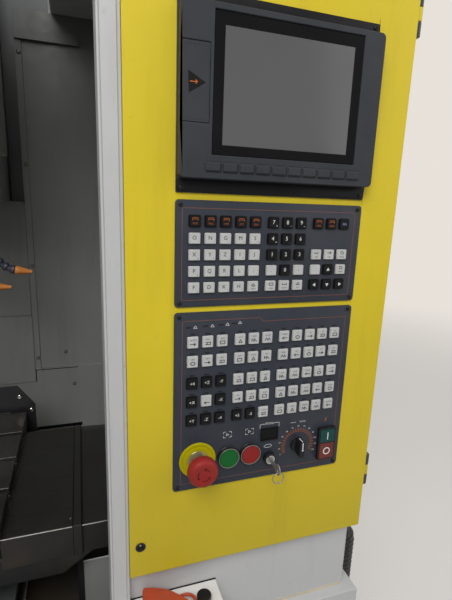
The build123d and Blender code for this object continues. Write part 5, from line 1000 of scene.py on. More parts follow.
@dataclass
class TypingKeyboard:
    """Letter, number and cursor keys under the display."""

    panel: ControlPanel
    letters: Lettering
    drops: tuple[float, float] = (238.0, 406.6)
    columns: tuple[float, ...] = (-35, -9.6, 15.6, 40.8, 66, 97.8, 123, 148.4, 180.8, 205.8, 231)
    rows: tuple[float, ...] = (270, 296.4, 322.4, 348.6, 374.8)
    body_depth: float = 25.0
    stripe: tuple[float, float, float, float] = (-55.0, 253.0, 250.0, 395.5)
    white_words: tuple[str, ...] = (
        "O N G M S",
        "X Y Z I J",
        "P Q R L ;",
        "F D K H",
    )
    small_letters: str = "(?)UWAB=EC#+*/[],TV&<>@"
    numbers: tuple[str, ...] = ("789", "456", "123", ".0-")

    def key_columns(self, row: int) -> list[int]:
        """Columns that carry a key in a row; the right block's second row is bare."""
        return list(range(8 if row == 1 else 11))

    def is_black(self, row: int, column: int) -> bool:
        """True for the first row, the number pad and the four cursor keys."""
        if row == 0 or (5 <= column <= 7 and row in (1, 2)):
            return True
        return (row, column) in {(3, 6), (3, 9), (4, 8), (4, 9), (4, 10)}

    def dress(self, dresser: Dresser) -> None:
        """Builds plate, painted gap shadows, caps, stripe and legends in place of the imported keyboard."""
        node = "mdi_keyboard"
        keys = KeyField(self.panel, (19.0, 17.6), 4.0)
        dresser.add(
            self.panel.plate(self.drops, self.body_depth), "typing_plate", Finish.PANEL, node, (node,)
        )
        placed = [(row, column) for row in range(5) for column in self.key_columns(row)]
        for name, finish, black in (
            ("typing_keys_black", Finish.BLACK_KEY, True),
            ("typing_keys_white", Finish.WHITE_KEY, False),
        ):
            chosen = [
                (self.columns[column], self.rows[row])
                for row, column in placed
                if self.is_black(row, column) == black
            ]
            dresser.add(keys.cap().repeated(self.panel.places(chosen)), name, finish, node)
        # Dark surrounds round the keys: painted shadow of their gaps.
        every = [(self.columns[column], self.rows[row]) for row, column in placed]
        dresser.add(keys.well().repeated(self.panel.places(every)), "typing_key_gap_shadows", Finish.GAP, node)
        left, right, top, bottom = self.stripe
        middle = self.panel.at((left + right) / 2, (top + bottom) / 2)
        front = self.panel.plate_front
        line = flat_frame(middle, (right - left, bottom - top), 3.0, 0.8, (front + 0.1, front - 0.06))
        dresser.add(line, "typing_stripe", Finish.STRIPE_PRINT, node)
        self.print_legends(dresser, keys.top_y(), node)

    def print_legends(self, dresser: Dresser, y: float, node: str) -> None:
        """Letters, numbers, arrows and the two-line marks of the first row."""
        dark, white = [], []
        small = iter(self.small_letters)
        for row, words in enumerate(self.white_words, start=1):
            for column, word in enumerate(words.split()):
                x, z = self.panel.at(self.columns[column], self.rows[row])
                dark.append(self.letters.printed(word, (x - 0.6, z + 0.8), 6.2, y))
                dark.append(self.letters.printed(next(small), (x + 5.4, z - 5.2), 2.4, y))
        for row, line in enumerate(self.numbers):
            for index, word in enumerate(line):
                black = self.is_black(row, 5 + index)
                x, z = self.panel.at(self.columns[5 + index], self.rows[row])
                (white if black else dark).append(self.letters.printed(word, (x - 0.8, z + 0.6), 6.4, y))
                if black:
                    white.append(self.letters.printed(next(small, "."), (x + 5.0, z - 5.0), 2.2, y))
        words = {(4, 4): "SHIFT", (4, 5): "CAN", (4, 6): "INPUT", (4, 7): "ALT", (2, 8): "INS", (2, 9): "DEL"}
        words.update({(2, 10): "PAGE", (3, 10): "PAGE"})
        for (row, column), word in words.items():
            x, z = self.panel.at(self.columns[column], self.rows[row])
            dark.append(self.letters.printed(word, (x, z - 4.0), 2.6, y))
        dresser.add(joined(dark) + self.key_icons(words, y), "typing_legends_dark", Finish.DARK_PRINT, node)
        dresser.add(joined(white) + self.arrows(y), "typing_legends_white", Finish.WHITE_PRINT, node)
        brown = []
        menu = ("POS", "PRG", "OFS", "SYS", "GRA", "MSG", "AUX")
        for column, words_of_key in zip((0, 1, 2, 3, 4, 8, 9), menu):
            x, z = self.panel.at(self.columns[column], self.rows[0])
            brown.append(self.letters.printed(words_of_key, (x, z - 3.6), 3.2, y))
            lines = polyline([(x - 4.5, z + 1.2), (x - 4.5, z + 5.4), (x + 4.5, z + 5.4), (x + 4.5, z + 1.2)])
            brown.append(
                strokes(np.vstack([lines, [[x - 4.5, z + 3.2, x + 3.5, z + 3.2]]]), 0.9, (y, y - PRINT_DEPTH))
            )
        dresser.add(joined(brown), "typing_legends_brown", Finish.BROWN_PRINT, node)
        x, z = self.panel.at(self.columns[10], self.rows[0])
        dresser.add(
            self.letters.printed("RES", (x, z), 3.6, y), "typing_legend_blue", Finish.BLUE_PRINT, node
        )

    def key_icons(self, words: dict[tuple[int, int], str], y: float) -> Surface:
        """Small line drawings over the words of the white function keys."""
        shapes = {
            "SHIFT": [(-3, 0), (0, 3.6), (3, 0), (1.4, 0), (1.4, -1), (-1.4, -1), (-1.4, 0), (-3, 0)],
            "CAN": [(-4, 2), (-2, 4), (4, 4), (4, 0), (-2, 0), (-4, 2)],
            "INPUT": [(-4, 3), (-4, 0.6), (4, 0.6), (4, 3)],
            "ALT": [(-3, 0), (3, 0), (0, 4), (-3, 0)],
            "INS": [(-4, 3.4), (-4, 1), (2, 1), (2, 3.4)],
            "DEL": [(-4, 2), (3, 2), (1, 3.6), (3, 2), (1, 0.4)],
            "PAGE": [(-2.6, 0), (-2.6, 4), (1, 4), (2.6, 2.6), (2.6, 0), (-2.6, 0)],
        }
        rows = []
        for (row, column), word in words.items():
            x, z = self.panel.at(self.columns[column], self.rows[row])
            rows.append(polyline([(x + a, z + 1.2 + b) for a, b in shapes[word]]))
        return strokes(np.vstack(rows), 0.95, (y, y - PRINT_DEPTH))

    def arrows(self, y: float) -> Surface:
        """The four cursor arrows as filled triangles."""
        front = self.panel.plate_front
        total = []
        for (row, column), angle in {(3, 9): 90, (4, 8): 180, (4, 9): 270, (4, 10): 0}.items():
            x, z = self.panel.at(self.columns[column], self.rows[row])
            turn = np.radians(angle + np.array([0, 120, 240]))
            corners = np.column_stack([x + 3.6 * np.cos(turn), np.zeros(3), z + 3.6 * np.sin(turn)])
            rings = np.stack([corners + [0, y, 0], corners + [0, y - PRINT_DEPTH, 0]])
            arrow = Surface.grid(rings)
            total.append(arrow)
        LOG.info("cursor arrows stand %.2f mm over the plate", front - y)
        return joined(total)


@dataclass
class OperatorKeyboard:
    """Function keys with a signal slot over each, and the printed field under them."""

    panel: ControlPanel
    letters: Lettering
    drops: tuple[float, float] = (415.5, 740.7)
    columns: tuple[float, ...] = (-34.6, -9.2, 16, 47.9, 73.1, 98.2, 130.3, 155.8, 181.2, 206.1, 231.9)
    rows: tuple[float, ...] = (466, 499.5, 538, 572, 606)
    body_depth: float = 45.0
    slot_rise: float = 13.6
    words: tuple[str, ...] = (
        "AUTO EDIT MDI JOG STEP HOME RAPID F1 F2 F3 F4",
        "SBK DRY SKIP OPT LOCK REF MPG F5 F6 F7 F8",
        "+4 +Z -Y 100 UP ORI CW CCW COOL AIR LAMP",
        "+X ~ -X 50 DN CHIP DOOR TOOL ATC OIL PUMP",
        "+Y -Z -4 +5 -5 STOP CLMP UNC WASH MIST BLOW",
    )

    def is_black(self, row: int, column: int) -> bool:
        """True for the axis keys at the lower left."""
        if row in (2, 3):
            return column < 3 and (row, column) != (3, 1)
        return row == 4 and column < 5

    def dress(self, dresser: Dresser) -> None:
        """Builds plate, slots, caps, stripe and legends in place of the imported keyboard."""
        node = "operator_keyboard"
        keys = KeyField(self.panel, (19.0, 20.0), 4.0)
        dresser.add(
            self.panel.plate(self.drops, self.body_depth), "operator_plate", Finish.PANEL, node, (node,)
        )
        places = [(row, column) for row in range(5) for column in range(11)]
        for name, finish, black in (
            ("operator_keys_black", Finish.BLACK_KEY, True),
            ("operator_keys_white", Finish.WHITE_KEY, False),
        ):
            chosen = [(self.columns[c], self.rows[r]) for r, c in places if self.is_black(r, c) == black]
            dresser.add(keys.cap().repeated(self.panel.places(chosen)), name, finish, node)
        # Dark surrounds round every key: painted shadow of their gaps.
        gap_shadows = keys.well().repeated(self.panel.offsets(self.columns, self.rows))
        dresser.add(gap_shadows, "operator_key_gap_shadows", Finish.GAP, node)
        front = self.panel.plate_front
        slot = front_block(
            (0, 0), (9.0, 2.6), 1.2, [(0, front + 0.2), (0, front - 0.25), (0.5, front - 0.4)], 2
        )
        slot_rows = [row - self.slot_rise for row in self.rows]
        slots = slot.repeated(self.panel.offsets(self.columns, slot_rows))
        labels = slot.repeated(
            self.panel.places([(-41.5, 440.5), (-13.5, 439.5), (13.5, 438.5), (37, 437.5)])
        )
        dresser.add(slots + labels, "signal_slots", Finish.BLACK_PLASTIC, node)
        self.print_field(dresser, node)
        self.print_keys(dresser, keys.top_y(), node)

    def print_field(self, dresser: Dresser, node: str) -> None:
        """Stripe round the field, the four top marks, and the bracket marks over the buttons."""
        front = self.panel.plate_front
        corner = self.panel.at(0, 0)
        outline = [(-52, 430), (84, 430), (90, 436.5), (253, 436.5), (253, 728), (-52, 728)]
        stripe = polyline([(corner[0] + a, corner[1] - b) for a, b in outline], closed=True)
        dresser.add(
            strokes(stripe, 0.8, (front + 0.1, front - 0.06)), "operator_stripe", Finish.STRIPE_PRINT, node
        )
        marks = []
        for right, drop in ((32.4, 643), (74.6, 643)):
            x, z = self.panel.at(right, drop)
            for side_x in (-1, 1):
                for side_z in (-1, 1):
                    a, b = 7.5 * side_x, 5.5 * side_z
                    marks.append(polyline([(x + a, z + b * 0.4), (x + a, z + b), (x + a * 0.45, z + b)]))
            marks.append(polyline([(x - 2, z - 2.4), (x - 2, z + 2.4), (x + 2.4, z), (x - 2, z - 2.4)]))
        for right, drop in ((-30.3, 440.5), (-1.4, 439.5), (24.8, 438.5), (47, 436.8)):
            x, z = self.panel.at(right, drop)
            marks.append(polyline([(x - 3, z - 2), (x, z + 2.4), (x + 3, z - 2), (x - 3, z - 2)]))
        x, z = self.panel.at(114, 636.5)
        marks.append(polyline([(x - 19, z - 4), (x - 19, z + 4), (x - 8, z + 4)]))
        marks.append(polyline([(x + 8, z + 4), (x + 19, z + 4), (x + 19, z - 4)]))
        x, z = self.panel.at(162, 637.6)
        marks.append(polyline([(x - 5, z), (x + 5, z)]))
        x, z = self.panel.at(182, 637.6)
        wave = np.column_stack([x + np.linspace(-6, 6, 13), z + 1.6 * np.array([0, 1, 0, -1] * 3 + [0])])
        marks.append(polyline([tuple(pair) for pair in wave]))
        x, z = self.panel.at(113, 678)
        corners = ((-8, 0), (-4, 3), (4, 3), (8, 0), (4, -3), (-4, -3))
        marks.append(polyline([(x + a, z + b) for a, b in corners], True))
        print_depth = (front + 0.1, front - 0.07)
        words = self.letters.printed("TOOL", self.panel.at(114, 632.6), 4.2, front)
        dresser.add(
            strokes(np.vstack(marks), 0.7, print_depth) + words, "operator_marks", Finish.WHITE_PRINT, node
        )
        x, z = self.panel.at(232, 640)
        bolt = polyline([(x + 1.4, z + 4), (x - 1.6, z), (x + 1.6, z), (x - 1.4, z - 4)])
        dresser.add(strokes(bolt, 1.0, print_depth), "power_mark", Finish.ORANGE_PRINT, node)

    def icon(self, kind: int, x: float, z: float) -> np.ndarray:
        """One of eight small line drawings, as rows of both ends."""
        shapes = (
            [(-5, 0), (4, 0), (1.6, 2), (4, 0), (1.6, -2)],
            [(-5, -2), (-2.5, 2), (0, -2), (2.5, 2), (5, -2)],
            [(-4, -2.4), (-4, 2.4), (4, 2.4), (4, -2.4), (-4, -2.4)],
            [(-4, 0), (-2, 2.4), (2, 2.4), (4, 0), (2, -2.4), (-2, -2.4), (-4, 0)],
            [(-4.5, -2.4), (-4.5, 2.4), (0, -2.4), (0, 2.4), (4.5, -2.4)],
            [(-4, 2), (4, 2), (4, -2), (-4, -2), (-1, 0)],
            [(5, 0), (-4, 0), (-1.6, 2), (-4, 0), (-1.6, -2)],
            [(-3, -2.6), (0, 2.6), (3, -2.6), (-3, -2.6)],
        )
        return polyline([(x + a, z + b) for a, b in shapes[kind % len(shapes)]])

    def print_keys(self, dresser: Dresser, y: float, node: str) -> None:
        """A short word over a small drawing on each key; black keys carry white print."""
        words: dict[bool, list[Surface]] = {True: [], False: []}
        icons: dict[bool, list[np.ndarray]] = {True: [], False: []}
        for row, line in enumerate(self.words):
            for column, word in enumerate(line.split()):
                black = self.is_black(row, column)
                x, z = self.panel.at(self.columns[column], self.rows[row])
                if black and len(word) <= 2:
                    words[black].append(self.letters.printed(word, (x, z), 5.4, y))
                    continue
                words[black].append(self.letters.printed(word, (x, z + 4.4), 2.5, y))
                icons[black].append(self.icon(row * 3 + column * 5, x, z - 2.4))
        for black, finish, name in (
            (True, Finish.WHITE_PRINT, "operator_legends_white"),
            (False, Finish.DARK_PRINT, "operator_legends_dark"),
        ):
            surface = joined(words[black])
            if icons[black]:
                surface = surface + strokes(np.vstack(icons[black]), 1.15, (y, y - PRINT_DEPTH))
            dresser.add(surface, name, finish, node)


@dataclass
class OperatorControls:
    """Emergency stop, push buttons, key switch, override dial and power block."""

    panel: ControlPanel
    letters: Lettering
    toward: tuple[float, float, float] = (0.0, -1.0, 0.0)

    def origin(self, right: float, drop: float, y: float = 0.0) -> tuple[float, float, float]:
        """A point on the panel at depth y."""
        x, z = self.panel.at(right, drop)
        return (x, y, z)

    def dress(self, dresser: Dresser) -> None:
        """Builds all the controls."""
        self.dress_stop(dresser)
        self.dress_buttons(dresser)
        self.dress_dial(dresser)
        self.dress_power(dresser)
        self.dress_switch(dresser)

    def dress_stop(self, dresser: Dresser) -> None:
        """Yellow disc, grooved metal collar and the red mushroom with its turn arrows."""
        seat = self.origin(-22, 683.5)
        disc = [
            (9, 3.0), (33, 3.0), (33, 5.2), (32.4, 5.9), (31.4, 6.2), (27.0, 6.0), (26.4, 5.7), (25.8, 6.0)
        ]
        disc += [(20, 6.0), (8.4, 6.0), (8.4, 3.0)]
        plate = lathe(disc, seat, self.toward, 64)
        dresser.add(plate, "stop_disc", Finish.DISC_YELLOW, "estop_base", ("estop_base",))
        rib_heights = np.linspace(7, 22.5, 25)
        ribs = [(17.3 + 1.2 * (index % 2), height) for index, height in enumerate(rib_heights)]
        collar = [(8.4, 5.9), (18.4, 5.9), *ribs, (17.6, 24.0), (13.0, 24.0), (12.4, 23.2), (8.4, 23.2)]
        dresser.add(lathe(collar, seat, self.toward, 48), "stop_collar", Finish.COLLAR, "estop_base")
        head = [
            (8.0, -7.0), (8.0, 30.0), (22.0, 30.0), (24.8, 31.0), (26.0, 34.0), (26.0, 41.5), (25.2, 45.4)
        ]
        head += [
            (23.2, 48.6), (20.2, 50.5), (17.0, 51.0), (15.4, 50.6), (12.0, 50.3), (5.0, 50.2), (0.0, 50.2)
        ]
        dresser.add(
            lathe(head, seat, self.toward, 64), "stop_mushroom", Finish.RED, "estop_button", ("estop_button",)
        )
        arrows = []
        x, z = self.panel.at(-22, 683.5)
        for start in (20, 140, 260):
            arc = arc_points(11.0, start, start + 72, 9)
            arrows.append(polyline([(x + a, z + b) for a, b in arc]))
            tip = arc_points(11.0, start + 72, start + 72, 1)[0]
            for reach in (8.8, 13.2):
                back = arc_points(reach, start + 58, start + 58, 1)[0]
                arrows.append(np.array([[x + tip[0], z + tip[1], x + back[0], z + back[1]]]))
        dresser.add(
            strokes(np.vstack(arrows), 1.0, (-50.0, -50.6)), "stop_arrows", Finish.DARK_RED, "estop_button"
        )

    def dress_buttons(self, dresser: Dresser) -> None:
        """Start and stop buttons: a plated ring over a black collar, and a dished cap."""
        ring = [(18.0, 9.0), (19.2, 9.0), (19.2, 9.9), (18.6, 10.2), (18.0, 9.9)]
        collar = [(17.8, 2.9), (21.4, 2.9), (21.4, 4.2), (20.2, 5.2), (20.0, 9.2), (19.4, 9.8), (17.8, 9.8)]
        cap = [
            (8.0, -9.0), (17.2, -9.0), (17.2, 9.8), (16.8, 10.7),
            (15.8, 11.0), (13.4, 10.8), (9, 10.5), (0, 10.4),
        ]
        for name, right, drop, finish in (
            ("start_button", 35.3, 687, Finish.GREEN_CAP),
            ("stop_button", 77, 686.5, Finish.RED_CAP),
        ):
            seat = self.origin(right, drop)
            closed_ring = lathe([*ring, ring[0]], seat, self.toward, 56)
            closed_collar = lathe([*collar, collar[0]], seat, self.toward, 48)
            dresser.add(closed_ring, f"{name}_ring", Finish.RING_METAL, "operator_keyboard")
            dresser.add(closed_collar, f"{name}_collar", Finish.BLACK_PLASTIC, "operator_keyboard")
            dresser.add(lathe(cap, seat, self.toward, 56), f"{name}_cap", finish, name, (name,))

    def dress_dial(self, dresser: Dresser) -> None:
        """Override dial: orange arc of blocks, white numbers and a black pointer knob."""
        x, z = self.panel.at(174, 684.5)
        front = self.panel.plate_front
        turns = np.radians(np.linspace(205, -25, 25))
        across, rise = np.cos(turns), np.sin(turns)
        blocks = np.column_stack([x + 29.0 * across, z + 29.0 * rise, x + 33.0 * across, z + 33.0 * rise])
        arc = polyline([(x + a, z + b) for a, b in arc_points(27.2, 205, -25, 40)])
        thick = (front + 0.1, front - 0.07)
        dial = strokes(blocks, 1.7, thick) + strokes(arc, 0.9, thick)
        dresser.add(dial, "dial_arc", Finish.DIAL_PRINT, "operator_keyboard")
        numbers = []
        for index, value in enumerate(range(0, 130, 10)):
            angle = math.radians(205 - index * 230 / 12)
            place = (x + 38.2 * math.cos(angle), z + 38.2 * math.sin(angle))
            numbers.append(self.letters.printed(str(value), place, 2.7, front))
        dresser.add(joined(numbers), "dial_numbers", Finish.WHITE_PRINT, "operator_keyboard")
        seat = self.origin(174, 684.5)
        skirt = [(8.0, -11.0), (8.0, 3.3), (14.5, 3.3), (14.5, 6.4), (13.9, 7.7), (12.6, 8.2), (0.0, 8.3)]
        grip_profile = [(0.3, -7.5), (0.0, -9.0), (0.0, -23.0), (0.5, -24.6), (1.6, -25.3), (3.0, -25.3)]
        grip = front_block((x, z), (12.0, 33.0), 5.5, grip_profile, 6)
        knob = lathe(skirt, seat, self.toward, 48) + grip
        dresser.add(knob, "override_knob", Finish.BLACK_PLASTIC, "feed_knob", ("feed_knob",))
        line = front_block((x, z + 8.4), (1.8, 13.4), 0.6, [(0, -25.1), (0, -25.5)], 2)
        dot = front_block((x, z), (3.4, 3.4), 1.7, [(0, -25.0), (0, -25.6)], 4)
        end = front_block((x, z + 16.5), (1.8, 0.6), 0.2, [(0, -10.0), (0, -23.6)], 2)
        dresser.add(line + dot + end, "override_pointer", Finish.WHITE_PRINT, "feed_knob")

    def dress_power(self, dresser: Dresser) -> None:
        """Power block: black housing, and a bar and a ring on its two keys."""
        dresser.soften("power_block", Finish.BLACK_PLASTIC, 0.5)
        key_profile = [(0.0, -7.3), (0.0, -10.4), (0.4, -11.2), (1.2, -11.5), (2.8, -11.2)]
        for node, drop, height, finish in (
            ("power_on_key", 671.75, 25.7, Finish.POWER_GREEN),
            ("power_off_key", 703.25, 31.7, Finish.POWER_RED),
        ):
            key = front_block(self.panel.at(234.75, drop), (30.7, height), 1.6, key_profile, 3)
            dresser.add(key, f"{node}_cap", finish, node, (node,))
        x, z = self.panel.at(234.75, 671.75)
        bar = strokes(np.array([[x, z - 6.5, x, z + 6.5]]), 1.8, (-11.0, -11.5))
        dresser.add(bar, "power_on_bar", Finish.WHITE_PRINT, "power_on_key")
        ring = flat_frame(self.panel.at(234.75, 703.25), (15.0, 15.0), 7.5, 2.0, (-11.0, -11.5))
        dresser.add(ring, "power_off_ring", Finish.WHITE_PRINT, "power_off_key")

    def dress_switch(self, dresser: Dresser) -> None:
        """Key switch: black collar with a plated face, and the steel key with its ring."""
        seat = self.origin(115.5, 701.5)
        body = [(6.2, -14.0), (8.0, -14.0), (8.0, 3.0), (12.0, 3.0), (12.0, 10.6), (11.4, 12.2), (10.0, 13.0)]
        body += [(8.8, 13.0), (8.6, 12.4), (6.2, 12.4), (6.2, -14.0)]
        collar = lathe(body, seat, self.toward, 44)
        dresser.add(collar, "switch_body", Finish.BLACK_PLASTIC, "key_switch", ("key_switch",))
        face = [(6.2, 12.3), (8.5, 12.3), (8.5, 12.9), (8.0, 13.0), (6.2, 13.0), (6.2, 12.3)]
        dresser.add(lathe(face, seat, self.toward, 36), "switch_face", Finish.PLATED, "key_switch")
        dresser.soften("key", Finish.KEY_STEEL, 0.25)
        dresser.paint("tool_display", Finish.GLASS_BLACK)


@dataclass
class ScreenUnit:
    """Display with its soft keys, its port door and its flange."""

    panel: ControlPanel
    glass_back: float = -16.3
    glass_front: float = -20.0
    glass: tuple[float, float, float, float] = (-15.7, 226.7, -17.7, 172.7)
    cell: tuple[float, float, float, float] = (0.0, 211.2, 0.0, 158.4)
    flange_drops: tuple[tuple[float, float], ...] = ((-45.6, -27.6), (207.6, 227.6))
    soft_key_count: int = 10
    soft_key_pitch: float = 26.6
    soft_key_first: float = -13.6
    soft_key_drop: float = 190.0

    def middle_of(self, area: tuple[float, ...]) -> tuple[tuple[float, float], tuple[float, float]]:
        """Centre and size of an area given as left, right, top and bottom."""
        left, right, top, bottom = area
        return self.panel.at((left + right) / 2, (top + bottom) / 2), (right - left, bottom - top)

    def dress(self, dresser: Dresser) -> None:
        """Builds housing, flange strips, display, soft key marks and port door."""
        dresser.soften("screen_frame", Finish.BEZEL, 1.4, 3)
        strips = []
        for drops in self.flange_drops:
            centre = self.panel.at(99.75, sum(drops) / 2)
            strip = front_block(
                centre, (329.4, drops[1] - drops[0]), 4.0, [(0, -2.9), (0, -3.25), (0.4, -3.4)]
            )
            strips.append(strip)
        dresser.add(joined(strips), "display_flange", Finish.FLANGE, "screen_frame")
        centre, size = self.middle_of(self.glass)
        edge = [(0.0, self.glass_back), (0.0, self.glass_front + 0.5), (0.5, self.glass_front)]
        border = front_block(centre, size, 2.5, edge, 4)
        dresser.add(border, "display_glass", Finish.GLASS_BLACK, "screen_glass", ("screen_glass",))
        centre, size = self.middle_of(self.cell)
        front = self.glass_front
        # Display cell in painted reflection.
        cell = front_block(centre, size, 0.6, [(0, front + 0.1), (0, front - 0.03), (0.1, front - 0.05)], 2)
        dresser.add(cell, "display_cell_painted_reflection", Finish.DISPLAY, "screen_glass")
        self.mark_soft_keys(dresser)
        self.dress_port_door(dresser)

    def mark_soft_keys(self, dresser: Dresser) -> None:
        """Fine dark lines round the soft keys: painted shade of their grooves."""
        lines = []
        for index in range(self.soft_key_count):
            centre = self.panel.at(self.soft_key_first + index * self.soft_key_pitch, self.soft_key_drop)
            # Dark raised line: painted shade of the groove round a soft key.
            line = flat_frame(centre, (25.6, 16.0), 2.4, 1.3, (-21.8, -22.15))
            lines.append(line)
        dresser.add(joined(lines), "soft_key_groove_shade", Finish.LINE_DARK, "screen_frame")

    def dress_port_door(self, dresser: Dresser) -> None:
        """Port door with a framed face, a finger catch drawn as a flat dark triangle of painted shade, and the
        orange triangle.
        """
        dresser.soften("usb_door", Finish.BEZEL, 0.5)
        x, z = self.panel.at(-41.5, 77.8)
        frame = flat_frame((x + 1.5, z), (34.0, 97.0), 3.0, 0.7, (-21.4, -21.75))
        dresser.add(frame, "port_door_rim", Finish.BEZEL, "usb_door")
        # Flat dark triangle over the door's face: painted shade of the finger catch's recess.
        corners = [self.panel.at(*place) for place in ((-53.3, 63.5), (-27.3, 77.3), (-51.7, 92.8))]
        dark = self.filled(np.array(corners), -21.45)
        dresser.add(dark, "port_door_recess_shade", Finish.LINE_DARK, "usb_door")
        centre_x, centre_z = self.panel.at(-46.0, 77.6)
        stem = [(centre_x - 4, centre_z), (centre_x + 7, centre_z), (centre_x + 4, centre_z + 2.2)]
        sign = strokes(polyline(stem), 1.0, (-21.4, -21.7))
        branch = [(centre_x + 7, centre_z), (centre_x + 4, centre_z - 2.2)]
        sign = sign + strokes(polyline(branch), 1.0, (-21.4, -21.7))
        dresser.add(sign, "port_door_sign", Finish.ORANGE_PRINT, "usb_door")

    def filled(self, corners: np.ndarray, y: float) -> Surface:
        """Thin plate over the given corners, front face at y."""
        rings = [facing(corners, (0.0, 0.0), depth) for depth in (y + 0.5, y)]
        return Surface.grid(np.stack(rings))


@dataclass
class PanelHardware:
    """Screws at the plates' corners."""

    panel: ControlPanel
    spans: tuple[tuple[float, float], ...] = ((-46.0, 228.0), (238.0, 406.6), (415.5, 740.7))

    def dress(self, dresser: Dresser) -> None:
        """Dark button-head screws with a hexagon socket."""
        head = [
            (0.3, 0.0), (3.5, 0.0), (3.5, 0.8), (3.1, 1.6), (2.3, 2.1), (1.75, 2.2), (1.75, 0.9), (0.0, 0.9)
        ]
        total = []
        for top, bottom in self.spans:
            for right in (self.panel.left + 8, self.panel.right - 8):
                for drop in (top + 7, bottom - 7):
                    x, z = self.panel.at(right, drop)
                    screw = lathe(head, (x, self.panel.plate_front, z), (0, -1, 0), 24)
                    total.append(screw)
        dresser.add(
            joined(total), "plate_screws", Finish.BLACK_PLASTIC, "panel_screws", ("panel_screws",), 26
        )


@dataclass
class ControlDoor:
    """Yellow door with its lock and hinges."""

    lock: tuple[float, float] = (382.0, 899.0)

    def dress(self, dresser: Dresser) -> None:
        """Rounds the folded sheet's edges and sets the lock barrel in its hole."""
        dresser.soften("control_door", Finish.YELLOW, 1.6, 3)
        dresser.soften("door_hinges", Finish.BLACK_SHEET, 1.0)
        seat = (self.lock[0], 0.0, self.lock[1])
        barrel = [
            (2.6, -14.0), (7.8, -14.0), (7.8, 0.4), (8.9, 0.4), (8.9, 1.2), (8.3, 1.7), (6.6, 1.7), (6.2, 1.0)
        ]
        barrel += [(5.2, 0.9), (4.8, -2.0), (2.6, -3.0), (2.6, -14.0)]
        dresser.add(lathe(barrel, seat, (0, -1, 0), 40), "lock_barrel", Finish.BLACK_PLASTIC, "control_door")
        pin = [(0.0, -13.5), (2.5, -13.5), (2.5, -4.2), (1.6, -3.6), (0.0, -3.6)]
        dresser.add(lathe(pin, seat, (0, -1, 0), 20), "lock_pin", Finish.PLATED, "control_door")


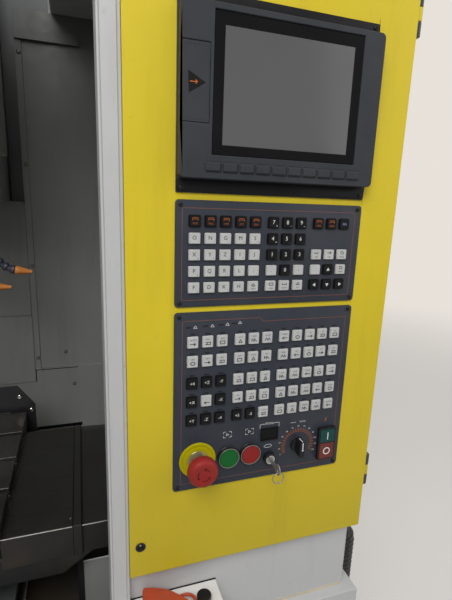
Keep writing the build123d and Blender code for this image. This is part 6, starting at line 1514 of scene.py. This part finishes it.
@dataclass
class Shell:
    """Sheet enclosure: side and roof sheets, operator box, pillar, base and feet."""

    ledge_z: float = 672.0
    half_width: float = 832.0
    front_y: float = 20.0

    def dress(self, dresser: Dresser) -> None:
        """Finishes every outer sheet and adds seams, sealant and screws."""
        for node in ("left_panel", "right_panel", "roof_panel", "operator_box"):
            dresser.soften(node, Finish.WHITE, 1.2, 2)
        # The shelf takes the lighter white of painted light.
        dresser.soften("front_tray", Finish.SHELF_WHITE, 0.8, 2)
        # Dark strip along the shelf's rear edge: painted shadow of the gap behind it.
        joint = strokes(np.array([[366.0, 771.4, 530.0, 771.4]]), 1.6, (19.9, 17.6))
        dresser.add(joint, "shelf_rear_painted_shadow", Finish.LINE_DARK, "front_tray")
        dresser.soften("door_pillar", Finish.WHITE, 1.4, 3)
        dresser.soften("base_skirt", Finish.WHITE, 1.4, 2)
        dresser.paint("levelling_feet", Finish.PLATED)
        self.lay_tray(dresser)
        self.seal(dresser)
        self.screw(dresser)
        self.join(dresser)
        self.cover_sides(dresser)

    def lay_tray(self, dresser: Dresser) -> None:
        """Dark chip tray liner over the white floor inside, and a sheet of painted shade, in darker white, over
        the white wall behind it.
        """
        total = []
        for x0, x1 in ((-826.0, -146.0), (146.0, 826.0)):
            middle = ((x0 + x1) / 2, 0.0)
            y0, y1 = 96.0, 780.0
            outline = rounded_outline(x1 - x0, y1 - y0, 6.0, 3)
            rings = []
            for inset, z in ((0.0, 563.05), (0.0, 564.0), (1.0, 564.4)):
                ring = outline * (1 - 2 * inset / (x1 - x0))
                x, y = middle[0] + ring[:, 0], (y0 + y1) / 2 + ring[:, 1]
                rings.append(np.column_stack([x, y, np.full(len(ring), z)]))
            liner = Surface.grid(np.stack(rings))
            total.append(liner)
        dresser.add(joined(total), "tray_liner", Finish.TRAY_SHEET, "base_skirt")
        # Darker white sheet over the tray's white wall: painted shade.
        inner = front_block((0.0, 637.0), (544.0, 146.0), 0.6, [(0, 200.4), (0, 199.3)], 2)
        inner = inner.repeated([(-552.0, 0.0, 0.0), (552.0, 0.0, 0.0)])
        dresser.add(inner, "tray_wall_painted_shade", Finish.INNER_WHITE, "base_skirt")
        bars, lips = [], []
        for x in (-275.0, 275.0):
            bar = front_block((x, 667.0), (13.0, 206.0), 1.0, [(0, 205.0), (0, 197.0)], 2)
            bars.append(bar)
            lip = front_block((math.copysign(139.6, x), 583.0), (4.4, 44.0), 0.4, [(0, 985.0), (0, 90.0)], 2)
            lips.append(lip)
        dresser.add(joined(bars), "tray_posts", Finish.GUARD_BLACK, "base_skirt")
        dresser.add(joined(lips), "tray_lips", Finish.TRAY_SHEET, "base_skirt")

    def seal(self, dresser: Dresser) -> None:
        """Beads of sealant along the joint of shell and ledge."""
        rng = np.random.default_rng(SEED)
        beads = []
        runs = (
            ((334.0, self.front_y + 0.6), (self.half_width - 4, self.front_y + 0.6)),
            ((self.half_width + 0.4, self.front_y + 6), (self.half_width + 0.4, 1476.0)),
            ((-self.half_width - 0.4, self.front_y + 6), (-self.half_width - 0.4, 1476.0)),
        )
        for start, end in runs:
            steps = 90
            share = np.linspace(0, 1, steps)[:, None]
            path = np.hstack(
                [np.array(start) * (1 - share) + np.array(end) * share, np.full((steps, 1), self.ledge_z)]
            )
            thick = 3.0 + 0.7 * np.convolve(rng.standard_normal(steps), np.ones(5) / 5, "same")
            outline = circle_outline(1.0, 10)[None] * thick[:, None, None]
            bead = sweep(path, outline, (0, 0, 1))
            beads.append(bead)
        dresser.add(joined(beads), "sealant_beads", Finish.SEALANT, "base_skirt", smooth=60)

    def screw(self, dresser: Dresser) -> None:
        """Pan-head screws along the roof's edge and down the rear flanges."""
        head = [
            (0.2, -0.4), (5.0, -0.4), (5.0, 0.9), (4.2, 2.2), (2.6, 3.0), (1.4, 3.0), (1.4, 1.6), (0.0, 1.6)
        ]
        up = []
        for x in np.linspace(-780, 780, 9):
            for y in (42.0, 1462.0):
                if y < 60 and x < 335:
                    continue
                screw = lathe(head, (x, y, 2060.0), (0, 0, 1), 18)
                up.append(screw)
        dresser.add(joined(up), "roof_screws", Finish.PLATED, "roof_panel", smooth=26)
        side = []
        for z in np.linspace(740, 1990, 6):
            for y in (80.0, 1440.0):
                for sign in (-1, 1):
                    if sign > 0 and y < 100 and z < 800:
                        continue
                    screw = lathe(head, (sign * self.half_width, y, z), (sign, 0, 0), 18)
                    side.append(screw)
        dresser.add(joined(side), "side_screws", Finish.PLATED, "left_panel", smooth=26)

    def join(self, dresser: Dresser) -> None:
        """Seams of the welded skirt: shallow raised joint strips on its front."""
        edge = [(0, -4.6), (0, -5.8), (0.8, -6.4)]
        strips = [front_block((x, 370.0), (26.0, 560.0), 2.0, edge, 3) for x in (-430.0, 430.0)]
        dresser.add(joined(strips), "skirt_joints", Finish.WHITE, "base_skirt")

    def cover_sides(self, dresser: Dresser) -> None:
        """Service hatch with a dark seam, louvres and two turn locks on each side sheet."""
        wall = -self.half_width
        for node, sign in (("right_panel", 1), ("left_panel", -1)):
            middle = (sign * 760.0, 1260.0)
            seam = front_block(middle, (666.0, 786.0), 15.0, [(0, wall + 0.3), (0, wall - 0.5)], 5)
            edge = [(0, wall + 0.3), (0, wall - 2.4), (0.8, wall - 3.0)]
            hatch = front_block(middle, (660.0, 780.0), 12.0, edge, 5)
            slot = front_block((middle[0], 930.0), (300.0, 7.0), 3.4, [(0, wall - 2.8), (0, wall - 3.3)], 4)
            slots = slot.repeated([(0, 0, 18.0 * row) for row in range(8)])
            profile = [(0.2, 2.8), (13.0, 2.8), (13.0, 5.0), (11.0, 6.5), (5.0, 6.5), (0.0, 6.0)]
            lock = lathe(profile, (middle[0] - sign * 300.0, wall, 1010.0), (0, -1, 0), 28)
            locks = lock.repeated([(0, 0, 0), (0, 0, 500.0)])
            for piece, name, finish in (
                (seam, "hatch_seam", Finish.LINE_DARK),
                (hatch, "hatch", Finish.WHITE),
                (slots, "hatch_louvres", Finish.LINE_DARK),
                (locks, "hatch_locks", Finish.BLACK_PLASTIC),
            ):
                dresser.add(piece.turned(sign * 90, (0, 0, 1), (0, 0, 0)), f"{node}_{name}", finish, node)


@dataclass
class SlidingDoors:
    """Two-leaf sliding door with its windows, gaskets and handle."""

    window_x: float = -619.5
    window_half: float = 117.5
    window_z: tuple[float, float] = (1130.0, 1760.0)
    face_y: float = 12.0
    handle: tuple[float, float, float] = (-467.0, -26.0, 1330.0)

    def dress(self, dresser: Dresser) -> None:
        """Finishes both leaves and seats the pane in a rubber gasket."""
        dresser.soften("front_door_leaf", Finish.WHITE, 1.2, 2)
        dresser.soften("rear_door_leaf", Finish.WHITE, 1.2, 2)
        dresser.soften("front_door_window", Finish.PANE, 0.5, 2)
        centre = (self.window_x, sum(self.window_z) / 2)
        size = (2 * self.window_half + 24, self.window_z[1] - self.window_z[0] + 24)
        gasket = flat_frame(centre, size, 16.0, 16.0, (self.face_y + 0.3, self.face_y - 3.0))
        dresser.add(gasket, "window_gasket", Finish.RUBBER, "front_door_leaf")
        grip = [(0.2, -150.2), (9.0, -150.2), (11.3, -147.0), (11.3, 147.0), (9.0, 150.2), (0.0, 150.2)]
        dresser.add(
            lathe(grip, self.handle, (0, 0, 1), 32), "door_handle_grip", Finish.PLATED, "front_door_leaf"
        )


@dataclass
class WorkArea:
    """Inside of the enclosure: back wall, table, way covers and guard."""

    wall_screw_z: tuple[float, ...] = (1934.0, 1600.0, 1266.0, 932.0)
    ledge_screws: tuple[tuple[float, float], ...] = ((236.0, 947.0), (261.0, 823.0))
    guard_bolts: tuple[tuple[float, float], ...] = ((42.0, 910.0), (12.0, 864.0))
    cover_front_y: float = 159.0
    cover_top_z: float = 840.0
    cover_step: float = 4.0
    wiper_width: float = 19.5

    def dress(self, dresser: Dresser) -> None:
        """Finishes the parts that stand in coolant and chips."""
        # The back wall takes the darker white of painted shade.
        dresser.soften("back_wall", Finish.INNER_WHITE, 1.0, 2)
        self.bolt(dresser)
        dresser.soften("table", Finish.TABLE_TOP, 0.8, 2)
        dresser.soften("rear_guard", Finish.GUARD_BLACK, 0.8, 2)
        # The saddle takes the near-black casting paint of painted shade.
        dresser.soften("saddle", Finish.SADDLE_PAINT, 1.6, 2)
        self.trim_covers(dresser)
        for side in ("right", "left"):
            for index in range(1, 5):
                dresser.soften(f"{side}_cover_{index}", Finish.COVER_SHEET, 0.5, 2)
        for node in ("base_casting", "column"):
            dresser.soften(node, Finish.CASTING, 2.2, 2)
        for node in ("x_motor", "y_motor", "z_motor"):
            dresser.soften(node, Finish.MOTOR, 2.0, 3)

    def bolt(self, dresser: Dresser) -> None:
        """Dark screw heads on the back wall and bright bolt heads on the guard's brackets."""
        head = [(0.2, 0.0), (6.3, 0.0), (6.3, 2.4), (5.3, 4.1), (3.2, 4.4), (3.0, 2.6), (0.0, 2.6)]
        total = []
        places = [(142.0, 944.0, z) for z in self.wall_screw_z]
        places += [(x, 950.0 if z > 890 else 941.0, z) for x, z in self.ledge_screws]
        for x, y, z in places:
            for sign in (-1, 1):
                screw = lathe(head, (sign * x, y, z), (0, -1, 0), 24)
                total.append(screw)
        dresser.add(joined(total), "wall_screws", Finish.SCREW_DARK, "back_wall", smooth=26)
        low, high = (corner / MILLIMETRE + MODEL_CENTRE for corner in map(np.array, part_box("rear_guard")))
        head = [(0.2, 3.0), (6.3, 3.0), (6.3, 4.6), (5.0, 5.6), (0.0, 5.8)]
        bolts = []
        for inset, z in self.guard_bolts:
            for x in (low[0] + inset, high[0] - inset):
                bolts.append(lathe(head, (x, 672.0, z), (0, -1, 0), 20))
        dresser.add(joined(bolts), "guard_bolts", Finish.PLATED, "rear_guard", smooth=26)
        # Centre panel in the darker white of painted shade.
        panel = front_block((0, 966.5), (262.0, 247.0), 1.0, [(0, 944.2), (0, 938.6), (0.8, 938.0)], 2)
        dresser.add(panel, "centre_panel", Finish.INNER_WHITE, "back_wall")
        # Dark strokes on the wall: painted shadow in the gaps beside and under the centre panel's ledge, and a
        # wide painted shadow along the wall's foot over the covers.
        shadow_strokes = [[sign * 133.0, 843.0, sign * 133.0, 889.0] for sign in (-1, 1)]
        shadow_strokes += [[-276.0, 886.6, 276.0, 886.6]]
        shadow_strokes = strokes(np.array(shadow_strokes), 3.0, (941.3, 940.7))
        foot = strokes(np.array([[-277.0, 655.0, 277.0, 655.0]]), 13.0, (941.3, 940.7))
        dresser.add(shadow_strokes + foot, "wall_painted_shadows", Finish.LINE_DARK, "back_wall")

    def trim_covers(self, dresser: Dresser) -> None:
        """Near-black front face on each cover, painted shade with some oil stain, and a bright plated strip
        along its folded edge, a painted highlight; wiper lines and a rivet on the first.
        """
        for side, sign in (("right", 1), ("left", -1)):
            for nest in range(4):
                node = f"{side}_cover_{nest + 1}"
                low, high = (corner / MILLIMETRE + MODEL_CENTRE for corner in map(np.array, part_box(node)))
                far = high[0] if sign > 0 else low[0]
                near = low[0] if sign > 0 else high[0]
                end = far - sign * (self.wiper_width if nest == 0 else 0.5)
                x, width = (near + end) / 2, abs(end - near) - 1.0
                y = self.cover_front_y + self.cover_step * nest
                top = self.cover_top_z - self.cover_step * nest
                middle, size = (x, (top + 767.0) / 2), (width, top - 773.0)
                # Near-black front face: painted shade.
                face = front_block(middle, size, 0.4, [(0, y + 0.5), (0, y - 0.25)], 2)
                dresser.add(face, f"{node}_face", Finish.COVER_FACE, node)
                # Bright plated strip along the folded edge: painted highlight.
                fold_highlight = front_block((x, top - 0.9), (width, 2.2), 0.8, [(0, y + 1.0), (0, y - 0.4)], 2)
                dresser.add(fold_highlight, f"{node}_fold", Finish.PLATED, node)
                if nest == 0:
                    # The wiper's face band takes the same painted shade.
                    band = front_block(
                        (far - sign * 9.6, 805.0), (14.0, 70.0), 0.4, [(0, 158.0), (0, 157.5)], 2
                    )
                    dresser.add(band, f"{side}_wiper_face", Finish.COVER_FACE, node)
            near = (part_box(f"{side}_cover_1")[1 if sign > 0 else 0][0]) / MILLIMETRE + MODEL_CENTRE[0]
            front_edge = [(157.6, 771.0), (157.6, 806.0), (157.6, 841.3)]
            path = np.array(front_edge + [(365.0, 841.3), (572.0, 841.3), (655.0, 801.0)])
            lines = []
            for x in (near - sign * 1.2, near - sign * 18.2):
                run = np.column_stack([np.full(len(path), x), path])
                line = sweep(run, np.array([(-0.5, -1.1), (0.5, -1.1), (0.5, 1.1), (-0.5, 1.1)]), (1, 0, 0))
                lines.append(line)
            dresser.add(joined(lines), f"{side}_wiper_lines", Finish.LINE_DARK, f"{side}_cover_1")
            dome = [(0.2, -0.5), (3.4, -0.5), (3.0, 1.2), (1.4, 2.0), (0.0, 2.1)]
            rivet = lathe(dome, (near - sign * 23.0, 184.0, 840.0), (0, 0, 1), 18)
            dresser.add(rivet, f"{side}_cover_rivet", Finish.PLATED, f"{side}_cover_1")


@dataclass
class SpindleHead:
    """Head casting, motor, spindle, coolant nozzles and the way cover behind."""

    seat: tuple[float, float, float] = (89.0, 485.0, 1414.0)
    bends: tuple[tuple[tuple[float, float], ...], ...] = (((103, 1330), (153, 1323)), ((70, 1284), (104, 1283)))
    links: int = 7

    def dress(self, dresser: Dresser) -> None:
        """Finishes the head and lays jointed hoses over the plain nozzles."""
        dresser.soften("spindle_head", Finish.HEAD_PAINT, 2.0, 3)
        dresser.soften("spindle_motor", Finish.MOTOR, 2.0, 3)
        # The way cover behind the head takes the darker white of painted shade.
        dresser.soften("z_cover", Finish.INNER_WHITE, 0.6, 2)
        dresser.soften("spindle", Finish.TURNED, 0.5, 2)
        for node in ("x_screw", "y_screw", "z_screw"):
            dresser.paint(node, Finish.GROUND)
        self.lay_hoses(dresser)

    def route(self, first: tuple[float, float], second: tuple[float, float], count: int) -> np.ndarray:
        """Bezier curve (1-t)^2 a + 2t(1-t) b + t^2 c from the seat, at the nozzles' depth."""
        share = np.linspace(0, 1, count)[:, None]
        start = np.array([self.seat[0], self.seat[2]])
        flat = (1 - share) ** 2 * start + 2 * share * (1 - share) * np.array(first)
        flat = flat + share**2 * np.array(second)
        return np.column_stack([flat[:, 0], np.full(count, self.seat[1]), flat[:, 1]])

    def lay_hoses(self, dresser: Dresser) -> None:
        """Segmented hoses: a ball and a flared cup for each joint, and a tapered tip."""
        link = [
            (6.6, -7.4), (8.6, -6.6), (10.2, -4.4), (10.9, -1.6),
            (10.9, 1.4), (9.4, 3.0), (8.2, 3.4), (8.0, 6.6),
        ]
        tip = [(8.4, -4.0), (10.2, -2.0), (10.4, 4.0), (9.2, 7.0), (5.0, 26.0), (4.1, 34.0), (2.4, 34.0)]
        tip += [(2.4, 6.0), (0, 6)]
        hoses, tips = [], []
        for first, second in self.bends:
            path = self.route(first, second, 121)
            lengths = np.concatenate([[0], np.cumsum(np.linalg.norm(np.diff(path, axis=0), axis=1))])
            tangents = unit(np.gradient(path, axis=0))
            for distance in (np.arange(self.links) + 0.5) * lengths[-1] / self.links:
                at = int(np.searchsorted(lengths, distance))
                joint = lathe(link, path[at], tangents[at], 28)
                hoses.append(joint)
            core = sweep(path[::6], circle_outline(7.6, 18), (0, 1, 0))
            hoses.append(core)
            end = lathe(tip, path[-1], tangents[-1], 28)
            tips.append(end)
        dresser.add(
            joined(hoses), "coolant_hoses", Finish.HOSE_NAVY, "coolant_nozzles", ("coolant_nozzles",), 40
        )
        dresser.add(joined(tips), "coolant_tips", Finish.NOZZLE_ORANGE, "coolant_nozzles", smooth=30)


@dataclass
class Conduit:
    """Corrugated conduit that runs from the side sheet down into the base."""

    y: float = 85.0
    points: tuple[tuple[float, float], ...] = ((832.0, 751.0), (880.0, 751.0), (880.0, 703.0), (880.0, 500.0))
    outer: float = 21.0
    inner: float = 16.6
    pitch: float = 12.0
    foot_radius: float = 21.8

    def centre_line(self) -> np.ndarray:
        """Points read from the route's NURBS spline, in machine millimetres."""
        curve = bpy.data.curves.new("conduit_route", "CURVE")
        curve.dimensions = "3D"
        spline = curve.splines.new("NURBS")
        spline.points.add(len(self.points) - 1)
        placed = in_model(np.array([[x, self.y, z] for x, z in self.points]))
        spline.points.foreach_set("co", np.column_stack([placed, np.ones(len(placed))]).ravel())
        spline.order_u = 3
        spline.use_endpoint_u = True
        spline.resolution_u = 48
        holder = bpy.data.objects.new("conduit_route", curve)
        bpy.context.scene.collection.objects.link(holder)
        graph = bpy.context.evaluated_depsgraph_get()
        mesh = bpy.data.meshes.new_from_object(holder.evaluated_get(graph))
        found = np.empty(len(mesh.vertices) * 3)
        mesh.vertices.foreach_get("co", found)
        bpy.data.objects.remove(holder)
        bpy.data.meshes.remove(mesh)
        return found.reshape(-1, 3) / MILLIMETRE + MODEL_CENTRE

    def dress(self, dresser: Dresser) -> None:
        """Corrugated tube: radius follows |cos| of the length, so that ridges are round."""
        line = self.centre_line()
        lengths = np.concatenate([[0], np.cumsum(np.linalg.norm(np.diff(line, axis=0), axis=1))])
        per_ridge = 8
        count = int(lengths[-1] / self.pitch) * per_ridge + 1
        wanted = np.linspace(0, lengths[-1], count)
        path = np.column_stack([np.interp(wanted, lengths, line[:, axis]) for axis in range(3)])
        phase = np.arange(count) / per_ridge
        bulge = np.abs(np.cos(np.pi * phase)) ** 0.6
        radii = self.inner + (self.outer - self.inner) * bulge
        outline = circle_outline(1.0, 32)[None] * radii[:, None, None]
        tube = sweep(path, outline, (0, 1, 0))
        dresser.add(tube, "corrugated_conduit", Finish.CONDUIT, "cable_conduit", ("cable_conduit",), 70)
        collar = [(15.0, -6.0), (26.0, -6.0), (29.0, -3.0), (29.0, 5.0), (27.0, 8.0), (22.0, 9.0)]
        collar += [(15.0, 9.0), (15.0, -6.0)]
        seat = (832.0, self.y, 751.0)
        dresser.add(
            lathe(collar, seat, (1, 0, 0), 36), "conduit_gland", Finish.BLACK_PLASTIC, "cable_conduit"
        )
        collar = [(min(radius, self.foot_radius), height) for radius, height in collar]
        foot = (880.0, self.y, 500.0)
        dresser.add(
            lathe(collar, foot, (0, 0, 1), 36), "conduit_foot_gland", Finish.BLACK_PLASTIC, "cable_conduit"
        )


@dataclass
class AirGun:
    """Orange air gun on the front tray, and the black knob beside it."""

    outline: tuple[tuple[float, float], ...] = (
        (385, 15), (431, -2), (468, -40), (478, -78), (456, -94), (438, -58), (408, -30), (384, -22)
    )
    levels: tuple[tuple[float, float], ...] = (
        (1.0, 771.2), (0.0, 772.6), (0.0, 795.4), (0.5, 797.4), (1.2, 799.0), (1.9, 799.8)
    )
    loop: tuple[float, float, float] = (460.0, -26.0, 785.5)
    loop_radii: tuple[float, float, float] = (17.0, 14.0, 3.0)
    knob_seat: tuple[float, float, float] = (495.0, -24.0, 771.0)

    def dress(self, dresser: Dresser) -> None:
        """Moulded body, its trigger loop and the knob over the shelf's pin."""
        dresser.add(self.body(), "air_gun_shell", Finish.GUN_ORANGE, "air_gun", ("air_gun",), 24)
        dresser.add(self.trigger_loop(), "air_gun_loop", Finish.GUN_ORANGE, "air_gun", smooth=60)
        knob = [(0.2, 0.3), (13.6, 0.3), (13.6, 15.6), (12.6, 17.0), (8.0, 17.8), (0.0, 18.0)]
        turned = lathe(knob, self.knob_seat, (0, 0, 1), 32)
        dresser.add(turned, "shelf_knob", Finish.BLACK_PLASTIC, "front_tray")

    def body(self) -> Surface:
        """Rings of the outline with cut corners, each moved inwards along its normals: p + d n."""
        ring = np.asarray(self.outline, dtype=float)
        for cut in (0.14, 0.25, 0.25):
            following = np.roll(ring, -1, axis=0)
            pairs = [(1 - cut) * ring + cut * following, cut * ring + (1 - cut) * following]
            ring = np.stack(pairs, axis=1).reshape(-1, 2)
        run = unit(np.roll(ring, -1, axis=0) - np.roll(ring, 1, axis=0))
        inward = np.column_stack([run[:, 1], -run[:, 0]])
        rings = [np.column_stack([ring + inset * inward, np.full(len(ring), z)]) for inset, z in self.levels]
        return Surface.grid(np.stack(rings))

    def trigger_loop(self) -> Surface:
        """Oval ring tube: c + ((a + r cos v) cos u, (b + r cos v) sin u, r sin v)."""
        along = np.linspace(0, 2 * math.pi, 48, endpoint=False)[:, None]
        around = np.linspace(0, 2 * math.pi, 12, endpoint=False)[None]
        wide, deep, thick = self.loop_radii
        shape = [
            (wide + thick * np.cos(around)) * np.cos(along),
            (deep + thick * np.cos(around)) * np.sin(along),
            thick * np.sin(around) * np.ones_like(along),
        ]
        return Surface.grid(np.array(self.loop) + np.stack(shape, axis=-1), round_u=True)


@dataclass
class Cabinet:
    """Electrical cabinet at the back, its door, and the coolant tank beside the bed."""

    def dress(self, dresser: Dresser) -> None:
        """Finishes cabinet and tank."""
        dresser.soften("electrical_cabinet", Finish.WHITE, 1.0, 2)
        dresser.soften("cabinet_door", Finish.WHITE, 1.2, 2)
        dresser.soften("coolant_tank", Finish.TANK_GREY, 1.0, 2)
        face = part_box("cabinet_door")[1][1] / MILLIMETRE + MODEL_CENTRE[1]
        heights = np.arange(860.0, 1080.0, 20.0)
        rows = [[x - 125.0, z, x + 125.0, z] for x in (-430.0, 430.0) for z in heights]
        slots = strokes(np.array(rows), 5.0, (face + 0.05, face - 0.4))
        barrel = [(0.2, -0.4), (14.0, -0.4), (14.0, 0.05), (0.0, 0.05)]
        locks = []
        for z in (900.0, 1330.0, 1760.0):
            locks.append(lathe(barrel, (-735.0, face, z), (0, 1, 0), 28))
        dresser.add(slots, "cabinet_louvres", Finish.LINE_DARK, "cabinet_door")
        dresser.add(joined(locks), "cabinet_locks", Finish.BLACK_PLASTIC, "cabinet_door")


@dataclass
class Studio:
    """Plain pale floor, soft lamps and the camera at the photograph's place."""

    eye: tuple[float, float, float] = (0.2775, -1.4964, 1.4996)
    forward: tuple[float, float, float] = (0.3171, 0.9226, -0.2198)
    up: tuple[float, float, float] = (0.0372, 0.2195, 0.9749)
    lens: float = 25.8
    backdrop: Colour = (0.80, 0.755, 0.70)
    ambient: float = 0.34

    def build(self) -> None:
        """Makes floor, world, lamps and camera."""
        self.place_camera()
        self.lay_floor()
        self.light()

    def place_camera(self) -> None:
        """Camera whose columns are right, up and back of the view."""
        data = bpy.data.cameras.new("camera")
        data.lens = self.lens
        data.sensor_width = 36.0
        data.clip_start = 0.05
        back = -unit(np.array(self.forward))
        side = unit(np.cross(np.array(self.up), back))
        top = np.cross(back, side)
        camera = bpy.data.objects.new("camera", data)
        turn = Matrix(np.column_stack([side, top, back])).to_4x4()
        camera.matrix_world = Matrix.Translation(self.eye) @ turn
        bpy.context.scene.collection.objects.link(camera)
        bpy.context.scene.camera = camera

    def lay_floor(self) -> None:
        """Pale matt floor, 16 m across, that runs into the backdrop's colour far from the machine."""
        mesh = bpy.data.meshes.new("floor")
        half = 8.0
        corners = [(-half, -half, 0), (half, -half, 0), (half, half, 0), (-half, half, 0)]
        mesh.from_pydata(corners, [], [(0, 1, 2, 3)])
        floor = bpy.data.objects.new("floor", mesh)
        bpy.context.scene.collection.objects.link(floor)
        board = NodeBoard("studio_floor")
        seen = self.seen_share(board.tree)
        place = board.tree.nodes.new("ShaderNodeTexCoord").outputs["Object"]
        length = board.tree.nodes.new("ShaderNodeVectorMath")
        length.operation = "LENGTH"
        board.feed(length.inputs[0], place)
        far = board.tree.nodes.new("ShaderNodeMapRange")
        far.interpolation_type = "SMOOTHSTEP"
        board.feed(far.inputs["Value"], length.outputs["Value"])
        far.inputs["From Min"].default_value = 2.6
        far.inputs["From Max"].default_value = 7.0
        share = far.outputs["Result"]
        near_glow = 0.34
        glow = board.math("ADD", near_glow, board.math("MULTIPLY", share, 1.0 - near_glow))
        board.shade(
            Base_Color=board.mix(share, (0.56, 0.545, 0.52), (0.0, 0.0, 0.0)),
            Roughness=0.9,
            Specular_IOR_Level=0.0,
            Emission_Color=self.backdrop,
            Emission_Strength=board.math("MULTIPLY", glow, seen),
        )
        mesh.materials.append(board.material)

    def seen_share(self, tree: bpy.types.NodeTree) -> bpy.types.NodeSocket:
        """One for camera, mirror and transmission rays, zero for the rays that light the machine."""
        path = tree.nodes.new("ShaderNodeLightPath")
        total = path.outputs["Is Camera Ray"]
        for name in ("Is Glossy Ray", "Is Transmission Ray"):
            most = tree.nodes.new("ShaderNodeMath")
            most.operation = "MAXIMUM"
            tree.links.new(total, most.inputs[0])
            tree.links.new(path.outputs[name], most.inputs[1])
            total = most.outputs[0]
        return total

    def light(self) -> None:
        """Even dim world with a pale backdrop, and wide soft lamps round the machine."""
        world = bpy.data.worlds.new("studio")
        world.use_nodes = True
        tree = world.node_tree
        output = tree.nodes["World Output"]
        dim = tree.nodes["Background"]
        dim.inputs["Color"].default_value = (0.95, 0.96, 1.0, 1)
        dim.inputs["Strength"].default_value = self.ambient
        pale = tree.nodes.new("ShaderNodeBackground")
        pale.inputs["Color"].default_value = (*self.backdrop, 1)
        blend = tree.nodes.new("ShaderNodeMixShader")
        tree.links.new(self.seen_share(tree), blend.inputs[0])
        tree.links.new(dim.outputs[0], blend.inputs[1])
        tree.links.new(pale.outputs[0], blend.inputs[2])
        tree.links.new(blend.outputs[0], output.inputs["Surface"])
        bpy.context.scene.world = world
        for name, place, target, size, power in (
            ("key_lamp", (-0.5, -2.7, 3.4), (0.3, -0.84, 1.6), 1.8, 66.0),
            ("right_lamp", (3.5, -2.5, 2.8), (0.5, -0.4, 1.3), 2.4, 22.0),
            ("left_lamp", (-3.8, 0.9, 2.9), (-0.4, 0.6, 1.2), 2.0, 34.0),
            ("rear_lamp", (-0.8, 4.0, 3.9), (0.0, 0.9, 1.3), 2.4, 60.0),
        ):
            data = bpy.data.lights.new(name, "AREA")
            data.shape = "SQUARE"
            data.size = size
            data.energy = power
            lamp = bpy.data.objects.new(name, data)
            aim = Vector(target) - Vector(place)
            turn = aim.to_track_quat("-Z", "Y").to_matrix().to_4x4()
            lamp.matrix_world = Matrix.Translation(place) @ turn
            bpy.context.scene.collection.objects.link(lamp)


def main() -> None:
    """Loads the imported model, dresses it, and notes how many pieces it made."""
    logging.basicConfig(level=logging.INFO, format="%(name)s: %(message)s")
    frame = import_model()
    bpy.context.scene.view_settings.view_transform = "Standard"
    Studio().build()
    dresser = Dresser(frame)
    letters = Lettering()
    panel = ControlPanel()
    for assembly in (
        ScreenUnit(panel),
        TypingKeyboard(panel, letters),
        OperatorKeyboard(panel, letters),
        OperatorControls(panel, letters),
        PanelHardware(panel),
        ControlDoor(),
        Shell(),
        SlidingDoors(),
        WorkArea(),
        SpindleHead(),
        Conduit(),
        AirGun(),
        Cabinet(),
    ):
        assembly.dress(dresser)
    LOG.info("%d pieces on the packed model", dresser.made)


if __name__ == "__main__":
    main()
